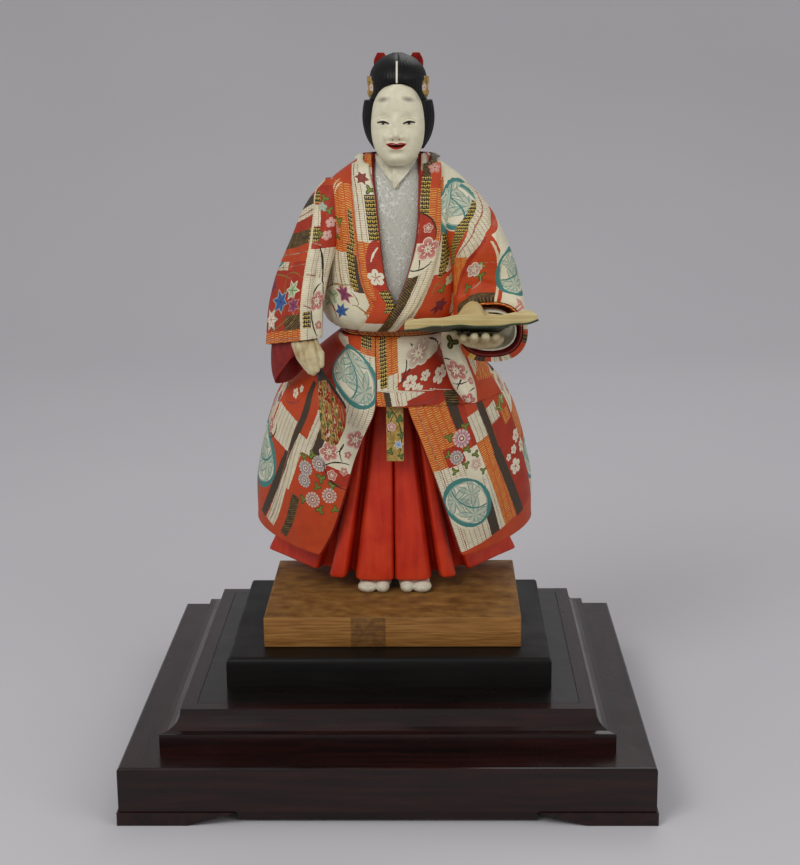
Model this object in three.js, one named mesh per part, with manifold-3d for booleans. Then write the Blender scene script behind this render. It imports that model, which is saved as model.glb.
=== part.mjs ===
// A standing noh figure in polychrome carved wood on a tiered display stand.
// Millimetres. +Z is up, the figure faces -Y, and +X is the figure's left hand side.
// The origin is the centre of the stand's footprint on the ground.
import * as THREE from 'three';
import { mergeVertices } from 'three/addons/utils/BufferGeometryUtils.js';
import Module from 'manifold-3d';

const wasm = await Module();
wasm.setup();

// Clearances
const GAP = 0.3;
const MITRE_GAP = 0.1;

// Stand: bracket feet, rails, apron boards, deck, moulding and top panel
const RIM_WIDTH = 290;
const RIM_DEPTH = 271;
const FOOT_HEIGHT = 7.5;
const FOOT_LENGTH = 64;
const FOOT_FLAT = 38;
const FOOT_THICKNESS = 11;
const RAIL_SETBACK = 5;
const RAIL_THICKNESS = 8;
const RAIL_GROUND_GAP = 1.4;
const BODY_WIDTH = 288;
const BODY_DEPTH = 269;
const BODY_HEIGHT = 25;
const BODY_EDGE_RADIUS = 1.6;
const APRON_THICKNESS = 26;
const DECK_THICKNESS = 9;
const MOULDING_WIDTH = 248.2;
const MOULDING_DEPTH = 226.3;
const FILLET_HEIGHT = 10.25;
const MOULDING_HEIGHT = 20.8;
const COVE_RUN = 9.5;
const COVE_STEP = 1;
const MOULDING_LAND = 8;

// Loose plinth and the figure's own base block
const PLINTH_WIDTH = 183.2;
const PLINTH_DEPTH = 142.7;
const PLINTH_HEIGHT = 17.3;
const PLINTH_EDGE_RADIUS = 3;
const BASE_WIDTH = 147.1;
const BASE_DEPTH = 107.7;
const BASE_HEIGHT = 18.2;
const BASE_CENTRE_X = 1.8;
const BASE_EDGE_RADIUS = 1.2;

// Levels up the figure
const BODY_TOP = FOOT_HEIGHT + BODY_HEIGHT;
const STAND_TOP = BODY_TOP + MOULDING_HEIGHT;
const PLINTH_TOP = STAND_TOP + PLINTH_HEIGHT;
const SOLE = PLINTH_TOP + BASE_HEIGHT;
const HEM_FRONT = SOLE + 7.6;
const HEM_CORNER = SOLE + 10.5;
const FOOT_SOCKET = SOLE + 19;
const ROBE_HEM = 111.5;
const ROBE_HEM_RISE = 21;
const FLAP = 204.5;
const WAIST = 243;
const BELT_HEIGHT = 3.6;
const BELT_THICKNESS = 2.4;
const BLOUSE = WAIST + BELT_HEIGHT + 2 * GAP;
const NECK_TOP = 346;
const CHIN = NECK_TOP - 6;

// Feet and the dowels that hold the figure on its block
const FEET_X = 2.3;
const FOOT_SPREAD = 10.3;
const FOOT_TOE_Y = -11.8;
const FOOT_SIZE = 46;
const FOOT_SPLAY = 0.06;
const ANKLE_HEIGHT = 18.7;
const TOE_REVEAL = 5.2;
const ANKLE_ROOM = 9.3;
const DOWEL_RADIUS = 2.5;
const DOWEL_SIDES = 12;
const DOWEL_Y = 18;
const DOWEL_DEPTH = 11;

// Garment thicknesses
const ROBE_WALL = 2.6;
const LINING_WALL = 1.1;
const COLLAR_THICKNESS = 1.5;
const COLLAR_WIDTH = 11;
const NAPE_SIDE = 341;
const NAPE_BACK = 337;
const NAPE_MARGIN = 0.01;
const NAPE_LIFT = 1.45;
const SHOULDER = 328;
const UNDERCOLLAR_WIDTH = 5.5;
const UNDERCOLLAR_THICKNESS = 0.8;
const SASH_WIDTH = 10.6;
const SASH_LENGTH = 33;
const SASH_THICKNESS = 1.4;
const SASH_TUCK = 9;
const SASH_X = 3.6;
const SASH_Y = -19;
const LINING_START = 0.25;
const LINING_END = 0.08;
const ROBE_COLOR = '#c2410f';
const OPENING_REACH = 80;

// Head
const HEAD_X = 6.6;
const NECK_Y = 9;
const NECK_RADIUS = 8;
const NECK_SOCKET_DEPTH = 9;
const PEG_RADIUS = 4;
const PEG_LOW = 319;
const PEG_IN_HEAD = 9;
const NECK_LOW = NECK_TOP - NECK_SOCKET_DEPTH + GAP;
const MASK_BACK_Y = -5.5;
const BAND_LOW = NECK_TOP + 30;
const HAIR_LOW = NECK_TOP + 2.5;
const HAIR_Y = 12;
const BAND_WIDTH = 12.5;
const BAND_THICKNESS = 0.9;
const TEMPLE_Y = 1;
const STRAP_CROWN = 0.7;
const MASK_EDGE = 1;
const MASK_SQUARENESS = 2.6;
const NOSE_WIDTH = 0.2;
const NECK_IN_SKULL = 6;
const CLEAR_OF_HEAD = 60;
const BAND_REACH = [17.4, 15.9, 17.8];
const TAIL_THICKNESS = 5.2;
const KNOT_Y = 32.2;
const KNOT_RISE = 2;
const KNOT_SIZE = [8, 5, 9];
const END_SPREAD = 3.4;
const END_THICKNESS = 1.4;
const LOOP_SPREAD = 9.8;
const LOOP_THICKNESS = 2.4;
const BRIDGE_DEPTH = [0.6, 3.2];
const BRIDGE_HEIGHT = 3.1;

// Book and fan
const BOOK_LENGTH = 72;
const BOOK_DEPTH = 37;
const BOOK_TILT = 17;
const BOOK_CENTRE = [46.3, -46, 254.6];
const COVER_THICKNESS = 1.2;
const COVER_MARGIN = 0.6;
const FAN_PIVOT = [-38.6, -30.5, 229];
const FAN_END = [-29.5, -43, 190.5];
const FAN_PLEATS = 5;
const FAN_THICKNESS = 1.6;
const LEAF_START = 14;
const LEAF_THICKNESS = 0.7;
const SLAT_THICKNESS = 1;
const SLAT_WIDTH = 2.2;
const SLAT_TAIL = 1.5;
const SLAT_TAIL_HALF = 1.2;
const SLAT_NECK = 4;
const SLAT_NECK_HALF = 1.5;
const SLAT_ANGLES = [-10, 0, 10];
const SLAT_LENGTH = 20;
const GUARD_ANGLE = 19.5;
const GUARD_LENGTH = 30;
const PIVOT_ROOM = 3;
const RIVET_REACH = 0.6;
const TANG_LENGTH = 9;
const TANG_RADIUS = 1.6;
const RIVET_RADIUS = 0.8;

// Smooth table lookup: rows of [key, value], keys rising
function curve(rows) {
  return (key) => {
    const last = rows.length - 1;
    if (key <= rows[0][0]) return rows[0][1];
    if (key >= rows[last][0]) return rows[last][1];
    let i = 0;
    while (key > rows[i + 1][0]) i += 1;
    const slope = (a, b) => (rows[b][1] - rows[a][1]) / (rows[b][0] - rows[a][0]);
    const step = rows[i + 1][0] - rows[i][0];
    const m0 = slope(Math.max(i - 1, 0), i + 1) * step;
    const m1 = slope(i, Math.min(i + 2, last)) * step;
    const t = (key - rows[i][0]) / step;
    const s = 1 - t;
    return rows[i][1] * (1 + 2 * t) * s * s + rows[i + 1][1] * (3 - 2 * t) * t * t
      + m0 * t * s * s - m1 * t * t * s;
  };
}

const lerp = THREE.MathUtils.lerp;
const smoothstep = THREE.MathUtils.smoothstep;
const radians = THREE.MathUtils.degToRad;

// Triangles that fill a flat outline, which may be hollow, in the order of its points. The two
// axes are those in which the outline is seen.
function fill(outline, [first, second]) {
  const flat = outline.map((point) => new THREE.Vector2(point[first], point[second]));
  const turn = Math.sign(THREE.ShapeUtils.area(flat));
  return THREE.ShapeUtils.triangulateShape(flat, []).map(([a, b, c]) => {
    const same = Math.sign(THREE.ShapeUtils.area([flat[a], flat[b], flat[c]])) === turn;
    return same ? [a, b, c] : [a, c, b];
  });
}

// Closed solid from a stack of rings with equal point counts, capped at both ends. Ends that are
// hollow outlines name the two axes in which they are seen.
function stack(rings, axes = null) {
  const points = rings.flat();
  const count = rings[0].length;
  const triangles = [];
  for (let r = 0; r + 1 < rings.length; r += 1) {
    for (let i = 0; i < count; i += 1) {
      const a = r * count + i;
      const b = r * count + ((i + 1) % count);
      triangles.push(a, b, a + count, b, b + count, a + count);
    }
  }
  const ends = [[0, true], [(rings.length - 1) * count, false]];
  for (const [start, flip] of axes ? ends : []) {
    for (const [a, b, c] of fill(points.slice(start, start + count), axes)) {
      triangles.push(start + a, start + (flip ? c : b), start + (flip ? b : c));
    }
  }
  for (const [start, flip] of axes ? [] : ends) {
    const centre = new THREE.Vector3();
    for (let i = 0; i < count; i += 1) centre.addScaledVector(points[start + i], 1 / count);
    const hub = points.length;
    points.push(centre);
    for (let i = 0; i < count; i += 1) {
      const a = start + i;
      const b = start + ((i + 1) % count);
      triangles.push(...(flip ? [b, a, hub] : [a, b, hub]));
    }
  }
  return outward(points, triangles);
}

const even = (steps) => Array.from({ length: steps + 1 }, (_, step) => step / steps);

// Closed shell between two grids of points, outer(u, v) and inner(u, v), at the listed u and v
function shell(outer, inner, us, vs) {
  const points = [];
  const triangles = [];
  const [nu, nv] = [us.length - 1, vs.length - 1];
  const index = (side, i, j) => side * (nu + 1) * (nv + 1) + i * (nv + 1) + j;
  for (const face of [outer, inner]) {
    for (const u of us) {
      for (const v of vs) points.push(face(u, v));
    }
  }
  const quad = (a, b, c, d) => triangles.push(a, b, c, a, c, d);
  for (let i = 0; i < nu; i += 1) {
    for (let j = 0; j < nv; j += 1) {
      quad(index(0, i, j), index(0, i + 1, j), index(0, i + 1, j + 1), index(0, i, j + 1));
      quad(index(1, i, j), index(1, i, j + 1), index(1, i + 1, j + 1), index(1, i + 1, j));
    }
  }
  for (let i = 0; i < nu; i += 1) {
    quad(index(0, i, 0), index(1, i, 0), index(1, i + 1, 0), index(0, i + 1, 0));
    quad(index(0, i, nv), index(0, i + 1, nv), index(1, i + 1, nv), index(1, i, nv));
  }
  for (let j = 0; j < nv; j += 1) {
    quad(index(0, 0, j), index(0, 0, j + 1), index(1, 0, j + 1), index(1, 0, j));
    quad(index(0, nu, j), index(1, nu, j), index(1, nu, j + 1), index(0, nu, j + 1));
  }
  return outward(points, triangles);
}

// Geometry from points and triangles, turned so that its faces point out
function outward(points, triangles) {
  let volume = 0;
  for (let t = 0; t < triangles.length; t += 3) {
    const [a, b, c] = [points[triangles[t]], points[triangles[t + 1]], points[triangles[t + 2]]];
    volume += a.dot(new THREE.Vector3().crossVectors(b, c));
  }
  if (volume < 0) triangles.reverse();
  const geometry = new THREE.BufferGeometry().setFromPoints(points);
  geometry.setIndex(triangles);
  return geometry;
}

function toSolid(geometry) {
  const bare = geometry.clone();
  bare.deleteAttribute('normal');
  bare.deleteAttribute('uv');
  const merged = mergeVertices(bare, 1e-5);
  return new wasm.Manifold(new wasm.Mesh({
    numProp: 3,
    vertProperties: new Float32Array(merged.attributes.position.array),
    triVerts: new Uint32Array(merged.index.array),
  }));
}

function toGeometry(solid) {
  const mesh = solid.getMesh();
  const geometry = new THREE.BufferGeometry();
  geometry.setAttribute('position', new THREE.BufferAttribute(mesh.vertProperties, 3));
  geometry.setIndex(new THREE.BufferAttribute(mesh.triVerts, 1));
  return geometry;
}

// The largest body of a solid, without loose slivers
function mainBody(solid) {
  const bodies = solid.decompose().sort((a, b) => b.volume() - a.volume());
  return toGeometry(bodies[0]);
}

function cut(geometry, ...cutters) {
  return mainBody(cutters.reduce((rest, cutter) => rest.subtract(toSolid(cutter)), toSolid(geometry)));
}

function join(...geometries) {
  return mainBody(geometries.map(toSolid).reduce((sum, solid) => sum.add(solid)));
}

function block(low, high) {
  const size = high.map((value, i) => value - low[i]);
  const geometry = new THREE.BoxGeometry(...size);
  return geometry.translate(...high.map((value, i) => (value + low[i]) / 2));
}

// Upright round bar between two levels
function bar(x, y, low, high, radius, sides = 20) {
  const geometry = new THREE.CylinderGeometry(radius, radius, high - low, sides);
  return geometry.rotateX(Math.PI / 2).translate(x, y, (low + high) / 2);
}

// Prism over an outline of [x, z] points, from one y to another
function prism(outline, from, to) {
  const ring = (y) => outline.map(([x, z]) => new THREE.Vector3(x, y, z));
  return stack([ring(from), ring(to)]);
}

const ground = new THREE.Group();

// Adds one named piece of the object
function piece(name, geometry, color, roughness, metalness = 0) {
  const material = new THREE.MeshStandardMaterial({ color, roughness, metalness });
  const mesh = new THREE.Mesh(geometry, material);
  mesh.name = name;
  ground.add(mesh);
}

const SIDES = {
  front: { along: [1, 0], out: [0, -1] },
  right: { along: [0, -1], out: [-1, 0] },
  back: { along: [-1, 0], out: [0, 1] },
  left: { along: [0, 1], out: [1, 0] },
};

// One side of a mitred frame. The profile is a list of [distance in from the edge, height].
function mitred(profile, width, depth, side) {
  const { along, out } = SIDES[side];
  const reach = out[0] === 0 ? depth / 2 : width / 2;
  const half = out[0] === 0 ? width / 2 : depth / 2;
  const end = (sign) => profile.map(([inset, z]) => {
    const run = sign * (half - inset - MITRE_GAP / 2);
    return new THREE.Vector3(
      along[0] * run + out[0] * (reach - inset),
      along[1] * run + out[1] * (reach - inset),
      z,
    );
  });
  return stack([end(-1), end(1)], [out[0] === 0 ? 'y' : 'x', 'z']);
}

// Board with a rounded upper edge all round
function roundedBoard(width, depth, low, high, radius, centreX = 0) {
  const shape = new THREE.Shape();
  const [x, y] = [width / 2, depth / 2];
  shape.moveTo(-x, -y).lineTo(x, -y).lineTo(x, y).lineTo(-x, y);
  const outline = shape.getPoints();
  const rings = [outline.map((p) => new THREE.Vector3(p.x + centreX, p.y, low))];
  for (let step = 0; step <= 4; step += 1) {
    const angle = (step / 4) * (Math.PI / 2);
    const inset = radius * (1 - Math.cos(angle));
    const z = high - radius + radius * Math.sin(angle);
    rings.push(outline.map((p) => new THREE.Vector3(
      p.x - Math.sign(p.x) * inset + centreX,
      p.y - Math.sign(p.y) * inset,
      z,
    )));
  }
  return stack(rings);
}

function makeStand() {
  const rosewood = '#3a1613';
  const rail = [
    [RAIL_SETBACK, RAIL_GROUND_GAP],
    [RAIL_SETBACK + RAIL_THICKNESS, RAIL_GROUND_GAP],
    [RAIL_SETBACK + RAIL_THICKNESS, FOOT_HEIGHT],
    [RAIL_SETBACK, FOOT_HEIGHT],
  ];
  const land = COVE_RUN + MOULDING_LAND + 1;
  for (const side of Object.keys(SIDES)) {
    const strip = cut(mitred(rail, RIM_WIDTH, RIM_DEPTH, side), ...footRooms());
    piece(`stand_rail_${side}`, strip, '#1c1211', 0.55);
    const apron = [
      [0, FOOT_HEIGHT],
      [APRON_THICKNESS, FOOT_HEIGHT],
      [APRON_THICKNESS, BODY_TOP],
      ...quarter(3, BODY_EDGE_RADIUS, BODY_EDGE_RADIUS).map(([inset, drop]) => [inset, BODY_TOP - drop]),
    ];
    piece(`stand_apron_${side}`, mitred(apron, BODY_WIDTH, BODY_DEPTH, side), rosewood, 0.22);
    const coveHeight = MOULDING_HEIGHT - FILLET_HEIGHT - COVE_STEP;
    const cove = quarter(5, COVE_RUN, coveHeight).map(([inset, drop]) => [
      COVE_RUN + COVE_STEP - inset,
      BODY_TOP + FILLET_HEIGHT + drop,
    ]);
    const moulding = [
      [0, BODY_TOP],
      [land, BODY_TOP],
      [land, STAND_TOP],
      [COVE_RUN + COVE_STEP, STAND_TOP],
      ...cove.reverse(),
      [0, BODY_TOP + FILLET_HEIGHT],
    ];
    piece(
      `stand_moulding_${side}`,
      mitred(moulding, MOULDING_WIDTH, MOULDING_DEPTH, side),
      '#43190f',
      0.2,
    );
  }
  for (const [name, sx, sy] of corners()) {
    piece(`stand_foot_${name}`, bracketFoot(sx, sy), '#33130f', 0.28);
  }
  const deckX = BODY_WIDTH / 2 - APRON_THICKNESS - GAP;
  const deckY = BODY_DEPTH / 2 - APRON_THICKNESS - GAP;
  const deck = block([-deckX, -deckY, BODY_TOP - DECK_THICKNESS], [deckX, deckY, BODY_TOP]);
  piece('stand_deck', deck, rosewood, 0.4);
  const panelX = MOULDING_WIDTH / 2 - land - GAP;
  const panelY = MOULDING_DEPTH / 2 - land - GAP;
  const panel = block([-panelX, -panelY, BODY_TOP], [panelX, panelY, STAND_TOP]);
  piece('stand_top_panel', panel, '#0d0c0d', 0.3);
}

// Quarter round from [run, 0] to [0, rise]
function quarter(steps, run, rise) {
  return Array.from({ length: steps + 1 }, (_, step) => {
    const angle = (step / steps) * (Math.PI / 2);
    return [run * (1 - Math.sin(angle)), rise * (1 - Math.cos(angle))];
  });
}

function corners() {
  return [
    ['front_right', -1, -1],
    ['front_left', 1, -1],
    ['back_left', 1, 1],
    ['back_right', -1, 1],
  ];
}

// L-shaped bracket foot with a sloped toe on each leg
function bracketFoot(sx, sy) {
  const leg = [[0, 0], [FOOT_FLAT, 0], [FOOT_LENGTH, FOOT_HEIGHT], [0, FOOT_HEIGHT]];
  const make = (place) => stack([
    leg.map(([run, z]) => place(run, 0, z)),
    leg.map(([run, z]) => place(run, FOOT_THICKNESS, z)),
  ]);
  const x = (value) => sx * (RIM_WIDTH / 2 - value);
  const y = (value) => sy * (RIM_DEPTH / 2 - value);
  return join(
    make((run, deep, z) => new THREE.Vector3(x(run), y(deep), z)),
    make((run, deep, z) => new THREE.Vector3(x(deep), y(run), z)),
  );
}

function footRooms() {
  return corners().map(([, sx, sy]) => {
    const x = [sx * RIM_WIDTH, sx * (RIM_WIDTH / 2 - FOOT_LENGTH - GAP)].sort((a, b) => a - b);
    const y = [sy * RIM_DEPTH, sy * (RIM_DEPTH / 2 - FOOT_LENGTH - GAP)].sort((a, b) => a - b);
    return block([x[0], y[0], 0], [x[1], y[1], BODY_TOP]);
  });
}

// Body sections. Each level of the figure is a rounded outline about its own middle, with its
// own half width, reach to the front and reach to the back.
const DRAPE = {
  middleX: curve([[100, 1.6], [243, 1.6]]),
  middleY: curve([[100, 33], [150, 30], [180, 25], [205, 20], [225, 16.5], [243, 14]]),
  side: curve([
    [96, 78], [111, 81.5], [130, 85], [150, 85.6], [167, 82.5], [185, 78],
    [205, 70.5], [217, 62], [228, 50], [237, 39], [243, 31],
  ]),
  front: curve([[100, 51], [150, 52], [180, 48], [205, 43], [225, 37], [237, 29], [243, 23.5]]),
  back: curve([[100, 27], [150, 25], [205, 27], [225, 27], [243, 24]]),
  frontPower: curve([[100, 1.65], [150, 1.75], [205, 2], [243, 2.2]]),
  backPower: curve([[100, 2.6], [243, 2.4]]),
};

const TORSO = {
  middleX: curve([[243, 1.8], [262, 3], [346, 5.8]]),
  middleY: curve([[243, 13], [300, 12], [346, 12]]),
  side: curve([
    [243, 30], [247, 33], [251, 38], [258, 41.5], [270, 42.5], [290, 43], [315, 43],
    [328, 41], [333, 36.5], [338, 30], [343, 22.5], [346, 17.5],
  ]),
  front: curve([
    [243, 24], [247, 28], [250, 32.5], [255, 36.5], [262, 37.5], [280, 35.5],
    [300, 32], [315, 28.5], [330, 23], [338, 19], [343, 15], [346, 12],
  ]),
  back: curve([
    [243, 25], [247, 27], [255, 30], [280, 31.5], [310, 31], [325, 28], [335, 23.5],
    [343, 18], [346, 14.5],
  ]),
  frontPower: curve([[243, 2.2], [346, 2.2]]),
  backPower: curve([[243, 2.4], [346, 2.3]]),
};

// Soft vertical folds of the skirt, deepest half way down, and the hollow under each arm
const FOLDS = { count: 6.5, depth: 2.1, from: 0.4, full: 0.9, levels: [105, 150, 215, 240] };
const HOLLOW = { depth: 9, angle: radians(66), width: 0.3, levels: [200, 226, 234, WAIST] };

// Fades in over the first two levels and out over the last two
function fadeBetween(z, [low, lowEnd, high, highEnd]) {
  return smoothstep(z, low, lowEnd) * (1 - smoothstep(z, high, highEnd));
}

function drapeFold(angle, z) {
  const side = Math.abs(angle);
  const ripple = Math.cos(side * FOLDS.count) * FOLDS.depth;
  const spread = (side - HOLLOW.angle) / HOLLOW.width;
  const hollow = HOLLOW.depth * Math.exp(-spread * spread);
  return ripple * fadeBetween(z, FOLDS.levels) * smoothstep(side, FOLDS.from, FOLDS.full)
    - hollow * fadeBetween(z, HOLLOW.levels);
}

// Point on a body section. The angle is 0 at the front and positive towards +X.
function sectionPoint(body, angle, z, offset, fold = 0) {
  const across = Math.sin(angle);
  const along = -Math.cos(angle);
  const isFront = along < 0;
  const reach = isFront ? body.front(z) : body.back(z);
  const power = isFront ? body.frontPower(z) : body.backPower(z);
  const sum = Math.abs(across / body.side(z)) ** power + Math.abs(along / reach) ** power;
  const radius = sum ** (-1 / power) + offset + fold;
  return new THREE.Vector3(body.middleX(z) + across * radius, body.middleY(z) + along * radius, z);
}

const drapePoint = (angle, z, offset) => sectionPoint(DRAPE, angle, z, offset, drapeFold(angle, z));
const torsoPoint = (angle, z, offset) => sectionPoint(TORSO, angle, z, offset);

// Angle at which a section's front has the given x
function angleAt(pointAt, x, z) {
  let [low, high] = [-Math.PI / 2, Math.PI / 2];
  for (let step = 0; step < 30; step += 1) {
    const middle = (low + high) / 2;
    if (pointAt(middle, z, 0).x < x) low = middle;
    else high = middle;
  }
  return (low + high) / 2;
}

function sectionRing(pointAt, z, offset, count = 40) {
  return Array.from({ length: count }, (_, i) => pointAt(-Math.PI + (i / count) * 2 * Math.PI, z, offset));
}

function bodyStack(pointAt, levels, offset, count) {
  return stack(levels.map((z) => sectionRing(pointAt, z, offset, count)));
}

// Opening at the front of the skirt, as x and z round its outline
const SKIRT_OPENING = [
  [-44.5, 105], [-42, 111], [-33.7, 128], [-24.6, 156], [-20, 172], [-14.6, 186], [-7.3, FLAP],
  [11.3, FLAP], [18, 186], [26.4, 162], [34, 138], [42.3, 111], [44.5, 105],
];
const SKIRT_SEAM_X = -7.3;
const HEM_TURN = 0.78;
const HEM_TURN_END = 2.1;

// Neckline edges, as x at each level
const EDGE_SHARE = 0.5;
const SEAM_SHARE = 0.9;
const TORSO_ROWS = [0, 0.04, 0.08, 0.18, 0.35, 0.5, 0.65, 0.76, 0.84, 0.9, 0.94, 0.97, 1];
const CROSSING = 264;
const OVERLAP_EDGE = curve([[BLOUSE - 1, -6.5], [250, -3.6], [CROSSING, 5]]);
const UNDER_V_LOW = 331;
const UNDER_V = {
  right: curve([[UNDER_V_LOW, 5], [338, 0], [347, -6.9]]),
  left: curve([[UNDER_V_LOW, 6.4], [338, 12], [347, 18.2]]),
};
const NECKLINE = {
  right: curve([[CROSSING, 4.6], [277, -0.6], [300, -3.8], [322, -6.3], [333, -7.8], [347, -8.8]]),
  left: curve([[CROSSING, 5], [280, 11.8], [300, 17], [322, 18.8], [349, 19.6]]),
};

function necklineX(side, z) {
  const edge = z < CROSSING ? OVERLAP_EDGE(z) : NECKLINE[side](z);
  return side === 'right' ? edge - GAP / 2 : edge + GAP / 2;
}

// Shell over half of a body section, from a front edge round to the seam at the centre of the back
function wrap(pointAt, side, edgeAt, low, high, wall, us, vs) {
  const sign = side === 'right' ? -1 : 1;
  const seam = sign * Math.PI;
  const point = (depth) => (u, v) => {
    const level = lerp(low(0), high, v);
    const start = angleAt(pointAt, edgeAt(level), level);
    const lowest = angleAt(pointAt, edgeAt(low(0)), low(0));
    const angle = lerp(lowest, seam, u) + (start - lowest) * (1 - smoothstep(u, 0, EDGE_SHARE));
    const at = pointAt(angle, lerp(low(Math.abs(angle)), high, v), depth);
    at.x += sign * (GAP / 2) * smoothstep(u, SEAM_SHARE, 1);
    return at;
  };
  return shell(point(0), point(-wall), us, vs);
}

function makeBlocks() {
  const plinth = roundedBoard(PLINTH_WIDTH, PLINTH_DEPTH, STAND_TOP, PLINTH_TOP, PLINTH_EDGE_RADIUS);
  piece('plinth', plinth, '#141313', 0.35);
  const base = roundedBoard(
    BASE_WIDTH, BASE_DEPTH, PLINTH_TOP, SOLE, BASE_EDGE_RADIUS, BASE_CENTRE_X,
  );
  const sockets = dowels(GAP / 2);
  piece('base_block', cut(base, ...sockets), '#7a5526', 0.75);
}

function dowels(grow) {
  return [-1, 1].map((side) => bar(
    FEET_X + side * FOOT_SPREAD, DOWEL_Y, SOLE - DOWEL_DEPTH - grow, FOOT_SOCKET + DOWEL_DEPTH + grow,
    DOWEL_RADIUS + grow, DOWEL_SIDES,
  ));
}

// Split-toed sock and ankle, from the toes back to the heel
function foot(side) {
  const rows = [
    [0, 4.5, 2.2], [1.5, 8.2, 5], [5, 9, 6.6], [12, 9.1, 8.6], [20, 8.2, 12],
    [24, 7.6, ANKLE_HEIGHT], [40, 6.8, ANKLE_HEIGHT], [44, 6, ANKLE_HEIGHT], [FOOT_SIZE, 4, 17],
  ];
  const rings = rows.map(([back, half, height]) => {
    const points = [];
    for (let i = 0; i < 14; i += 1) {
      const angle = (i / 14) * 2 * Math.PI;
      const up = Math.sin(angle);
      const wide = Math.sign(Math.cos(angle)) * Math.abs(Math.cos(angle)) ** 0.7;
      const rise = up > 0 ? height * up ** 0.8 : 0;
      const x = FEET_X + side * (FOOT_SPREAD + FOOT_SPLAY * (20 - back)) + wide * half;
      points.push(new THREE.Vector3(x, FOOT_TOE_Y + back, SOLE + rise));
    }
    return points;
  });
  return stack(rings);
}

function makeFeet() {
  const pins = dowels(0);
  const rooms = dowels(GAP / 2);
  ['right', 'left'].forEach((name, i) => {
    piece(`tabi_${name}`, cut(foot(i === 0 ? -1 : 1), rooms[i]), '#e6e2d6', 0.7);
    piece(`foot_dowel_${name}`, pins[i], '#b08a5a', 0.8);
  });
}

// Half outline of the trousers' hem, from the centre of the front to the centre of the back
const PLEATS = [
  [0.5, -4], [1.4, -9.6], [9, -10.8], [20.4, -9.2], [22.4, -4.4], [23.4, 8], [26, 11], [28, -1],
  [30, -5.5], [36.8, -3.6], [38.4, 1.5], [36, 14], [43, 19], [46, 8.5], [60, 24], [78, 44.5],
  [76.5, 52], [56, 57], [28, 59.5], [0.5, 60.5],
];
const PLEAT_TOP_Y = 14;
const PLEAT_SEAM = 0.5;
const PLEAT_BELLY = 7;
const WAIST_NARROWING = 0.27;
const WAIST_FLATTENING = 0.42;
const TAPER = 0.92;
const HEM_RISE_SPAN = [30, 76];
const HEM_REACH = { [-1]: 1.03, 1: 0.96 };

function trousersRing(side, t) {
  const z = lerp(HEM_FRONT, WAIST, t);
  const scale = lerp(1, WAIST_NARROWING, t ** TAPER);
  const depth = lerp(1, WAIST_FLATTENING, t);
  return PLEATS.map(([across, y]) => {
    const corner = smoothstep(across, ...HEM_RISE_SPAN);
    const rise = (HEM_CORNER - HEM_FRONT) * corner * (1 - t);
    const pulled = across <= PLEAT_SEAM ? across : across * scale * HEM_REACH[side];
    return new THREE.Vector3(
      FEET_X + side * pulled,
      PLEAT_TOP_Y + (y - PLEAT_TOP_Y) * depth - PLEAT_BELLY * Math.sin(t * Math.PI),
      z + rise,
    );
  });
}

function makeTrousers() {
  const rooms = dowels(GAP / 2);
  const ankles = [-1, 1].map((side) => {
    const x = FEET_X + side * FOOT_SPREAD;
    const low = [x - ANKLE_ROOM, FOOT_TOE_Y + TOE_REVEAL, SOLE];
    return block(low, [x + ANKLE_ROOM, FOOT_TOE_Y + FOOT_SIZE + GAP, FOOT_SOCKET]);
  });
  ['right', 'left'].forEach((name, i) => {
    const side = i === 0 ? -1 : 1;
    const levels = [0, 0.12, 0.3, 0.5, 0.7, 0.88, 1];
    const outer = stack(levels.map((t) => trousersRing(side, t)), ['x', 'y']);
    piece(`hakama_${name}`, cut(outer, ankles[i], rooms[i]), '#a3160f', 0.55);
  });
}

function makeSkirt() {
  const rise = (turn) => ROBE_HEM_RISE * smoothstep(turn, HEM_TURN, HEM_TURN_END);
  const low = (turn) => ROBE_HEM + rise(turn);
  const opening = prism(SKIRT_OPENING, -OPENING_REACH, 0);
  for (const side of ['right', 'left']) {
    const edge = () => SKIRT_SEAM_X + (side === 'right' ? -GAP / 2 : GAP / 2);
    const half = wrap(drapePoint, side, edge, low, WAIST, ROBE_WALL, even(20), even(9));
    piece(`robe_skirt_${side}`, cut(half, opening), ROBE_COLOR, 0.5);
  }
}

// Neckline band that lies on the robe: up the front, then round to the centre of the back
function collar(side, edge) {
  const sign = side === 'right' ? -1 : 1;
  const width = curve([
    [BLOUSE, COLLAR_WIDTH - 1], [275, COLLAR_WIDTH + 1], [315, COLLAR_WIDTH], [NECK_TOP, COLLAR_WIDTH - 3],
  ]);
  const inner = (z) => angleAt(torsoPoint, edge(z), z);
  const outer = (z) => angleAt(torsoPoint, edge(z) + sign * width(z), z);
  const lift = (z) => NAPE_LIFT * smoothstep(z, SHOULDER, NAPE_BACK);
  const front = (depth) => (u, v) => {
    const z = lerp(BLOUSE, NECK_TOP, v);
    return torsoPoint(lerp(inner(z), outer(z), u), z, depth + lift(z));
  };
  const nape = (depth) => (u, v) => {
    const z = lerp(lerp(NAPE_SIDE, NAPE_BACK, u), NECK_TOP, v);
    return torsoPoint(lerp(inner(z), sign * (Math.PI - NAPE_MARGIN), u), z, depth + lift(z));
  };
  const [low, high] = [GAP, GAP + COLLAR_THICKNESS];
  return join(
    shell(front(high), front(low), even(4), TORSO_ROWS),
    shell(nape(high), nape(low), even(16), even(3)),
  );
}

function makeRobe() {
  for (const side of ['right', 'left']) {
    const edge = (z) => necklineX(side, z);
    const panel = wrap(torsoPoint, side, edge, () => BLOUSE, NECK_TOP, ROBE_WALL, even(16), TORSO_ROWS);
    piece(`robe_body_${side}`, panel, ROBE_COLOR, 0.5);
    piece(`robe_collar_${side}`, collar(side, edge), '#cfc49a', 0.5);
  }
}

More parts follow.
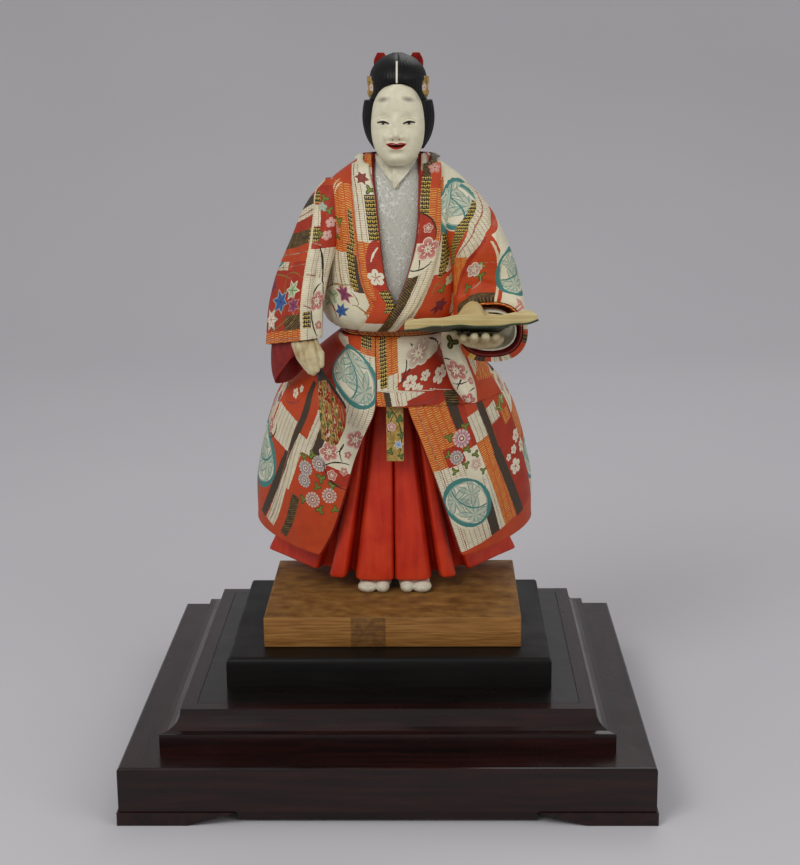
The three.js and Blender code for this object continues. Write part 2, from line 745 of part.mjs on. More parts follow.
const INNER_ROBE_OFFSET = -ROBE_WALL - 4 * GAP - UNDERCOLLAR_THICKNESS;
const INNER_ROBE_LEVELS = [WAIST + GAP, 247, 255, 270, 290, 310, 323];

// Inner robe, seen in the V of the neckline, which carries the head's peg
function makeInnerRobe() {
  const offset = INNER_ROBE_OFFSET;
  const low = offset + 2 * GAP;
  const top = NECK_TOP - 1;
  const rows = [0, 0.29, 0.5, 0.71, 0.86, 1];
  const upper = rows.map((v) => lerp(UNDER_V_LOW, top, v));
  const levels = [...INNER_ROBE_LEVELS, ...upper];
  const core = bodyStack(torsoPoint, levels, offset, 28);
  const neckRoom = bar(HEAD_X, NECK_Y, NECK_TOP - NECK_SOCKET_DEPTH, NECK_TOP, NECK_RADIUS + 2 * GAP);
  const pegRoom = bar(HEAD_X, NECK_Y, PEG_LOW - GAP, NECK_TOP, PEG_RADIUS + GAP / 2, 16);
  piece('inner_robe', cut(core, neckRoom, pegRoom), '#a9aaa6', 0.45, 0.3);
  for (const [side, sign] of [['right', -1], ['left', 1]]) {
    const edge = UNDER_V[side];
    const inner = (z) => angleAt(torsoPoint, edge(z), z);
    const outer = (z) => angleAt(torsoPoint, edge(z) + sign * UNDERCOLLAR_WIDTH, z);
    const strip = (depth) => (u, v) => {
      const z = lerp(UNDER_V_LOW, top, v);
      return torsoPoint(lerp(inner(z), outer(z), u), z, depth);
    };
    const sheet = shell(strip(low + UNDERCOLLAR_THICKNESS), strip(low), even(2), rows);
    piece(`undercollar_${side}`, sheet, '#dedcd2', 0.6);
  }
}

// Cord round the waist and the end of the sash that hangs in the skirt's opening
function makeBelt() {
  const core = INNER_ROBE_OFFSET;
  const levels = [WAIST + GAP, WAIST + GAP + BELT_HEIGHT];
  const outer = bodyStack(torsoPoint, levels, core + GAP + BELT_THICKNESS, 28);
  const inner = bodyStack(torsoPoint, [levels[0] - 1, levels[1] + 1], core + GAP, 28);
  piece('waist_cord', cut(outer, inner), '#b9a46a', 0.5);
  const low = [SASH_X - SASH_WIDTH / 2, SASH_Y, FLAP - SASH_LENGTH];
  const high = [SASH_X + SASH_WIDTH / 2, SASH_Y + SASH_THICKNESS, FLAP + SASH_TUCK];
  piece('sash_end', block(low, high), '#b79a3a', 0.45, 0.3);
}

// Sleeves and hands are tubes through rings. A ring has its middle, its two half sizes, its turn
// about the vertical, its tilt out of the level plane and how square it is.
function tubeRing({ at, half, turn, tilt, power }, grow, count) {
  const flat = [Math.cos(turn), Math.sin(turn), 0];
  const rise = [Math.sin(turn) * Math.cos(tilt), -Math.cos(turn) * Math.cos(tilt), Math.sin(tilt)];
  return Array.from({ length: count }, (_, i) => {
    const angle = (i / count) * 2 * Math.PI;
    const [c, s] = [Math.cos(angle), Math.sin(angle)];
    const p = (half[0] + grow) * Math.sign(c) * Math.abs(c) ** (2 / power);
    const q = (half[1] + grow) * Math.sign(s) * Math.abs(s) ** (2 / power);
    return new THREE.Vector3(...at.map((value, k) => value + flat[k] * p + rise[k] * q));
  });
}

function tube(rings, grow = 0, count = 20) {
  return stack(rings.map((ring) => tubeRing(ring, grow, count)));
}

const turned = (degrees, tilt, power) => ({ turn: radians(degrees), tilt: radians(tilt), power });
const RIGHT_SLEEVE = [
  { at: [-29, 9, 332], half: [5.5, 7.5], ...turned(39, 0, 2.4) },
  { at: [-31.5, 8, 327], half: [7.5, 9.5], ...turned(39, 2, 2.6) },
  { at: [-36, 5, 316], half: [9.5, 13], ...turned(39, 4, 3) },
  { at: [-41, 0, 300], half: [10.4, 15.5], ...turned(39, 6, 3.4) },
  { at: [-48.5, -4.5, 280], half: [10, 18.3], ...turned(39, 8, 3.8) },
  { at: [-52.6, -8, 262], half: [9.8, 19.6], ...turned(39, 10, 4) },
  { at: [-54.2, -10, 241], half: [9.6, 20.5], ...turned(39, 11, 4) },
];
const LEFT_SLEEVE = [
  { at: [33, 10, 332], half: [7, 9], ...turned(0, 0, 2.4) },
  { at: [39, 9, 326], half: [10.5, 12], ...turned(0, 0, 2.4) },
  { at: [44.5, 5, 315], half: [14.5, 19], ...turned(0, 2, 2.8) },
  { at: [49.5, 1, 301], half: [16.8, 23], ...turned(0, 8, 3.2) },
  { at: [53.5, -1, 284], half: [18.6, 24], ...turned(0, 25, 3.2) },
  { at: [56.5, -6, 267], half: [19.5, 22], ...turned(0, 50, 3) },
  { at: [58, -14, 254.5], half: [20.6, 19.8], ...turned(0, 74, 2.7) },
  { at: [58.5, -24.5, 249.5], half: [20.8, 18.3], ...turned(0, 94, 2.5) },
];
const SLEEVE_TAIL = [
  { at: [39.5, -13, 257], half: [3, 4], ...turned(0, 0, 2.4) },
  { at: [37, -16.5, 249], half: [5.4, 5.5], ...turned(0, 0, 2.4) },
  { at: [36, -20.5, 241], half: [5.6, 7.5], ...turned(0, 0, 2.4) },
  { at: [38.5, -23, 231], half: [6.4, 8.4], ...turned(0, 0, 2.4) },
  { at: [43, -24.5, 218], half: [6.6, 8.2], ...turned(0, 0, 2.4) },
  { at: [47, -25, 208.5], half: [3.8, 5.6], ...turned(0, 0, 2.4) },
];
const RIGHT_LINING_RIM = { at: [-54.4, -7.4, 227], half: [8.4, 19.4], ...turned(39, 36, 3.6) };

const RIGHT_HAND = [
  { at: [-52.6, -9, 262], half: [4, 4.5], ...turned(39, 10, 2.3) },
  { at: [-50.8, -13, 252], half: [4.2, 5.6], ...turned(39, 15, 2.3) },
  { at: [-48.8, -17.6, 245], half: [4.4, 6.8], ...turned(39, 20, 2.3) },
  { at: [-47.2, -21.4, 240], half: [6.2, 7.4], ...turned(20, 20, 2.5) },
  { at: [-46.2, -24.6, 235.5], half: [8, 7.6], ...turned(10, 15, 2.6) },
  { at: [-44.6, -27, 230], half: [7.6, 7.6], ...turned(5, 5, 2.6) },
  { at: [-43, -28.4, 226], half: [6, 6.4], ...turned(0, 0, 2.6) },
  { at: [-42.5, -28.8, 223], half: [3.4, 4], ...turned(0, 0, 2.4) },
];
const LEFT_HAND = [
  { at: [56, -8, 252], half: [7, 6], ...turned(0, 84, 2.2) },
  { at: [55.5, -18, 249], half: [8, 6.5], ...turned(0, 94, 2.2) },
  { at: [54, -27, 245.5], half: [11, 7.4], ...turned(0, 100, 2.3) },
  { at: [52, -37, 246.5], half: [14, 7.4], ...turned(0, 106, 2.6) },
  { at: [51.5, -47, 249.5], half: [13.5, 6.4], ...turned(0, 106, 2.6) },
  { at: [51.5, -55, 252.3], half: [12, 5.4], ...turned(0, 106, 2.6) },
  { at: [51, -60, 254], half: [8, 4], ...turned(0, 106, 2.4) },
];

// Rings of the hollow inside the left sleeve's mouth
const LEFT_HOLLOW = [
  { at: [57, -6, 254], half: [14, 11], ...turned(0, 78, 2.4) },
  { at: [58, -15, 251.5], half: [16.6, 13.6], ...turned(0, 86, 2.4) },
  { at: [58.5, -24.5, 249.5], half: [18.2, 15.7], ...turned(0, 94, 2.4) },
];

function between(ring, next, share) {
  return { ...ring, at: ring.at.map((value, k) => lerp(value, next.at[k], share)) };
}

function shrunk(rings, inset) {
  return rings.map((ring) => ({ ...ring, half: ring.half.map((value) => value - inset) }));
}

// Rings that run on past the last one, for a cutter that opens a tube's end
function pastEnd(rings) {
  return [...rings, between(rings[rings.length - 1], rings[rings.length - 2], -0.5)];
}

function makeSleeve(side, rings, hollow, rim, hand, tail) {
  const levels = [WAIST, 247, 251, 258, 264, 270, 290, 315, 322, 328, 333, 338, 343, NECK_TOP];
  const rooms = [
    bodyStack(torsoPoint, levels, 3 * GAP, 48),
    bodyStack(drapePoint, [200, 217, 228, 237, WAIST], 3 * GAP, 36),
    tube(hand, GAP, 16),
  ];
  const outer = tail ? join(tube(rings), tail) : tube(rings);
  piece(`robe_sleeve_${side}`, cut(outer, ...rooms, tube(pastEnd(hollow))), ROBE_COLOR, 0.5);
  const liner = shrunk([...hollow, ...rim], 2 * GAP);
  liner[0] = between(liner[0], liner[1], LINING_START);
  const room = shrunk(liner, LINING_WALL);
  room[0] = between(room[0], room[1], LINING_END);
  piece(`sleeve_lining_${side}`, cut(tube(liner), tube(pastEnd(room)), ...rooms), '#8f1512', 0.55);
}

const LEFT_CUFF = [
  { at: [57.2, -11, 252.2], half: [11.4, 8.4], ...turned(0, 84, 2.3) },
  { at: [57.7, -17, 249.8], half: [14, 10.6], ...turned(0, 90, 2.3) },
  { at: [58, -23.5, 248.5], half: [15, 11.4], ...turned(0, 94, 2.3) },
];

function makeSleeves() {
  makeSleeve('right', RIGHT_SLEEVE, shrunk(RIGHT_SLEEVE.slice(4), ROBE_WALL), [RIGHT_LINING_RIM], RIGHT_HAND);
  makeSleeve('left', LEFT_SLEEVE, LEFT_HOLLOW, [], LEFT_HAND, tube(SLEEVE_TAIL, 0, 14));
  const inner = shrunk(LEFT_CUFF, LINING_WALL);
  inner[0] = between(inner[0], inner[1], -LINING_START);
  piece('cuff_left', cut(tube(LEFT_CUFF, 0, 16), tube(pastEnd(inner), 0, 16)), '#c9c8bf', 0.5);
}

// Rod between two points
function rod(from, to, radius, sides = 10) {
  const [start, end] = [new THREE.Vector3(...from), new THREE.Vector3(...to)];
  const axis = end.clone().sub(start);
  const geometry = new THREE.CylinderGeometry(radius, radius, axis.length(), sides);
  const turn = new THREE.Quaternion().setFromUnitVectors(new THREE.Vector3(0, 1, 0), axis.normalize());
  return geometry.applyQuaternion(turn).translate(...start.add(end).multiplyScalar(0.5));
}

// The fan's own axes: down its length, out of its face and across it
const FAN = (() => {
  const pivot = new THREE.Vector3(...FAN_PIVOT);
  const along = new THREE.Vector3(...FAN_END).sub(pivot).normalize();
  const across = new THREE.Vector3(1, 0, 0).addScaledVector(along, -along.x).normalize();
  const out = new THREE.Vector3().crossVectors(across, along).normalize();
  return { pivot, along, across, out };
})();

function fanPoint(along, across, out) {
  return FAN.pivot.clone()
    .addScaledVector(FAN.along, along)
    .addScaledVector(FAN.across, across)
    .addScaledVector(FAN.out, out);
}

// Slat of the fan from its pivot outwards, at an angle from the fan's axis
function slat(angle, length, low) {
  const [c, s] = [Math.cos(angle), Math.sin(angle)];
  const ring = (distance, half) => [[-half, 0], [half, 0], [half, SLAT_THICKNESS], [-half, SLAT_THICKNESS]]
    .map(([side, up]) => fanPoint(distance * c - side * s, distance * s + side * c, low + up));
  return stack([
    ring(-SLAT_TAIL, SLAT_TAIL_HALF),
    ring(SLAT_NECK, SLAT_NECK_HALF),
    ring(length, SLAT_WIDTH / 2),
  ]);
}

// Outline of the folded paper: distance from the pivot, left edge and right edge
const LEAF_LEFT = curve([[14, -3.4], [26, -5.2], [40, -7.2], [46, -7.4]]);
const LEAF_RIGHT = curve([[14, 5.2], [26, 9], [32, 8.6], [38, 6.8], [46, 6.4]]);
const LEAF_END = curve([[0, 39.5], [0.5, 45], [1, 37.5]]);

// Rod on the fan's axis, from one distance along it to another
function fanRod(from, to, radius) {
  const [start, end] = [from, to].map((along) => fanPoint(along, 0, SLAT_THICKNESS / 2).toArray());
  return rod(start, end, radius);
}

function makeFan() {
  const tang = fanRod(-TANG_LENGTH, 0, TANG_RADIUS);
  const through = [-RIVET_REACH, SLAT_THICKNESS + RIVET_REACH];
  const eye = rod(...through.map((out) => fanPoint(0, 0, 2 * out).toArray()), RIVET_RADIUS + GAP / 3);
  const slats = SLAT_ANGLES.map((degrees) => slat(radians(degrees), SLAT_LENGTH, 0));
  const guard = slat(radians(GUARD_ANGLE), GUARD_LENGTH, 0);
  piece('fan_slats', cut(join(tang, guard, ...slats), eye), '#1c120d', 0.4);
  const ends = through.map((out) => fanPoint(0, 0, out).toArray());
  piece('fan_rivet', rod(...ends, RIVET_RADIUS, 8), '#b08d3c', 0.35, 0.8);
  const folds = 2 * FAN_PLEATS;
  const leaf = (low) => (u, v) => {
    const along = lerp(LEAF_START, LEAF_END(u), v);
    const zigzag = Math.round(u * folds) % 2 === 0 ? 0 : FAN_THICKNESS * lerp(0.5, 1, v);
    const across = lerp(LEAF_LEFT(along), LEAF_RIGHT(along), u);
    return fanPoint(along, across, SLAT_THICKNESS + GAP + zigzag + low);
  };
  piece('fan_leaf', shell(leaf(LEAF_THICKNESS), leaf(0), even(folds), even(4)), '#b8862d', 0.5, 0.2);
}

// Hands
function makeHands() {
  const palm = fanRod(-TANG_LENGTH - GAP, PIVOT_ROOM, TANG_RADIUS + GAP / 2);
  const slot = fanRod(-PIVOT_ROOM, FAN_PLEATS * PIVOT_ROOM, PIVOT_ROOM + 1);
  piece('hand_right', cut(tube(RIGHT_HAND, 0, 14), palm, slot), '#e2d8bd', 0.5);
  const bookRoom = onBook(block(
    [-BOOK_LENGTH, -BOOK_DEPTH, -COVER_THICKNESS - GAP],
    [BOOK_LENGTH, BOOK_DEPTH, BOOK_DEPTH],
  ));
  piece('hand_left', cut(tube(LEFT_HAND, 0, 16), bookRoom), '#e2d8bd', 0.5);
}

// The open book. Its own frame is level, with +Y to the near edge, then tilted into the hand.
function onBook(geometry) {
  return geometry.rotateZ(Math.PI).rotateX(radians(-BOOK_TILT)).translate(...BOOK_CENTRE);
}

const PAGE_RISE = curve([[-36, 5.6], [-24, 4.6], [-8, 4.8], [6, 5.6], [20, 5.6], [31, 6], [36, 4.4]]);
const PAGE_HUMP = curve([[-14, 0], [-9, 0.8], [-3, 8], [1.5, 10.5], [6, 9], [13, 2], [19, 0]]);

function makeBook() {
  const [x, y] = [BOOK_LENGTH / 2, BOOK_DEPTH / 2];
  const top = (u, v) => {
    const across = lerp(-x, x, u);
    const rise = PAGE_RISE(across) + PAGE_HUMP(across) * (1 - v) ** 1.5;
    return new THREE.Vector3(-across, lerp(-y, y, v), rise);
  };
  const bottom = (u, v) => new THREE.Vector3(lerp(x, -x, u), lerp(-y, y, v), 0);
  piece('book_pages', onBook(shell(top, bottom, even(16), even(3))), '#d8c78c', 0.7);
  const low = [-x - COVER_MARGIN, -y - COVER_MARGIN, -COVER_THICKNESS];
  const high = [x + COVER_MARGIN, y + COVER_MARGIN, 0];
  piece('book_cover', onBook(block(low, high)), '#20352a', 0.6);
}

// Head: a ring is a level, a middle y, a half width, a reach to the front and a reach to the back
function headStack(rows, grow = 0, count = 24) {
  return stack(rows.map(([z, middle, half, front, back]) => Array.from({ length: count }, (_, i) => {
    const angle = (i / count) * 2 * Math.PI;
    const reach = Math.cos(angle) > 0 ? front : back;
    return new THREE.Vector3(
      HEAD_X + Math.sin(angle) * (half + grow),
      middle - Math.cos(angle) * (reach + grow),
      z,
    );
  })));
}

// Rows of the head, with their levels measured up from a named one
function raised(base, rows) {
  return rows.map(([rise, ...rest]) => [base + rise, ...rest]);
}

const SKULL = raised(NECK_TOP, [
  [-1, 9, 7.6, 7.6, 7.6], [4, 9, 10.5, 11, 11], [10, 10, 13.2, 15, 14], [20, 11.5, 15, 16.6, 15],
  [32, 11.5, 14, 16.6, 15], [40, 11.5, 11.5, 13, 13], [46, 11.5, 7, 8, 8],
]);
const HAIR_RISE = BAND_LOW - GAP - HAIR_LOW;
const HAIR_BACK = raised(HAIR_LOW, [
  [0, HAIR_Y, 14.5, 14, 16], [0.2 * HAIR_RISE, HAIR_Y, 18, 17.4, 19],
  [0.42 * HAIR_RISE, HAIR_Y, 20, 19, 20.4], [0.64 * HAIR_RISE, HAIR_Y, 20.7, 20, 20.8],
  [0.86 * HAIR_RISE, HAIR_Y, 20.2, 20.4, 20.4], [HAIR_RISE, HAIR_Y, 19.4, 20.4, 19.8],
]);
const CROWN = raised(BAND_LOW, [
  [0, HAIR_Y, 17.2, 20.4, 17.6], [5, HAIR_Y, 17, 22.4, 17.4], [9.5, HAIR_Y, 16.6, 23.6, 17],
  [12, HAIR_Y, 16, 24, 16.6], [16, HAIR_Y, 14.6, 22.5, 15.4], [20, HAIR_Y, 12.2, 19, 12.6],
  [23.5, HAIR_Y, 8.4, 12.5, 8.6], [26, HAIR_Y, 3, 4, 3],
]);

// Mask, by height above the chin: half width, depth and the ridge of the nose
const MASK_LEVELS = [0, 2, 5, 8, 12, 15.5, 20, 26, 32, 36, 39, 41.5, 43.5, 45];
const MASK_HALF = curve([
  [0, 4.5], [2, 7.4], [5, 10.5], [10, 13.2], [16, 14.6], [22, 15], [28, 14.6],
  [34, 13.6], [38, 12], [41, 10], [43.5, 7], [45, 3.4],
]);
const MASK_DEPTH = curve([[0, 2], [3, 6.5], [8, 8.6], [16, 9.2], [26, 9], [36, 8.2], [45, 6]]);
const NOSE = curve([[12, 0], [15.5, 2.6], [20, 2.2], [27, 1], [34, 0]]);

// Outline of the mask's back, a little larger, as a room in the hair
function maskRoom() {
  const half = (rise) => MASK_HALF(rise) + GAP;
  const up = MASK_LEVELS.map((rise) => [HEAD_X + half(rise), CHIN + rise]);
  const down = MASK_LEVELS.map((rise) => [HEAD_X - half(rise), CHIN + rise]).reverse();
  const top = MASK_LEVELS[MASK_LEVELS.length - 1] + GAP;
  const cap = [[HEAD_X + half(top), CHIN + top], [HEAD_X - half(top), CHIN + top]];
  return prism([...up, ...cap, ...down], -CLEAR_OF_HEAD, MASK_BACK_Y + GAP);
}

function maskRing(rise) {
  const [half, depth] = [MASK_HALF(rise), MASK_DEPTH(rise)];
  const front = even(10).map((share) => {
    const u = lerp(-1, 1, share);
    const ridge = NOSE(rise) * Math.exp(-((u / NOSE_WIDTH) ** 2));
    const bulge = depth * Math.sqrt(1 - Math.abs(u) ** MASK_SQUARENESS);
    const y = MASK_BACK_Y - MASK_EDGE - bulge - ridge;
    return new THREE.Vector3(HEAD_X + u * half, y, CHIN + rise);
  });
  const edge = (sign) => new THREE.Vector3(HEAD_X + sign * half, MASK_BACK_Y, CHIN + rise);
  return [...front, edge(1), edge(-1)];
}

// Flat strap that hangs down the back: rows of level, y and half width
function strap(x, rows, thickness) {
  return stack(rows.map(([z, y, half]) => [
    new THREE.Vector3(x - half, y - thickness / 2, z),
    new THREE.Vector3(x, y - thickness / 2, z),
    new THREE.Vector3(x + half, y - thickness / 2, z),
    new THREE.Vector3(x + half, y + thickness / 2, z),
    new THREE.Vector3(x, y + thickness * STRAP_CROWN, z),
    new THREE.Vector3(x - half, y + thickness / 2, z),
  ]));
}

const TAIL = raised(BAND_LOW, [
  [-14, 36, 8], [-23, 38, 9], [-31, 41, 8.6], [-41, 45, 8], [-58, 48.5, 7.4], [-76, 49, 7],
  [-96, 49, 6.4], [-114, 48.6, 5],
]);

function makeHead() {
  const pegTop = NECK_LOW + PEG_IN_HEAD;
  piece('neck_peg', bar(HEAD_X, NECK_Y, PEG_LOW, pegTop, PEG_RADIUS, 16), '#b08a5a', 0.8);
  const neck = bar(HEAD_X, NECK_Y, NECK_LOW, NECK_TOP + NECK_IN_SKULL, NECK_RADIUS);
  const pegHole = bar(HEAD_X, NECK_Y, NECK_LOW - 1, pegTop + GAP, PEG_RADIUS + GAP / 2, 16);
  const faceRoom = aroundHead(MASK_BACK_Y + GAP);
  piece('head_core', cut(join(neck, headStack(SKULL)), pegHole, faceRoom), '#ddd3b4', 0.6);
  piece('mask', stack(MASK_LEVELS.map(maskRing)), '#e6dcc0', 0.45);
  const skullRoom = headStack(SKULL, GAP);
  const faceFront = maskRoom();
  piece('hair_back', cut(headStack(HAIR_BACK), skullRoom, faceFront), '#0d0c0c', 0.5);
  piece('hair_crown', cut(headStack(CROWN), skullRoom, faceFront), '#0d0c0c', 0.5);
  const out = BAND_THICKNESS + GAP;
  const bandRow = (rise) => [rise, HAIR_Y, ...BAND_REACH.map((reach) => reach + out)];
  const outer = headStack(raised(BAND_LOW, [0, BAND_WIDTH / 2, BAND_WIDTH].map(bandRow)));
  const band = cut(outer, headStack(CROWN, GAP), aroundHead(TEMPLE_Y));
  piece('hair_band', band, '#b98f2f', 0.45, 0.2);
  const tailRoom = headStack(HAIR_BACK, GAP);
  piece('hair_tail', cut(strap(HEAD_X, TAIL, TAIL_THICKNESS), tailRoom), '#0d0c0c', 0.5);
  makeRibbons();
}

// Block round the whole head, in front of a given y
function aroundHead(y) {
  return block(
    [HEAD_X - CLEAR_OF_HEAD, -CLEAR_OF_HEAD, CHIN - CLEAR_OF_HEAD],
    [HEAD_X + CLEAR_OF_HEAD, y, BAND_LOW + CLEAR_OF_HEAD],
  );
}

// Rows of the band's hanging ends and of the bow's loops: level, y behind the knot and half width
const BAND_END = raised(BAND_LOW, [
  [8, 3.5, 2.4], [-10, 6.5, 2.6], [-23, 12, 2.7], [-36, 17, 2.8], [-58, 21.6, 2.9], [-78, 22.4, 3],
]);
const LOOP = raised(BAND_LOW, [[11.4, 2, 1.8], [15, 1.4, 3.6], [21, -1, 4.2], [26.4, -3.4, 2]]);

function makeRibbons() {
  const behind = (rows) => rows.map(([z, y, half]) => [z, KNOT_Y + y, half]);
  const [wide, deep, tall] = KNOT_SIZE;
  const knotLow = BAND_LOW + KNOT_RISE;
  const knot = block(
    [HEAD_X - wide / 2, KNOT_Y, knotLow],
    [HEAD_X + wide / 2, KNOT_Y + deep, knotLow + tall],
  );
  const ends = [-1, 1].map((side) => strap(HEAD_X + side * END_SPREAD, behind(BAND_END), END_THICKNESS));
  const room = TAIL.map(([z, y, half]) => [z, y, half + GAP]);
  const tailRoom = strap(HEAD_X, room, TAIL_THICKNESS + 2 * GAP);
  piece('band_knot', cut(join(knot, ...ends), tailRoom), '#a8221a', 0.5);
  const loops = [-1, 1].map((side) => strap(HEAD_X + side * LOOP_SPREAD, behind(LOOP), LOOP_THICKNESS));
  const [from, to] = BRIDGE_DEPTH;
  const bridgeLow = LOOP[0][0];
  const bridge = block(
    [HEAD_X - LOOP_SPREAD, KNOT_Y + from, bridgeLow],
    [HEAD_X + LOOP_SPREAD, KNOT_Y + to, bridgeLow + BRIDGE_HEIGHT],
  );
  piece('ribbon_bow', cut(join(bridge, ...loops), headStack(CROWN, GAP)), '#a8221a', 0.5);
}

makeStand();
makeBlocks();
makeFeet();
makeTrousers();
makeSkirt();
makeInnerRobe();
makeRobe();
makeBelt();
makeSleeves();
makeHands();
makeFan();
makeBook();
makeHead();
export default ground;
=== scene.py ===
import math
import bmesh
import bpy
import numpy as np
from mathutils import Matrix, Vector


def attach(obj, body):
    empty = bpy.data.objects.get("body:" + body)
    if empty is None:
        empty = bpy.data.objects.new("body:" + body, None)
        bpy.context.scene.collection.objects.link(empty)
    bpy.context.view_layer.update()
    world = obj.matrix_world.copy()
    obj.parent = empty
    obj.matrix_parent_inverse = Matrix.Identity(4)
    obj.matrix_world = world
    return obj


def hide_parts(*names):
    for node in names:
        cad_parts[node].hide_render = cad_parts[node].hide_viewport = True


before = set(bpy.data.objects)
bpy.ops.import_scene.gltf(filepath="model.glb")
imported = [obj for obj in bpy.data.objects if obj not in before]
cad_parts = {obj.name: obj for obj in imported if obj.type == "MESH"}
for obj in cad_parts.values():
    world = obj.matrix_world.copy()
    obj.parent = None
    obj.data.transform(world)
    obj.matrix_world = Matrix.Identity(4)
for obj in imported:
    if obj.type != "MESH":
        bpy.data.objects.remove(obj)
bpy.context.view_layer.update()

# Tables below are in millimetres, in the frame of the solids
MM = 0.001

# Levels and sizes shared with the solids
SOLE = 88.8
PLINTH_TOP = 70.6
HEM_FRONT = 96.4
HEM_CORNER = 99.3
ROBE_HEM = 111.5
ROBE_HEM_RISE = 21
FLAP = 204.5
WAIST = 243
BLOUSE = 247.2
NECK_TOP = 346
CROSSING = 264
GAP = 0.3
ROBE_WALL = 2.6
HEAD_X = 6.6
HEAD_Y = 12
FACE_X = -0.8
MASK_BACK_Y = -5.5
# Side of the figure, as it sees itself
SIGN = {"right": -1, "left": 1}


def placed(name, data):
    """New object of the scene."""
    obj = bpy.data.objects.new(name, data)
    bpy.context.scene.collection.objects.link(obj)
    return obj


CAMERA_PLACE = (0.02604, -0.97148, 0.41508)
YAW_PITCH_ROLL = (-0.0205, 0.2333, 0.0091)
CAMERA_LENS = 70.75
SENSOR_WIDTH = 36
CAMERA_CLIP = (0.05, 30)


def make_camera():
    """Camera fitted to the straight edges of the stand, the plinth and the base block."""
    data = bpy.data.cameras.new("camera")
    data.lens = CAMERA_LENS
    data.sensor_width = SENSOR_WIDTH
    data.clip_start, data.clip_end = CAMERA_CLIP
    camera = placed("camera", data)
    cy, cp, cr = (math.cos(angle) for angle in YAW_PITCH_ROLL)
    sy, sp, sr = (math.sin(angle) for angle in YAW_PITCH_ROLL)
    flat = Vector((cy, -sy, 0))
    rise = Vector((sy * sp, cy * sp, cp))
    right = cr * flat - sr * rise
    up = sr * flat + cr * rise
    turn = Matrix((right, up, right.cross(up))).transposed().to_4x4()
    turn.translation = Vector(CAMERA_PLACE)
    camera.matrix_world = turn
    bpy.context.scene.camera = camera


make_camera()


def lamp(name, place, target, size, power):
    data = bpy.data.lights.new(name, "AREA")
    data.shape = "SQUARE"
    data.size = size
    data.energy = power
    light = placed(name, data)
    light.location = place
    light.rotation_euler = (Vector(target) - Vector(place)).to_track_quat("-Z", "Y").to_euler()


def linear(code):
    """Linear colour from a six digit code."""
    parts = [int(code[i:i + 2], 16) / 255 for i in (1, 3, 5)]
    return [c / 12.92 if c <= 0.04045 else ((c + 0.055) / 1.055) ** 2.4 for c in parts] + [1]


def curve(rows):
    """Smooth table lookup: rows of key and value, keys rising."""
    keys = np.array([row[0] for row in rows], float)
    values = np.array([row[1] for row in rows], float)
    last = len(keys) - 1

    def at(key):
        k = np.clip(np.asarray(key, float), keys[0], keys[-1])
        i = np.clip(np.searchsorted(keys, k) - 1, 0, last - 1)
        low = np.maximum(i - 1, 0)
        high = np.minimum(i + 2, last)
        step = keys[i + 1] - keys[i]
        m0 = (values[i + 1] - values[low]) / (keys[i + 1] - keys[low]) * step
        m1 = (values[high] - values[i]) / (keys[high] - keys[i]) * step
        t = (k - keys[i]) / step
        s = 1 - t
        start = values[i] * (1 + 2 * t) * s * s + m0 * t * s * s
        return start + values[i + 1] * (3 - 2 * t) * t * t - m1 * t * t * s

    return at


def smooth(value, low, high):
    t = np.clip((np.asarray(value, float) - low) / (high - low), 0, 1)
    return t * t * (3 - 2 * t)


def lerp(a, b, t):
    return a + (b - a) * t


def bell(value, centre, width):
    return np.exp(-(((np.asarray(value, float) - centre) / width) ** 2))


# Node building


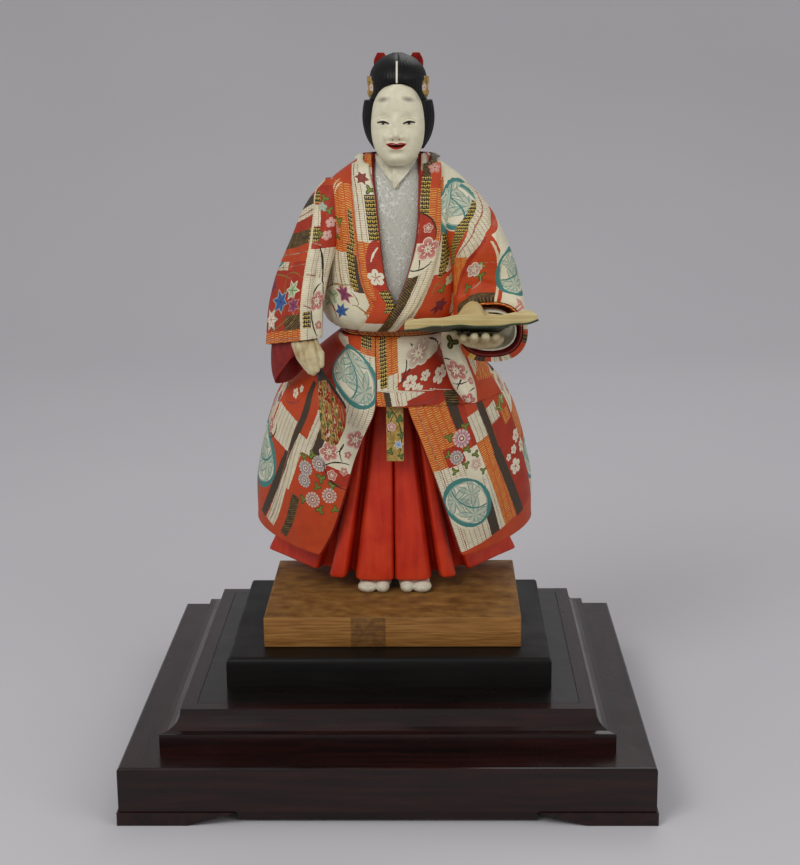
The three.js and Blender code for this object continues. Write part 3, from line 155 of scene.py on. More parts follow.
class Paint:
    """Adds nodes to a tree. A value is either a socket to link or a number to set."""

    def __init__(self, tree, made=None):
        self.tree = tree
        self.made = made

    def fill(self, node, values):
        for key, value in dict(values).items():
            socket = node.inputs[key]
            if isinstance(value, bpy.types.NodeSocket):
                self.tree.links.new(value, socket)
            else:
                socket.default_value = value

    def node(self, kind, values=(), **settings):
        node = self.tree.nodes.new(kind)
        for key, value in settings.items():
            setattr(node, key, value)
        self.fill(node, values)
        return node

    def finish(self, values):
        """Sets the shader of a material and returns the material."""
        self.fill(self.tree.nodes["Principled BSDF"], values)
        return self.made

    def math(self, operation, a, b=0.0, c=0.0):
        return self.node("ShaderNodeMath", {0: a, 1: b, 2: c}, operation=operation).outputs[0]

    def plus(self, a, b):
        return self.math("ADD", a, b)

    def minus(self, a, b):
        return self.math("SUBTRACT", a, b)

    def times(self, a, b):
        return self.math("MULTIPLY", a, b)

    def size(self, a):
        return self.math("ABSOLUTE", a)

    def vector(self, operation, a, b=(0, 0, 0), c=(0, 0, 0)):
        node = self.node("ShaderNodeVectorMath", {0: a, 1: b, 2: c}, operation=operation)
        scalar = operation in ("LENGTH", "DISTANCE", "DOT_PRODUCT")
        return node.outputs["Value" if scalar else "Vector"]

    def scaled(self, a, factor):
        node = self.node("ShaderNodeVectorMath", {0: a, "Scale": factor}, operation="SCALE")
        return node.outputs["Vector"]

    def mix(self, factor, a, b):
        node = self.node("ShaderNodeMix", {0: factor, 6: a, 7: b}, data_type="RGBA")
        return node.outputs[2]

    def axis(self, a, index):
        """One coordinate of a vector."""
        return self.vector("DOT_PRODUCT", a, [float(k == index) for k in range(3)])

    def parts(self, a, count=2):
        return [self.axis(a, index) for index in range(count)]

    def join(self, x, y, z=0.0):
        return self.node("ShaderNodeCombineXYZ", {0: x, 1: y, 2: z}).outputs[0]

    def from_point(self, x, y, at):
        """Distance from the point at on the x axis."""
        return self.vector("DISTANCE", self.join(x, y), (at, 0, 0))

    def noise(self, spot, scale, detail=2.0, output="Fac"):
        node = self.node("ShaderNodeTexNoise", {"Vector": spot, "Scale": scale, "Detail": detail})
        return node.outputs[output]

    def place(self, spot, centre, size, turn=0.0):
        """Local coordinates of a spot: the centre becomes 0 and the size becomes 1."""
        from_centre = self.vector("SUBTRACT", spot, (*centre, 0))
        cosine, sine = math.cos(turn), math.sin(turn)
        x = self.vector("DOT_PRODUCT", from_centre, (cosine / size[0], sine / size[0], 0))
        y = self.vector("DOT_PRODUCT", from_centre, (-sine / size[1], cosine / size[1], 0))
        return x, y

    def local(self, spot, centre, size, turn=0.0):
        return self.join(*self.place(spot, centre, size, turn))

    def less(self, a, b):
        return self.math("LESS_THAN", a, b)

    def both(self, a, b):
        return self.math("MINIMUM", a, b)

    def either(self, a, b):
        return self.math("MAXIMUM", a, b)

    def near(self, a, value, width):
        """One where a is within width of value."""
        return self.math("COMPARE", a, value, width)

    def stripes(self, a, period, share):
        """One on a share of each period."""
        return self.less(self.math("FRACT", self.math("DIVIDE", a, period)), share)

    def remap(self, a, low, high, start, end):
        values = {0: a, 1: low, 2: high, 3: start, 4: end}
        return self.node("ShaderNodeMapRange", values, clamp=True).outputs[0]

    def cloud(self, spot, scale, detail, start, end):
        """Soft noise from start to end."""
        return self.remap(self.noise(spot, scale, detail), 0.3, 0.7, start, end)

    def bump(self, height, depth, strength):
        values = {"Height": height, "Distance": depth * MM, "Strength": strength}
        return self.node("ShaderNodeBump", values).outputs[0]


def group(name, inputs, draw):
    """Node group with named inputs. draw returns its outputs by name."""
    vectors = {"Spot", "Flat"}
    numbers = {"Width", "Span"}
    tree = bpy.data.node_groups.new(name, "ShaderNodeTree")
    for key in inputs:
        kind = "Vector" if key in vectors else "Float" if key in numbers else "Color"
        tree.interface.new_socket(key, in_out="INPUT", socket_type=f"NodeSocket{kind}")
    tree.interface.new_socket("Colour", in_out="OUTPUT", socket_type="NodeSocketColor")
    tree.interface.new_socket("Mask", in_out="OUTPUT", socket_type="NodeSocketFloat")
    entry = tree.nodes.new("NodeGroupInput")
    leave = tree.nodes.new("NodeGroupOutput")
    colour, mask = draw(Paint(tree), *[entry.outputs[key] for key in inputs])
    tree.links.new(colour, leave.inputs["Colour"])
    if isinstance(mask, bpy.types.NodeSocket):
        tree.links.new(mask, leave.inputs["Mask"])
    return tree


def use(p, tree, values):
    return p.node("ShaderNodeGroup", values, node_tree=tree).outputs


def material(name):
    """Paint helper of a new node material."""
    made = bpy.data.materials.new(name)
    made.use_nodes = True
    return Paint(made.node_tree, made)


def uv_mm(p):
    return p.scaled(p.node("ShaderNodeUVMap", uv_map="cloth").outputs[0], 1 / MM)


def place_mm(p):
    return p.scaled(p.node("ShaderNodeTexCoord").outputs["Object"], 1 / MM)


# Painted motifs, each in a square from -1 to 1


def folded(p, spot, count):
    """Repeats a wedge round the centre: the spot within it, its distance and its angle."""
    x, y = p.parts(spot)
    distance = p.vector("LENGTH", spot)
    half = math.pi / count
    angle = p.math("WRAP", p.math("ARCTAN2", y, x), half, -half)
    along = p.times(distance, p.math("COSINE", angle))
    across = p.size(p.times(distance, p.math("SINE", angle)))
    return along, across, distance


def draw_blossom(p, spot, main, second, line):
    along, across, distance = folded(p, spot, 5)
    petal = p.from_point(along, across, 0.57)
    mask = p.either(p.less(petal, 0.43), p.less(distance, 0.5))
    colour = p.mix(p.remap(distance, 0.25, 0.8, 0.75, 0.0), main, second)
    colour = p.mix(p.near(petal, 0.37, 0.035), colour, line)
    stamen = p.both(p.less(across, 0.035), p.near(distance, 0.3, 0.17))
    stamen = p.either(stamen, p.less(p.from_point(along, across, 0.5), 0.065))
    colour = p.mix(p.either(stamen, p.near(distance, 0.12, 0.04)), colour, line)
    return colour, mask


def draw_cherry(p, spot, main, second, line):
    along, across, distance = folded(p, spot, 5)
    petal = p.from_point(along, across, 0.6)
    notch = p.from_point(along, across, 1.04)
    mask = p.both(p.either(p.less(petal, 0.36), p.less(distance, 0.38)), p.less(0.13, notch))
    colour = p.mix(p.both(p.less(across, 0.04), p.near(distance, 0.36, 0.2)), main, line)
    colour = p.mix(p.less(distance, 0.14), colour, second)
    return colour, mask


def draw_daisy(p, spot, main, second, line):
    along, across, distance = folded(p, spot, 13)
    petal = p.from_point(along, across, 0.8)
    mask = p.either(p.less(petal, 0.2), p.less(distance, 0.8))
    seam = p.both(p.less(p.times(distance, 0.19), across), p.less(0.42, distance))
    colour = p.mix(p.remap(distance, 0.3, 0.9, 1.0, 0.0), main, second)
    colour = p.mix(seam, colour, second)
    colour = p.mix(p.either(p.near(distance, 0.38, 0.05), p.less(distance, 0.14)), colour, line)
    return colour, mask


def draw_star(p, spot, main, second, line):
    along, across, distance = folded(p, spot, 6)
    edge = p.plus(p.times(along, 0.44), p.times(across, 0.9))
    mask = p.less(edge, 0.44)
    colour = p.mix(p.less(0.37, edge), main, line)
    vein = p.both(p.less(across, 0.035), p.less(distance, 0.72))
    colour = p.mix(vein, colour, second)
    return colour, mask


def draw_leaf(p, spot, main, second, line):
    x, y = p.parts(spot)
    angle = p.math("ARCTAN2", y, x)
    lobe = p.math("COSINE", p.times(angle, 3))
    reach = p.plus(0.68, p.times(lobe, 0.3))
    distance = p.vector("LENGTH", spot)
    mask = p.less(distance, reach)
    across = folded(p, spot, 3)[1]
    colour = p.mix(p.both(p.less(across, 0.05), p.less(distance, 0.75)), main, line)
    colour = p.mix(p.less(p.times(reach, 0.86), distance), colour, second)
    return colour, mask


def blades(p, spot, centre, turn, count, length):
    """Bamboo leaves fanning out from a point."""
    local = p.local(spot, centre, (length, length), turn)
    _, across, distance = folded(p, local, count)
    swell = p.math("SINE", p.times(distance, math.pi))
    body = p.less(across, p.times(swell, 0.16))
    rim = p.less(p.times(swell, 0.1), across)
    x = p.axis(local, 0)
    shown = p.both(p.less(-0.35, x), p.less(distance, 1.0))
    body = p.both(body, shown)
    return body, p.both(body, rim)


def draw_roundel(p, spot, main, second, line):
    x, y = p.parts(spot)
    distance = p.vector("LENGTH", spot)
    mask = p.less(distance, 1.0)
    angle = p.math("ARCTAN2", y, x)
    wave = p.math("SINE", p.plus(p.times(angle, 3), 0.6))
    ring = p.less(p.plus(0.84, p.times(wave, 0.05)), distance)
    colour = line
    fans = [((-0.3, 0.45), -0.9, 7, 0.8), ((0.4, 0.1), 1.9, 6, 0.75), ((-0.2, -0.5), 0.5, 7, 0.8)]
    for centre, turn, count, length in fans:
        body, rim = blades(p, spot, centre, turn, count, length)
        colour = p.mix(p.times(body, 0.55), colour, second)
        colour = p.mix(p.times(rim, 0.6), colour, main)
    sweep = p.vector("DISTANCE", spot, (0.75, 0.3, 0))
    colour = p.mix(p.both(p.near(sweep, 0.95, 0.03), p.less(distance, 0.8)), colour, main)
    colour = p.mix(ring, colour, main)
    colour = p.mix(p.near(distance, 0.8, 0.025), colour, second)
    return colour, mask


def draw_arc(p, spot, main, width, span):
    x, y = p.parts(spot)
    angle = p.size(p.math("DIVIDE", p.math("ARCTAN2", y, x), span))
    taper = p.times(width, p.remap(angle, 0.0, 1.0, 1.0, 0.45))
    off = p.size(p.minus(p.vector("LENGTH", spot), 1.0))
    return main, p.both(p.less(off, taper), p.less(angle, 1.0))


MOTIF_INPUTS = ("Spot", "Main", "Second", "Line")
MOTIFS = {
    name: group(name, MOTIF_INPUTS, draw)
    for name, draw in [
        ("blossom", draw_blossom), ("cherry", draw_cherry), ("daisy", draw_daisy),
        ("star", draw_star), ("leaf", draw_leaf), ("roundel", draw_roundel),
    ]
}
ARC = group("arc", ("Spot", "Main", "Width", "Span"), draw_arc)


# Woven grounds, in millimetres of cloth

ORANGE = linear("#c84a18")
ORANGE_LIGHT = linear("#cf5518")
VERMILION = linear("#b93416")
CREAM = linear("#e3d9b3")
CREAM_LINE = linear("#9c895c")
THREAD = linear("#8f4a34")
BONE = linear("#e9e1c6")
GOLD_THREAD = linear("#cfa64c")
PALE_GOLD = linear("#d9c98b")
BRIGHT_GOLD = linear("#e0c05c")
INK = linear("#1e1712")
DEEP_INK = linear("#100d09")
NIGHT = linear("#2a2730")
BROWN = linear("#35231a")
OLD_GOLD = linear("#8d7434")
BRICK = linear("#9c4a35")
TEAL = linear("#43857f")
SAGE = linear("#9fb3a0")
ROSE = linear("#cf8a80")
WINE = linear("#9c3b35")
LEAF = linear("#5d6a1f")
LEAF_DARK = linear("#33401c")
MINT = linear("#b9cda0")
BLUE = linear("#3f68a4")
MAUVE = linear("#8a4a6a")
PLUM = linear("#6f2446")


def ground_plain(p, spot, flat, base=ORANGE, shade=VERMILION):
    u, v = p.parts(spot)
    twill = p.stripes(p.plus(u, p.times(v, 0.8)), 0.9, 0.5)
    patchy = p.remap(p.noise(flat, 0.12, 3), 0.35, 0.7, 0.0, 0.55)
    colour = p.mix(patchy, base, shade)
    return p.mix(p.times(twill, 0.18), colour, shade)


def ground_red(p, spot, flat):
    return ground_plain(p, spot, flat, VERMILION, linear("#8f2412"))


def ground_ticks(p, spot, flat):
    u, v = p.parts(spot)
    column = p.math("FLOOR", p.math("DIVIDE", u, 4.6))
    row = p.plus(v, p.times(column, 0.62))
    dash = p.both(p.stripes(row, 1.3, 0.32), p.stripes(u, 4.6, 0.86))
    faint = p.remap(p.noise(flat, 0.3, 2), 0.3, 0.6, 0.35, 1.0)
    ground = ground_plain(p, spot, flat, ORANGE_LIGHT, ORANGE)
    return p.mix(p.times(dash, faint), ground, BRIGHT_GOLD)


def ground_lined(p, spot, flat):
    u, v = p.parts(spot)
    faint = p.remap(p.noise(flat, 0.25, 2), 0.35, 0.65, 0.2, 0.75)
    rows = p.times(p.stripes(v, 1.3, 0.3), faint)
    colour = p.mix(p.remap(p.noise(flat, 0.09, 2), 0.4, 0.7, 0.0, 0.5), BONE, CREAM)
    colour = p.mix(rows, colour, CREAM_LINE)
    threads = p.times(p.stripes(u, 3.1, 0.12), 0.7)
    return p.mix(threads, colour, THREAD)


def ground_check(p, spot, flat):
    u, v = p.parts(spot)
    rising = p.stripes(p.plus(v, u), 2.3, 0.42)
    falling = p.stripes(p.minus(v, u), 2.3, 0.58)
    dark = p.size(p.minus(rising, falling))
    return p.mix(p.either(dark, p.stripes(v, 2.3, 0.3)), BRIGHT_GOLD, DEEP_INK)


def ground_hatch(p, spot, flat):
    u, v = p.parts(spot)
    lines = p.stripes(p.plus(v, p.times(u, 0.7)), 1.45, 0.42)
    faint = p.remap(p.noise(flat, 0.35, 2), 0.35, 0.6, 0.15, 0.95)
    return p.mix(p.times(lines, faint), BROWN, OLD_GOLD)


def ground_night(p, spot, flat):
    u, v = p.parts(spot)
    lines = p.stripes(p.minus(v, p.times(u, 0.6)), 1.2, 0.4)
    colour = p.mix(p.remap(p.noise(flat, 0.15, 2), 0.35, 0.65, 0.0, 1.0), NIGHT, BROWN)
    return p.mix(p.times(lines, 0.3), colour, OLD_GOLD)


def ground_white(p, spot, flat):
    return p.mix(p.remap(p.noise(flat, 0.2, 3), 0.4, 0.7, 0.0, 0.7), BONE, CREAM)


def ground_edge(p, spot, flat):
    v = p.axis(spot, 1)
    return p.mix(p.times(p.stripes(v, 1.3, 0.45), 0.6), BONE, GOLD_THREAD)


def ground_brick(p, spot, flat):
    return p.mix(p.remap(p.noise(flat, 0.5, 2), 0.4, 0.7, 0.0, 0.5), BRICK, CREAM)


GROUNDS = {
    "plain": ground_plain, "red": ground_red, "ticks": ground_ticks, "lined": ground_lined,
    "check": ground_check, "hatch": ground_hatch, "night": ground_night, "white": ground_white,
    "edge": ground_edge, "brick": ground_brick,
}


# Entries of a pattern: a ground in a box, along a strip or in a disc, a motif, or a brush stroke
def box(style, u0, v0, u1, v1):
    return "box", style, ((u0 + u1) / 2, (v0 + v1) / 2), ((u1 - u0) / 2, (v1 - v0) / 2), 0.0


def strip(style, u0, v0, u1, v1, width):
    length = math.hypot(u1 - u0, v1 - v0)
    turn = math.atan2(u0 - u1, v1 - v0)
    return "box", style, ((u0 + u1) / 2, (v0 + v1) / 2), (width / 2, length / 2), turn


def disc(style, u, v, wide, high, turn=0.0):
    return "disc", style, (u, v), (wide, high), turn


def motif(kind, u, v, size, colours, turn=0.0, high=None):
    return "motif", kind, (u, v), (size, size if high is None else high), turn, colours


def stroke(u0, v0, u1, v1, bend, width, colour):
    """Brush stroke: an arc from one end to the other, bulging by bend."""
    chord = math.hypot(u1 - u0, v1 - v0)
    radius = (chord * chord / 4 + bend * bend) / (2 * abs(bend))
    side = math.copysign(1, bend)
    normal = ((v0 - v1) / chord * side, (u1 - u0) / chord * side)
    reach = radius - abs(bend)
    centre = ((u0 + u1) / 2 - normal[0] * reach, (v0 + v1) / 2 - normal[1] * reach)
    span = math.asin(min(chord / 2 / radius, 1))
    if abs(bend) > radius:
        span = math.pi - span
    turn = math.atan2(normal[1], normal[0])
    return "stroke", colour, centre, (radius, radius), turn, (width, span)


def apply_pattern(p, spot, flat, colour, entries):
    """Lays the entries over a colour. Flat is the spot before any wrapping or trembling."""
    grounds = {}
    for kind, what, centre, size, turn, *more in entries:
        x, y = p.place(spot, centre, size, turn)
        if kind == "motif":
            main, second, line = more[0]
            values = {"Spot": p.join(x, y), "Main": main, "Second": second, "Line": line}
            paint, mask = use(p, MOTIFS[what], values)
        elif kind == "stroke":
            width, span = more[0]
            share = width / 2 / size[0]
            values = {"Spot": p.join(x, y), "Main": what, "Width": share, "Span": span}
            paint, mask = use(p, ARC, values)
        else:
            if what not in grounds:
                grounds[what] = GROUNDS[what](p, spot, flat)
            paint = grounds[what]
            if kind == "box":
                reach = p.either(p.size(x), p.size(y))
            else:
                reach = p.vector("LENGTH", p.join(x, y))
            mask = p.less(reach, 1.0)
        colour = p.mix(mask, colour, paint)
    return colour


PLUM_FLOWER = (ROSE, WINE, BONE)
SMALL_PLUM = (linear("#c9776c"), WINE, BONE)
WHITE_CHERRY = (BONE, BRICK, ROSE)
PALE_DAISY = (linear("#d9c3b4"), linear("#a8584e"), BONE)
GREY_DAISY = (linear("#c3c0b4"), linear("#8f6f74"), BONE)
GREEN_LEAF = (LEAF, LEAF_DARK, linear("#9aa04a"))
TEAL_ROUND = (TEAL, SAGE, BONE)
GREY_PEONY = (linear("#c9b3a6"), linear("#a06a66"), BONE)


def green_leaf(u, v, size, turn):
    return motif("leaf", u, v, size, GREEN_LEAF, turn)


def white_cherry(u, v, size, turn):
    return motif("cherry", u, v, size, WHITE_CHERRY, turn)


def small_plum(u, v, size, turn):
    return motif("blossom", u, v, size, SMALL_PLUM, turn)


TILE = (64.0, 98.0)
REPEAT = [
    box("plain", 0, 0, 64, 98),
    box("ticks", 0, 40, 22, 98),
    box("lined", 0, 0, 22, 34),
    strip("night", 25.5, 0, 25.5, 98, 6),
    box("lined", 32, 52, 44, 98),
    box("check", 29, 0, 33, 44),
    box("red", 33, 4, 60, 50),
    box("hatch", 56, 50, 61, 98),
    box("white", 2, 60, 22, 84),
    strip("brick", 5, 0, 5, 34, 0.7),
    strip("brick", 38, 52, 38, 98, 0.7),
    disc("white", 12, 20, 12, 14),
    motif("roundel", 12, 20, 12, TEAL_ROUND, 0.4, 14),
    white_cherry(42, 34, 5, 0.3),
    white_cherry(52, 25, 4, 1.0),
    white_cherry(40, 18, 3.4, 0.7),
    stroke(5, 62, 19, 82, 4, 1.0, INK),
    motif("blossom", 8, 76, 5, PLUM_FLOWER, 0.5),
    small_plum(17, 66, 4, 0.2),
    green_leaf(45, 72, 3.6, 0.4),
    green_leaf(53, 80, 3.6, 2.0),
    motif("daisy", 50, 72, 5, PALE_DAISY),
    motif("daisy", 43, 82, 4.6, GREY_DAISY, 0.1),
    motif("star", 35, 90, 5, (PLUM, ROSE, BONE), 0.3),
]


def draw_repeat(p, spot, flat):
    wrapped = p.vector("WRAP", spot, (*TILE, 1), (0, 0, -1))
    return apply_pattern(p, wrapped, flat, ORANGE, REPEAT), None


REPEAT_GROUP = group("brocade_repeat", ("Spot", "Flat"), draw_repeat)


def brocade(name, entries, shift=(0, 0)):
    """Painted brocade: the cloth's own repeat, then the blocks and flowers of one garment."""
    p = material(name)
    flat = uv_mm(p)
    tremble = p.vector("SUBTRACT", p.noise(flat, 0.45, 2, "Color"), (0.5, 0.5, 0.5))
    spot = p.vector("ADD", flat, p.scaled(tremble, 0.9))
    moved = p.vector("ADD", spot, (*shift, 0))
    colour = use(p, REPEAT_GROUP, {"Spot": moved, "Flat": flat})[0]
    colour = apply_pattern(p, spot, flat, colour, entries)
    dust = p.remap(p.noise(flat, 0.07, 4), 0.35, 0.75, 0.0, 0.16)
    colour = p.mix(dust, colour, linear("#5a3a20"))
    _, v = p.parts(flat)
    weave = p.times(p.math("SINE", p.times(v, 4.8)), 0.35)
    height = p.plus(weave, p.noise(flat, 1.1, 4))
    return p.finish({
        "Base Color": colour,
        "Roughness": p.cloud(flat, 0.8, 3, 0.42, 0.66),
        "Normal": p.bump(height, 0.16, 0.6),
        "Specular IOR Level": 0.35,
    })


# The pattern of each garment piece, read off the photograph in millimetres of cloth

SKIRT_LEFT = [
    box("plain", -17, -12, 66, 160),
    box("red", 46.5, 2, 66, 67),
    box("ticks", -17, 117, -12.5, 129),
    box("night", -12.5, 116, -9, 129),
    box("lined", -9, 116, 12, 134),
    box("ticks", 0, 133, 13, 158),
    box("check", 2, 127, 6, 158),
    box("white", 12.5, 127, 48, 153),
    box("red", 14, 99, 46, 131.5),
    box("red", 0, 106, 15, 118),
    box("ticks", 0, 57, 22.6, 107),
    box("hatch", 22.4, 93, 30.5, 112),
    box("night", 23, 76, 29, 98),
    box("red", 28.8, 60, 33, 92),
    box("lined", 0, 2, 34, 57),
    box("white", 20, 42, 33, 62),
    box("red", 10, 56, 22, 68),
    box("lined", 32, 62.5, 41.5, 80),
    strip("ticks", 36.5, 62.5, 39, 2, 10),
    strip("night", 43, 84, 43.6, 48, 5),
    strip("night", 43.6, 50, 48.2, 1, 6.4),
    box("night", 22.8, 2, 29.4, 26),
    box("lined", 46, 66, 54.5, 77),
    box("ticks", 56.5, 59, 64, 67),
    strip("brick", 4.6, 2, 4.8, 99, 0.6),
    strip("brick", 18.6, 2, 18.6, 16, 0.6),
    strip("brick", -4.8, 117, -4.8, 128, 0.6),
    disc("white", 14, 31, 13.6, 17.5),
    motif("roundel", 14.3, 31, 14.2, TEAL_ROUND, 0.5, 17.5),
    stroke(11, 125, 20, 146.5, -5, 0.9, INK),
    stroke(17, 140, 13, 126, 2, 0.8, INK),
    stroke(20, 145, 45, 130, 3, 0.9, INK),
    motif("blossom", 24.5, 138, 8.4, (linear("#cfc0aa"), linear("#9c6a5e"), BONE), 0.2),
    stroke(0, 117, 24, 113, -3, 1.0, WINE),
    white_cherry(19, 124, 4.6, 0.4),
    white_cherry(28, 123.5, 3.2, 1.0),
    white_cherry(23, 118, 3.6, 0.1),
    white_cherry(37, 119, 4.8, 0.8),
    white_cherry(31, 112, 3.2, 0.5),
    green_leaf(17, 74, 3.4, 0.4),
    green_leaf(29, 75.5, 3.4, 2.4),
    green_leaf(13, 64, 3.2, 1.4),
    green_leaf(25, 62.5, 3.2, 0.9),
    motif("daisy", 24, 70, 5.6, (linear("#d9c0bc"), linear("#a8586a"), BONE)),
    motif("daisy", 17, 60.5, 4.4, GREY_DAISY, 0.1),
    green_leaf(13, 53, 2.9, 1.9),
    green_leaf(21, 54, 2.9, 0.3),
    green_leaf(29, 57, 2.9, 0.8),
    green_leaf(30, 45, 2.6, 2.2),
    motif("blossom", 27, 51, 4.4, (linear("#dcc3ae"), linear("#b06a62"), BONE), 0.6),
    white_cherry(51, 39.5, 2.4, 0.4),
    white_cherry(54.5, 31, 5.2, 0.2),
    white_cherry(57, 41, 3.0, 0.9),
    white_cherry(63, 46.5, 4.4, 0.5),
    white_cherry(66.5, 37, 4.4, 1.0),
    motif("leaf", 57, 71, 4.2, (LEAF, linear("#8fa04a"), PALE_GOLD), 0.8),
    motif("leaf", 62, 73, 3.6, (linear("#7d9a5c"), LEAF, PALE_GOLD), 2.2),
]

SKIRT_RIGHT = [
    box("plain", -3, -12, 64, 145),
    box("lined", -3, 86, 24, 131),
    box("ticks", -3, 130, 9, 143),
    box("check", 2, 134, 8.5, 143),
    box("white", 18, 118, 28, 136),
    # Painted shadow under the fan and the sleeve, as a dark red block beside the roundel
    box("red", 24, 100, 48, 128),
    disc("white", 14, 114.5, 13, 16.5),
    motif("roundel", 13.6, 114.5, 14.6, TEAL_ROUND, -0.5, 18),
    disc("red", 7.5, 58, 14, 10.5),
    box("white", -3, 57.5, 23, 86),
    box("night", 22, 57, 27.6, 82),
    box("lined", 27.6, 57, 33.6, 86),
    strip("plain", 35.6, 62, 36.2, 94, 5.6),
    strip("lined", 36.8, 66, 43.2, -2, 8.6),
    strip("night", 40.8, 98, 40.8, 67, 4.4),
    strip("night", 40.8, 70, 44.6, 41, 4.4),
    strip("night", 44.4, 43, 51.6, -2, 5.6),
    box("plain", 43.2, 70, 64, 94),
    box("lined", 43.4, 50, 64, 71),
    disc("white", 68.5, 30, 18, 19),
    motif("roundel", 69, 30, 19.5, TEAL_ROUND, 0.9),
    strip("hatch", 29.6, 29, 29.4, -2, 6),
    strip("plain", 35.6, 29, 36.6, -2, 5),
    strip("brick", 39.4, 60, 43.6, -2, 0.5),
    strip("brick", 42.4, 52, 46.2, -2, 0.5),
    green_leaf(9, 46.5, 3.6, 0.4),
    green_leaf(17, 48, 3.8, 2.4),
    green_leaf(3, 33, 3.2, 1.2),
    green_leaf(26, 59, 3.6, 0.9),
    green_leaf(31, 55, 3.2, 0.2),
    green_leaf(12, 29, 3.6, 1.7),
    green_leaf(24, 30, 3.4, 0.6),
    green_leaf(18, 42, 3.0, 2.9),
    motif("daisy", 20.5, 56, 4.8, GREY_DAISY),
    motif("daisy", 28, 49, 4.6, GREY_DAISY, 0.2),
    motif("daisy", 27, 41.5, 4.2, GREY_DAISY, 0.1),
    motif("daisy", 9, 40, 4.8, PALE_DAISY),
    motif("daisy", 18.3, 33, 4.8, PALE_DAISY, 0.15),
    stroke(10, 74, 7, 63.5, 2, 0.9, INK),
    stroke(2, 63, 17.5, 56, 2, 1.0, INK),
    stroke(-1, 48, 18, 58.5, -4.5, 0.9, INK),
    stroke(10, 74, 12.5, 67, -1, 0.9, INK),
    motif("blossom", 4, 79, 6.4, PLUM_FLOWER, 0.3),
    motif("blossom", 17, 65.5, 6.4, PLUM_FLOWER, 0.9),
    small_plum(5, 68.5, 2.6, 0.3),
    small_plum(4.4, 58, 2.8, 0.7),
    small_plum(11, 52.8, 3.4, 0.1),
    stroke(48, 83, 60, 75, -2, 1.1, WINE),
    white_cherry(53.5, 83, 3.0, 0.2),
    white_cherry(50, 88, 2.2, 0.8),
    stroke(60, 58, 63, 46, -3, 1.0, INK),
    small_plum(66, 53, 4.6, 0.4),
]

BODY_RIGHT = [
    box("ticks", 10, -9, 30, 32),
    box("plain", 10, 30, 32, 56),
    box("lined", 20.5, -31, 48, -9),
    box("white", 10, -62, 50, -30.5),
    strip("lined", 11.6, -5, 11.4, 42, 2.6),
    strip("ticks", 13, -44, 13, -4, 3.2),
    strip("check", 15.6, 16, 16, -4, 2.4),
    strip("check", 17.6, -4, 19.4, -29, 4.2),
    strip("brick", 27, -9, 27.6, -30, 0.8),
    strip("brick", 34.5, -9, 36.5, -31, 0.8),
    stroke(19, 30, 25, 21.5, 0.6, 0.7, BONE),
    stroke(21, 31, 26, 23.5, 0.6, 0.7, BONE),
    green_leaf(23.5, 8, 3.2, 0.4),
    green_leaf(26.5, -1, 2.6, 1.4),
    motif("cherry", 26, 2.4, 2.4, (ROSE, BRICK, BONE), 0.3),
    stroke(20, -27.5, 44, -33, 1.5, 0.8, OLD_GOLD),
    stroke(11, -47, 25, -39.5, 2.6, 0.8, OLD_GOLD),
    stroke(22, -39.5, 23, -31, 1.5, 0.7, OLD_GOLD),
    stroke(30, -51, 47, -38, 1.6, 1.0, WINE),
    motif("leaf", 38, -36, 4.6, (MINT, linear("#8fb08a"), LEAF), 0.5),
    motif("leaf", 43, -40, 3.4, (MINT, linear("#8fb08a"), LEAF), 1.5),
    motif("star", 28.4, -33, 6.4, (MAUVE, PLUM, ROSE), 0.2),
    motif("star", 30.4, -43.5, 7.0, (BLUE, linear("#2b3f78"), SAGE), 0.5, 5.0),
]

BODY_LEFT = [
    box("white", 8, -22, 40, 56),
    box("plain", 12.4, -48, 40, -20),
    strip("ticks", 12.6, -3, 12, 34, 3.0),
    strip("lined", 13.3, -46, 13.6, -3, 3.0),
    strip("plain", 15.8, -46, 16.4, -22, 2.6),
    strip("check", 17, 5, 21, -21, 6.0),
    motif("roundel", 22, 16, 13, TEAL_ROUND, 0.2, 15),
    strip("lined", 30, -8, 23, -20, 3.0),
    stroke(19, -26, 27, -33, 2, 0.8, OLD_GOLD),
    stroke(22, -22, 19, -33, -2, 0.8, OLD_GOLD),
    green_leaf(24, -30, 3.0, 1.0),
    motif("cherry", 28, -25, 3.8, (MINT, BRICK, BONE), 0.3),
    motif("star", 27, -39.5, 6.0, (linear("#6f1f1c"), PLUM, BRICK), 0.3),
    strip("lined", 35, -34, 39, -46, 3.0),
]

COLLAR_RIGHT = [
    box("white", -1, -2, 14, 14),
    box("plain", -1, 11, 14, 46),
    box("lined", 5.4, 60, 14, 130),
    box("white", -1, 84, 6, 130),
    strip("ticks", 8, 61, 13, 28, 8),
    box("check", -1, 62, 5.4, 88),
    disc("red", 2.5, 47, 6.6, 15),
    strip("check", 3, 33, 1, 19, 6),
    strip("brick", 9.5, 62, 9, 128, 0.6),
    strip("brick", 13, 20, 12.4, 128, 0.7),
    stroke(1, 58, 6, 50, 0.6, 1.4, BONE),
    motif("cherry", 4.6, 41, 5.2, (BONE, ROSE, BRICK), 0.3),
    green_leaf(1.6, 91, 3.4, 1.2),
    motif("star", 4.6, 98, 5.6, (linear("#7d3222"), BRICK, BONE), 0.25),
]

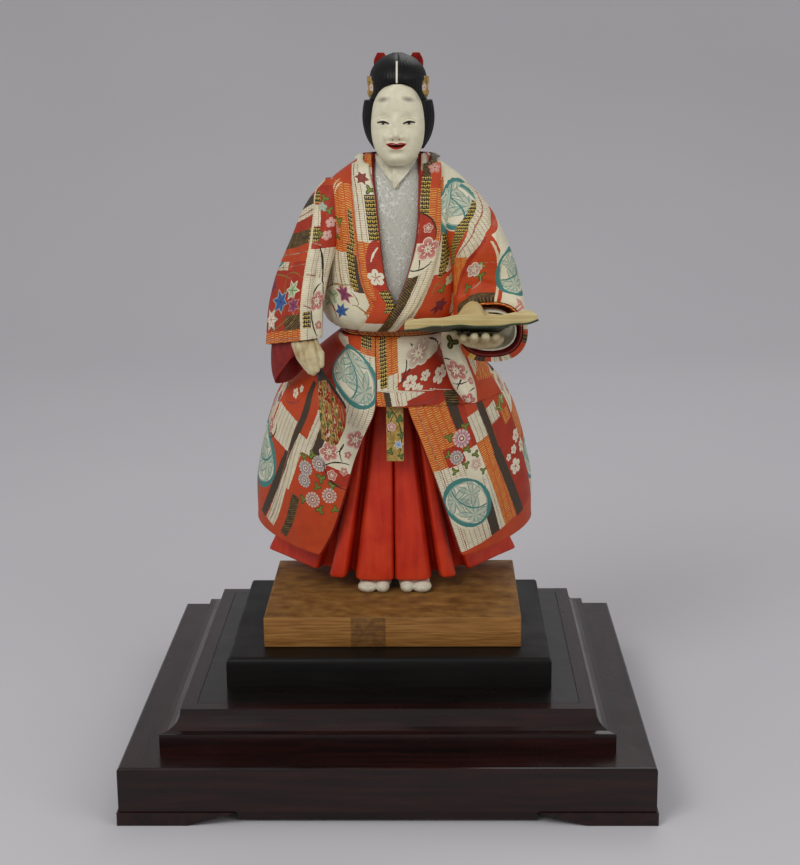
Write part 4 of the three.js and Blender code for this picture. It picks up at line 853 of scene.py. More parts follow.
COLLAR_LEFT = [
    box("hatch", -1, 95, 4.6, 130),
    box("plain", 4, 76, 14, 104),
    strip("ticks", 9, 58, 8, 92, 9),
    box("lined", 4.6, -2, 14, 50),
    box("check", -1, 76, 4.6, 99),
    box("hatch", -1, -2, 5.6, 46),
    strip("edge", 12.8, 4, 12.8, 128, 0.9),
    disc("red", -0.6, 66, 10.6, 12),
    disc("white", 0, 51, 10.6, 10),
    stroke(-2, 78, 9.6, 63, 4.5, 1.0, INK),
    stroke(0, 59, 4.4, 46, 0.8, 0.9, INK),
    stroke(-1, 45.5, 10.6, 50.5, -2.4, 1.0, INK),
    small_plum(4.8, 69.5, 3.0, 0.2),
    motif("blossom", 6.6, 57.5, 7.0, PLUM_FLOWER, 0.5),
    motif("cherry", 6.2, 105, 4.4, (ROSE, BRICK, BONE), 0.3),
]

SLEEVE_RIGHT = [
    box("plain", 14, -50, 70, 2),
    box("red", 34, -92, 72, -55),
    box("red", 14, -46, 34, -4),
    strip("lined", 26, 0, 40, -8, 3.0),
    strip("night", 33, -11.4, 57, -19, 6),
    strip("lined", 33, -17.6, 60, -25.5, 6.2),
    strip("brick", 34, -18, 60, -26, 0.8),
    strip("red", 34, -24.5, 62, -33, 7),
    strip("hatch", 34, -34, 64, -39, 9),
    strip("brick", 35, -44, 64, -46.5, 0.8),
    strip("brick", 35, -52, 64, -54, 0.5),
    box("lined", 14, -100, 34.2, -43),
    box("white", 20, -96, 28.5, -62),
    box("check", 30, -38.5, 37, -29.5),
    box("check", 29.6, -14.6, 36, -7.6),
    box("lined", 30, -29, 35, -16),
    box("check", 29, -90.5, 34.2, -81),
    box("hatch", 34.6, -91, 49, -82),
    box("ticks", 34, -100, 72, -90.6),
    strip("brick", 27.5, -60, 34, -58.8, 0.8),
    strip("brick", 27.5, -80, 34, -77, 0.8),
    strip("brick", 27.5, -41, 34, -39, 0.8),
    strip("brick", 36, -95.6, 70, -95, 0.6),
    strip("edge", 34.9, -5, 34.4, -100, 1.5),
    stroke(36, -61, 52, -57.5, 2.4, 0.8, OLD_GOLD),
    stroke(46, -61, 68, -58, 1.6, 0.8, OLD_GOLD),
    stroke(52, -57, 50, -80, 1.2, 0.7, OLD_GOLD),
    stroke(36, -78, 48, -89, -2.2, 0.8, OLD_GOLD),
    stroke(43, -82, 64, -90.5, -0.8, 0.8, OLD_GOLD),
    motif("star", 43.5, -67.4, 7.0, (MINT, LEAF, BONE), 0.1),
    motif("star", 41, -76.4, 6.0, (MAUVE, PLUM, ROSE), 0.4),
    motif("star", 55, -73.5, 8.2, (BLUE, linear("#2b3f78"), SAGE), 0.2),
    motif("star", 65, -64, 6.0, (linear("#7d2f3c"), PLUM, BRICK), 0.3),
    motif("star", 63, -83.5, 7.6, (BONE, ROSE, SAGE), 0.0),
    stroke(28.5, -42, 23, -64, -1.2, 1.4, INK),
    stroke(23, -62, 19.5, -92, -1.2, 1.2, INK),
    stroke(23.5, -65, 27, -73, 1.2, 1.0, INK),
    stroke(28, -79, 24.5, -96, 1.6, 1.1, INK),
    motif("blossom", 24.6, -75.5, 4.8, PLUM_FLOWER, 0.3, 6.6),
    small_plum(23.5, -89.6, 2.8, 0.3),
    green_leaf(26.5, -12, 3.4, 1.2),
    green_leaf(24.6, -19.5, 3.0, 0.3),
    green_leaf(29.4, -33.5, 3.0, 0.9),
    motif("cherry", 23.5, -27, 3.6, (linear("#d9a79a"), BRICK, BONE), 0.3),
    motif("cherry", 25.4, -35, 3.6, (linear("#d9a79a"), BRICK, BONE), 0.9),
    motif("cherry", 28.6, -17, 3.0, (SAGE, BRICK, BONE), 0.5),
]

SLEEVE_LEFT = [
    box("white", 0, -102, 30, 2),
    box("plain", 26, -102, 66, -34),
    strip("lined", 0, -6, 16, -22, 14),
    disc("white", 32, -18, 26, 13, -0.6),
    motif("roundel", 31, -17, 26, TEAL_ROUND, -0.62, 12.5),
    strip("check", 16, -17, 42, -35.6, 4.8),
    strip("check", 41, -34.6, 55, -53, 4.8),
    strip("check", 54, -48, 57.5, -62, 4.2),
    strip("plain", 5, -21, 30, -38, 7),
    strip("lined", 3, -11, 31, -34, 8.6),
    strip("lined", 29.5, -32, 52, -64, 8.6),
    strip("brick", 4, -10, 31.6, -32.6, 0.7),
    strip("brick", 31, -32, 54, -61, 0.7),
    strip("ticks", 50, -60, 58, -82, 9),
    strip("red", 30, -41, 41, -58, 1.8),
    strip("red", 40.4, -57, 55.5, -84, 2.6),
    strip("edge", 28.4, -45, 29.2, -102, 1.6),
    disc("white", 18, -70, 10.6, 24),
    motif("roundel", 17.6, -70, 11.4, TEAL_ROUND, 0.3, 24),
    box("hatch", 30, -99.5, 54, -94),
    strip("brick", 30, -67, 39, -68, 0.5),
    motif("leaf", 39, -79, 3.4, GREEN_LEAF, 0.4, 4.2),
    motif("leaf", 38.4, -69.5, 2.8, (linear("#7f8a3c"), LEAF, PALE_GOLD), 1.8, 3.6),
    motif("leaf", 47, -85.6, 3.4, GREEN_LEAF, 1.2, 3.2),
    motif("blossom", 42.6, -73.5, 4.4, GREY_PEONY, 0.4, 6.6),
    stroke(39, -80, 44, -88, -2, 0.6, SAGE),
    motif("cherry", 14, -96, 3.8, (ROSE, BRICK, BONE), 0.3),
]

LEFT_CORNER = [
    box("white", -3, -60, 25, -5),
    motif("leaf", 10, -16, 4.6, (LEAF_DARK, LEAF, OLD_GOLD), 1.1),
    stroke(6.4, -33, 16.5, -44.5, 1.2, 1.0, INK),
    stroke(12, -27, 20, -26.4, 1.0, 0.9, INK),
    stroke(9, -39, 19, -40.4, -0.8, 0.8, INK),
    stroke(4, -44, 9, -45.6, 0.9, 0.8, INK),
    motif("blossom", 13.4, -32.4, 6.6, (linear("#c7897a"), WINE, BONE), 0.3),
    small_plum(6.4, -39, 2.6, 0.3),
    small_plum(9.4, -51, 5.0, 0.6),
]

ROBE_PATTERNS = {
    "skirt_left": (SKIRT_LEFT, (0, 0)),
    "skirt_right": (SKIRT_RIGHT, (30, 20)),
    "body_right": (BODY_RIGHT, (10, 40)),
    "body_left": (BODY_LEFT, (40, 10)),
    "collar_right": (COLLAR_RIGHT, (0, 0)),
    "collar_left": (COLLAR_LEFT, (0, 30)),
    "sleeve_right": (SLEEVE_RIGHT, (12, 60)),
    "sleeve_left": (SLEEVE_LEFT, (0, 60)),
    "corner": (LEFT_CORNER, (0, 0)),
}

# Large pieces are painted in two parts, below and above a level of their cloth
PAINT_SPLIT = {"skirt_left": 62, "skirt_right": 61, "sleeve_right": -57}


def part_of(entries, low, high):
    """Entries that reach into a range of levels."""
    kept = []
    for entry in entries:
        (_, v), (wide, tall), turn = entry[2], entry[3], entry[4]
        reach = abs(wide * math.sin(turn)) + abs(tall * math.cos(turn)) + 1
        if entry[0] == "stroke":
            reach = min(reach, 16)
            v += math.sin(turn) * wide
        if v + reach > low and v - reach < high:
            kept.append(entry)
    return kept


def robe_paint():
    """Brocade of each garment piece, as a list from its lower to its upper part."""
    paints = {}
    for name, (entries, shift) in ROBE_PATTERNS.items():
        split = PAINT_SPLIT.get(name)
        if split is None:
            paints[name] = [brocade(f"robe_{name}", entries, shift)]
        else:
            lower = part_of(entries, -200, split)
            upper = part_of(entries, split, 200)
            paints[name] = [
                brocade(f"robe_{name}_lower", lower, shift),
                brocade(f"robe_{name}_upper", upper, shift),
            ]
    return paints


ROBE = robe_paint()


# Other painted surfaces


def along_grain(p, spot, squeeze):
    """Stretches a pattern: each axis multiplied by its squeeze."""
    return p.vector("MULTIPLY", spot, squeeze)


def edges(p):
    """Pointiness of a finely meshed piece: low in hollows, where it is used to paint shade, and
    high on edges.
    """
    return p.node("ShaderNodeNewGeometry").outputs["Pointiness"]


def painted(name, dark, middle, light, grain=(0.5, 0.5, 0.5), gloss=(0.45, 0.65), depth=0.1,
            tone_shift=0.5, specular=0.35):
    """Brushed paint on carved wood: streaks, painted shade in the hollows, light worn edges and a
    fine tooth.
    """
    p = material(name)
    spot = place_mm(p)
    streak = p.noise(along_grain(p, spot, grain), 1.0, 4)
    colour = p.mix(p.remap(streak, 0.3, 0.7, 0.0, 1.0), linear(dark), linear(middle))
    patch = p.noise(spot, 0.06, 3)
    colour = p.mix(p.remap(patch, 0.4, 0.7, 0.0, 0.6), colour, linear(light))
    point = edges(p)
    # Painted shade darkens the hollows, and the edges are lightened as wear
    colour = p.mix(p.remap(point, 0.44, 0.5, tone_shift, 0.0), colour, linear(dark))
    colour = p.mix(p.remap(point, 0.52, 0.6, 0.0, tone_shift), colour, linear(light))
    tooth = p.plus(streak, p.noise(spot, 1.6, 3))
    return p.finish({
        "Base Color": colour,
        "Roughness": p.remap(p.noise(spot, 0.4, 3), 0.3, 0.7, *gloss),
        "Normal": p.bump(tooth, depth, 0.5),
        "Specular IOR Level": specular,
    })


def silver_brocade():
    """Silver white robe with a raised lattice and small flowers."""
    p = material("silver_brocade")
    spot = uv_mm(p)
    x, y = p.parts(spot)
    slant = p.math("PINGPONG", p.plus(x, p.times(y, 0.55)), 1.9)
    other = p.math("PINGPONG", p.minus(x, p.times(y, 0.55)), 1.9)
    lattice = p.either(p.less(slant, 0.22), p.less(other, 0.22))
    cells = p.node("ShaderNodeTexVoronoi", {"Vector": spot, "Scale": 0.34, "Randomness": 0.6})
    rings = p.math("SINE", p.times(cells.outputs["Distance"], 15))
    flower = p.remap(rings, -0.4, 0.6, 0, 1)
    bloom = p.less(p.noise(spot, 0.16, 1), 0.52)
    raised = p.either(p.times(flower, bloom), p.times(lattice, 0.8))
    colour = p.mix(p.noise(spot, 0.25, 3), linear("#b1b0a6"), linear("#c2c0b2"))
    colour = p.mix(p.times(raised, 0.5), colour, linear("#e2e1d8"))
    height = p.plus(raised, p.times(p.noise(spot, 1.5, 3), 0.4))
    return p.finish({
        "Base Color": colour,
        "Roughness": p.remap(raised, 0, 1, 0.55, 0.34),
        "Metallic": 0.25,
        "Normal": p.bump(height, 0.3, 0.8),
    })


# Soft patches of the face: the high brows, dark hair at the temples and painted shade in the
# creases beside the nose. Each: x from its middle, height, half sizes, turn, core, strength, colour
FACE_SHADES = (
    (6.9, 36.9, (4.6, 1.9), -0.2, 0.15, 0.75, "#5a5446"),
    (12.8, 39, (2.6, 5), 0.5, 0.3, 0.45, "#3a342c"),
    # Painted shade in the creases beside the nose
    (6.9, 15.4, (1.5, 3.2), -0.2, 0.1, 0.3, "#94805c"),
)


def face_paint():
    """White mask face with painted eyes, high brows and parted red lips, and painted shade in its
    hollows and beside the nose.
    """
    p = material("mask_paint")
    spot = uv_mm(p)
    fine = p.noise(spot, 0.3, 3)
    colour = p.mix(p.remap(fine, 0.35, 0.7, 0, 1), linear("#e2dcc2"), linear("#d9d1b3"))
    point = edges(p)
    # Painted shade: darker in the hollows of the carving
    colour = p.mix(p.remap(point, 0.42, 0.5, 0.55, 0.0), colour, linear("#a98d68"))
    for side in (-1, 1):
        for x, h, size, turn, core, strength, tint in FACE_SHADES:
            spot_at = p.local(spot, (FACE_X + x * side, h), size, turn * side)
            patch = p.vector("LENGTH", spot_at)
            colour = p.mix(p.remap(patch, core, 1.0, strength, 0.0), colour, linear(tint))
    lip = linear("#a3231c")
    dark = linear("#15100e")
    shade = linear("#8a7458")
    features = []
    for side in (-1, 1):
        eye = FACE_X + 7.2 * side
        low, high = eye - 3.4, eye + 3.4
        outer = 0.3 * side
        features += [
            stroke(low, 25.5, high, 25.5, 1.2, 0.4, linear("#b5a684")),
            stroke(low, 23.8 - outer, high, 23.8 + outer, -0.6, 0.35, shade),
            stroke(low, 23.9 - outer, high, 23.9 + outer, 0.75, 1.5, dark),
            stroke(eye - 0.8, 24.0, eye + 0.8, 24.0, 0.1, 1.9, dark),
            stroke(FACE_X + 1.3 * side, 14.9, FACE_X + 2.3 * side, 15.4, 0.15, 0.8, shade),
        ]
    features += [
        stroke(FACE_X - 5.6, 12.9, FACE_X + 5.6, 12.9, -2.5, 1.5, lip),
        stroke(FACE_X - 4.8, 12.6, FACE_X + 4.8, 12.6, -1.1, 1.9, lip),
        stroke(FACE_X - 4.0, 11.9, FACE_X + 4.0, 11.9, -0.7, 0.95, dark),
        stroke(FACE_X - 5.2, 12.6, FACE_X, 12.5, 0.5, 0.8, lip),
        stroke(FACE_X, 12.5, FACE_X + 5.2, 12.6, 0.5, 0.8, lip),
    ]
    colour = apply_pattern(p, spot, spot, colour, features)
    return p.finish({
        "Base Color": colour,
        "Roughness": p.cloud(spot, 0.5, 3, 0.36, 0.5),
        "Normal": p.bump(p.noise(spot, 0.9, 4), 0.04, 0.4),
        "Subsurface Weight": 0.0,
    })


def hair_lacquer(name, partings=False):
    """Black lacquer over combed strands. The crown has the white cord along its parting."""
    p = material(name)
    spot = place_mm(p)
    strand = p.noise(along_grain(p, spot, (3.0, 1.2, 0.12)), 1.0, 3)
    colour = p.mix(p.remap(strand, 0.3, 0.7, 0, 1), linear("#040404"), linear("#0c0b0a"))
    if partings:
        x, y, z = p.parts(spot, 3)
        line = p.both(p.near(x, HEAD_X - 0.3, 0.5), p.near(z, 391.5, 6.0))
        line = p.both(line, p.less(y, 8))
        colour = p.mix(line, colour, linear("#e6e2d2"))
    return p.finish({
        "Base Color": colour,
        "Roughness": p.remap(strand, 0.3, 0.7, 0.34, 0.52),
        "Normal": p.bump(strand, 0.2, 0.6),
        "Specular IOR Level": 0.25,
    })


def cord_paint():
    p = material("cord_paint")
    spot = place_mm(p)
    x, y, z = p.parts(spot, 3)
    twist = p.plus(p.plus(x, y), p.times(z, 1.3))
    strand = p.math("PINGPONG", twist, 0.8)
    colour = p.mix(p.less(strand, 0.34), linear("#cf8a35"), linear("#7a3a18"))
    colour = p.mix(p.stripes(twist, 3.2, 0.22), colour, linear("#9c2f1c"))
    return p.finish({
        "Base Color": colour,
        "Roughness": p.cloud(spot, 1.0, 2, 0.4, 0.6),
        "Normal": p.bump(strand, 0.3, 0.8),
    })


def gold_leaf(p, spot, dark="#8a6a2c", light="#c9a556"):
    # Worn patches of the gold, at random
    tone_shift = p.remap(p.noise(spot, 0.3, 4), 0.35, 0.7, 0, 1)
    colour = p.mix(tone_shift, linear(light), linear(dark))
    fleck = p.less(0.64, p.noise(spot, 1.6, 3))
    return p.mix(p.times(fleck, 0.5), colour, linear("#5a3f1c"))


def sash_paint():
    """Gold sash end with trailing leaves, a pink and a blue flower and red edges."""
    p = material("sash_paint")
    spot = uv_mm(p)
    leaves = (linear("#35582c"), linear("#22401f"), linear("#86a04c"))
    entries = [
        stroke(-3, -1, 2, -30, 4, 0.8, linear("#2f4a22")),
        stroke(3, -2, -2, -18, -3, 0.6, linear("#2f4a22")),
        motif("leaf", -3, -5, 2.6, leaves, 0.4), motif("leaf", 3, -8, 2.8, leaves, 1.6),
        motif("leaf", -3.2, -13, 2.6, leaves, 2.4), motif("leaf", 3.4, -17.5, 2.4, leaves, 0.8),
        motif("leaf", -3, -27, 2.6, leaves, 1.2), motif("leaf", 3.4, -30, 2.2, leaves, 2.9),
        motif("blossom", -2, -12.5, 2.7, (linear("#d88f96"), WINE, BONE), 0.3),
        motif("star", 2, -23, 3.2, (linear("#a9bcd0"), BLUE, BONE), 0.2),
    ]
    colour = apply_pattern(p, spot, spot, gold_leaf(p, spot), entries)
    x = p.axis(spot, 0)
    rim = p.less(4.9, p.size(x))
    colour = p.mix(rim, colour, linear("#a8321c"))
    return p.finish({
        "Base Color": colour,
        "Roughness": p.cloud(spot, 0.7, 3, 0.36, 0.58),
        "Metallic": 0.2,
        "Normal": p.bump(p.noise(spot, 1.2, 4), 0.12, 0.6),
    })


def fan_paint():
    """Folded fan leaf: gold ground with painted clouds of green, red and cream along the folds."""
    p = material("fan_leaf_paint")
    spot = uv_mm(p)
    across, _ = p.parts(spot)
    cloud = p.noise(along_grain(p, spot, (0.34, 0.12, 1)), 1.0, 2)
    colour = gold_leaf(p, spot, "#a98440", "#e0c884")
    colour = p.mix(p.near(cloud, 0.6, 0.025), colour, linear("#4d6a3a"))
    colour = p.mix(p.near(cloud, 0.43, 0.035), colour, linear("#a83a22"))
    colour = p.mix(p.less(cloud, 0.4), colour, linear("#e8dfbd"))
    rust = p.both(p.remap(across, 1, 4, 0, 0.85), p.less(cloud, 0.54))
    colour = p.mix(rust, colour, linear("#b5401f"))
    fold = p.stripes(across, 1.3, 0.14)
    colour = p.mix(p.times(fold, 0.75), colour, linear("#2b1d12"))
    return p.finish({
        "Base Color": colour,
        "Roughness": p.cloud(spot, 0.8, 3, 0.4, 0.62),
        "Metallic": 0.15,
        "Normal": p.bump(p.plus(fold, p.noise(spot, 1.2, 3)), 0.15, 0.6),
    })


def paper():
    """Stack of thin pages: creamy faces with soft fold lines, layered at the edges, with painted
    shade in the hollows.
    """
    p = material("page_paper")
    spot = place_mm(p)
    leaf = p.noise(along_grain(p, spot, (0.02, 0.02, 5.5)), 1.0, 2)
    side = p.node("ShaderNodeNewGeometry").outputs["Normal"]
    up = p.axis(side, 2)
    upright = p.remap(p.size(up), 0.35, 0.75, 1.0, 0.0)
    aged = p.remap(p.noise(spot, 0.05, 4), 0.35, 0.7, 0, 1)
    colour = p.mix(aged, linear("#dccb93"), linear("#c9b278"))
    lines = p.times(p.remap(leaf, 0.42, 0.58, 0, 1), p.times(upright, 0.6))
    colour = p.mix(lines, colour, linear("#94793f"))
    # Painted shade: darker in the hollows of the page block
    colour = p.mix(p.remap(edges(p), 0.44, 0.5, 0.5, 0.0), colour, linear("#7d6330"))
    return p.finish({
        "Base Color": colour,
        "Roughness": p.cloud(spot, 0.6, 3, 0.6, 0.8),
        "Normal": p.bump(p.plus(lines, p.noise(spot, 0.8, 4)), 0.1, 0.5),
    })


def cover_cloth():
    """Dark green cover with a fine woven ground and small gold flecks; its green is as dark as the
    underside in deep shade, so it holds painted shade.
    """
    p = material("cover_cloth")
    spot = uv_mm(p)
    u, v = p.parts(spot)
    weave = p.either(p.stripes(u, 0.7, 0.5), p.stripes(v, 0.7, 0.5))
    # The green is partly painted shade, as dark as the shaded underside
    colour = p.mix(p.noise(spot, 0.3, 3), linear("#14261c"), linear("#2c4231"))
    colour = p.mix(p.times(weave, 0.25), colour, linear("#4c5a38"))
    colour = p.mix(p.less(0.66, p.noise(spot, 0.7, 3)), colour, linear("#8a7434"))
    return p.finish({
        "Base Color": colour,
        "Roughness": p.cloud(spot, 0.5, 3, 0.5, 0.7),
        "Normal": p.bump(weave, 0.08, 0.6),
    })


def band_paint():
    """Brocade hair band: gold with pale flowers."""
    p = material("band_paint")
    spot = place_mm(p)
    _, y, z = p.parts(spot, 3)
    flat = p.join(y, z)
    rows = p.vector("WRAP", flat, (6.4, 7.6, 1), (0, 0, -1))
    colour = gold_leaf(p, spot, "#94702a", "#c9a24e")
    leaf = (linear("#5c6a2c"), LEAF_DARK, OLD_GOLD)
    colour = apply_pattern(p, rows, spot, colour, [
        motif("leaf", 5, 5.6, 1.4, leaf, 0.5),
        motif("cherry", 2.6, 3, 2.3, (linear("#e3cfc4"), BRICK, ROSE), 0.3),
    ])
    return p.finish({
        "Base Color": colour,
        "Roughness": p.cloud(spot, 0.7, 3, 0.36, 0.58),
        "Metallic": 0.2,
        "Normal": p.bump(p.noise(spot, 1.3, 4), 0.12, 0.6),
    })


def base_wood():
    """Bare chiselled block: ochre grain, mottled gouge marks on top, a darker patch on the front
    face.
    """
    p = material("base_wood")
    spot = place_mm(p)
    x, y = p.parts(spot)
    grain = p.noise(along_grain(p, spot, (0.05, 0.6, 0.9)), 1.0, 5)
    colour = p.mix(p.remap(grain, 0.3, 0.7, 0, 1), linear("#7a4e1e"), linear("#a4733a"))
    up = p.axis(p.node("ShaderNodeNewGeometry").outputs["Normal"], 2)
    top = p.remap(up, 0.5, 0.9, 0, 1)
    gouge = p.node("ShaderNodeTexVoronoi", {
        "Vector": along_grain(p, spot, (0.085, 0.2, 0.2)), "Scale": 1.0, "Randomness": 1.0,
    })
    dish = p.remap(gouge.outputs["Distance"], 0.0, 0.8, 0, 1)
    mottle = p.remap(p.noise(spot, 0.09, 5), 0.35, 0.68, 0, 1)
    topped = p.mix(mottle, linear("#6f4a1c"), linear("#a67a3e"))
    topped = p.mix(p.times(dish, 0.35), topped, linear("#5a3a16"))
    colour = p.mix(top, colour, topped)
    # A soft darker patch on the front face
    front_patch = p.both(p.near(x, -12, 10), p.less(y, -40))
    soft_front_patch = p.times(front_patch, p.cloud(spot, 0.3, 3, 0.35, 0.75))
    front_darkening = p.times(soft_front_patch, p.minus(1.0, top))
    colour = p.mix(front_darkening, colour, linear("#3f2810"))
    height = p.plus(grain, p.times(p.times(dish, top), 1.2))
    return p.finish({
        "Base Color": colour,
        "Roughness": p.remap(grain, 0.3, 0.7, 0.5, 0.68),
        "Normal": p.bump(height, 0.35, 0.8),
        "Specular IOR Level": 0.3,
    })


def lacquer(name, dark, light, gloss, coat, grain=(0.012, 0.25, 0.25), depth=0.05):
    """Lacquered wood: grain under a clear coat, with faint dust and handling marks."""
    p = material(name)
    spot = place_mm(p)
    bent = p.vector("ADD", spot, p.scaled(p.noise(spot, 0.02, 2, "Color"), 6))
    rays = p.noise(along_grain(p, bent, grain), 1.0, 6)
    pores = p.noise(along_grain(p, bent, tuple(4 * g for g in grain)), 1.0, 3)
    colour = p.mix(p.remap(rays, 0.35, 0.65, 0, 1), linear(dark), linear(light))
    colour = p.mix(p.remap(pores, 0.55, 0.7, 0, 0.6), colour, linear(dark))
    smear = p.noise(spot, 0.035, 5)
    return p.finish({
        "Base Color": colour,
        "Roughness": p.remap(smear, 0.35, 0.7, *gloss),
        "Normal": p.bump(p.plus(rays, pores), depth, 0.4),
        "Coat Weight": coat,
        "Coat Roughness": 0.12,
        "Specular IOR Level": 0.22,
    })


def floor_paint():
    p = material("floor_paint")
    spot = place_mm(p)
    colour = p.mix(p.noise(spot, 0.002, 2), linear("#cbc9cd"), linear("#d3d1d4"))
    return p.finish({
        "Base Color": colour,
        "Roughness": 0.85,
        "Specular IOR Level": 0.1,
    })


# Level of the fold in the left sleeve's mouth
LINING_FOLD = 251


def mouth_lining():
    """Lining of the left sleeve: vermilion with gold ticks above, deep red in the fold below."""
    p = material("mouth_lining")
    spot = place_mm(p)
    x, y, z = p.parts(spot, 3)
    flat = p.join(p.plus(x, y), z)
    upper = p.less(LINING_FOLD, z)
    deep = p.mix(p.cloud(spot, 0.3, 3, 0, 1), linear("#5c0f0c"), linear("#8e1a13"))
    return p.finish({
        "Base Color": p.mix(upper, deep, ground_ticks(p, flat, spot)),
        "Roughness": p.cloud(spot, 0.5, 3, 0.45, 0.65),
        "Normal": p.bump(p.noise(spot, 1.2, 3), 0.1, 0.5),
    })


LINING = painted("lining_paint", "#5c0f0c", "#8e1a13", "#a3291b", (0.3, 0.3, 0.1))
MOUTH_LINING = mouth_lining()
WHITE = painted("white_paint", "#bdb596", "#e2dcc4", "#efeada", (0.4, 0.4, 0.2), tone_shift=0.7)
SCARLET = painted(
    "scarlet_paint", "#b8220e", "#d03212", "#dc481e", (0.3, 0.3, 0.03), (0.42, 0.6), 0.12, tone_shift=0.5)
SKIN = painted(
    "skin_paint", "#a58a5e", "#cfc095", "#dcd1ac", (0.2, 0.2, 0.2), depth=0.05, tone_shift=0.45)
TABI = painted("tabi_paint", "#a99f83", "#ddd6bb", "#eae5d2", (0.4, 0.4, 0.8), tone_shift=0.8)
MASK = face_paint()
HAIR = hair_lacquer("hair_lacquer")
CROWN_HAIR = hair_lacquer("crown_lacquer", True)
SILVER = silver_brocade()
CORD = cord_paint()
SASH = sash_paint()
FAN_LEAF = fan_paint()
FAN_LACQUER = lacquer("fan_lacquer", "#120c0a", "#2a1a12", (0.25, 0.4), 0.5)
BRASS = painted("brass", "#6e5220", "#b08a3c", "#d6b766", (1, 1, 1), (0.25, 0.45), 0.03)
PAPER = paper()
COVER = cover_cloth()
BAND = band_paint()
RIBBON = painted("ribbon_paint", "#6d1010", "#b3201a", "#cc3a28", (1.2, 0.2, 1.2), tone_shift=0.7)
WOOD = base_wood()
PEG_WOOD = painted(
    "peg_wood", "#7d5a30", "#b48c58", "#c9a574", (1.0, 1.0, 0.08), (0.55, 0.75), 0.12)
ROSEWOOD = lacquer("rosewood", "#120605", "#2a0f0c", (0.18, 0.34), 0.4)
ROSEWOOD_END = lacquer(
    "rosewood_side", "#120605", "#2a0f0c", (0.18, 0.34), 0.4, (0.25, 0.012, 0.25))
PANEL_BLACK = lacquer("panel_black", "#0a0706", "#15100e", (0.25, 0.4), 0.4)
PLINTH_BLACK = lacquer("plinth_black", "#080605", "#110e0c", (0.42, 0.6), 0.05)


# Meshes

# Body and material slot for the nodes whose names start so, the longer names first
PIECES = (
    ("base_block", "figure", "bare_wood"), ("tabi", "figure", "white_paint"),
    ("hakama", "figure", "scarlet_paint"), ("robe_collar", "figure", "collar_paint"),
    ("robe", "figure", "robe_paint"), ("undercollar", "figure", "silver_paint"),
    ("inner_robe", "figure", "silver_paint"), ("waist_cord", "figure", "cord_paint"),
    ("sash_end", "figure", "gold_paint"), ("sleeve_lining", "figure", "lining_paint"),
    ("cuff", "figure", "silver_paint"), ("hand", "figure", "skin_paint"),
    ("fan_leaf", "fan", "fan_leaf_paint"), ("fan_slats", "fan", "fan_lacquer"),
    ("fan_rivet", "fan", "brass"), ("book_pages", "book", "page_paint"),
    ("book_cover", "book", "cover_paint"), ("mask", "head", "skin_paint"),
    ("head_core", "head", "skin_paint"), ("hair_band", "head", "band_paint"),
    ("hair", "head", "hair_lacquer"), ("band_knot", "head", "ribbon_paint"),
    ("ribbon_bow", "head", "ribbon_paint"),
)


def stacked(*axes):
    """Grid of points from a grid or a number for each axis."""
    return np.stack(np.broadcast_arrays(*axes), -1)


def cloth_uv(u, v):
    """Cloth coordinates in metres from millimetres."""
    return stacked(u * MM, v * MM)


def add_object(name, points, faces, uvs, materials, slots):
    """Piece from points in mm, faces as index lists, a UV per face corner and a slot per face.

    Its name is that of the node it replaces, with one more word.
    """
    mesh = bpy.data.meshes.new(name)
    mesh.from_pydata([tuple(p) for p in np.asarray(points, float) * MM], [], faces)
    for paint in materials:
        mesh.materials.append(paint)
    mesh.polygons.foreach_set("material_index", np.array(slots, dtype=np.int32))
    mesh.polygons.foreach_set("use_smooth", np.full(len(mesh.polygons), True))
    if uvs is not None:
        layer = mesh.uv_layers.new(name="cloth")
        layer.data.foreach_set("uv", np.asarray(uvs, float).ravel())
    mesh.update()
    obj = placed(name, mesh)
    node = name.rsplit("_", 1)[0]
    body, slot = next(row[1:] for row in PIECES if node.startswith(row[0]))
    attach(obj, body)
    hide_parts(node)
    return obj


SHARP_ANGLE = 40


def soften(obj, width, segments=2):
    """Rounds the sharp edges of a carved piece."""
    bevel = obj.modifiers.new("soften", "BEVEL")
    bevel.width = width * MM
    bevel.segments = segments
    bevel.limit_method = "ANGLE"
    bevel.angle_limit = math.radians(SHARP_ANGLE)
    bevel.use_clamp_overlap = True
    return obj


def outward(grid):
    """Outward normals of a tube's grid, from central differences."""
    around = np.roll(grid, -1, 0) - np.roll(grid, 1, 0)
    normal = np.cross(around, np.gradient(grid, axis=1))
    length = np.linalg.norm(normal, axis=-1, keepdims=True)
    normal = normal / np.maximum(length, 1e-9)
    middle = grid.mean(axis=0, keepdims=True)
    inwards = np.mean(np.sum(normal * (grid - middle), -1)) < 0
    return -normal if inwards else normal


def reversed_faces(faces, uvs):
    """The same faces seen from the other side."""
    turned = []
    start = 0
    for face in faces:
        turned.extend(reversed(uvs[start:start + len(face)]))
        start += len(face)
    return [tuple(reversed(face)) for face in faces], turned


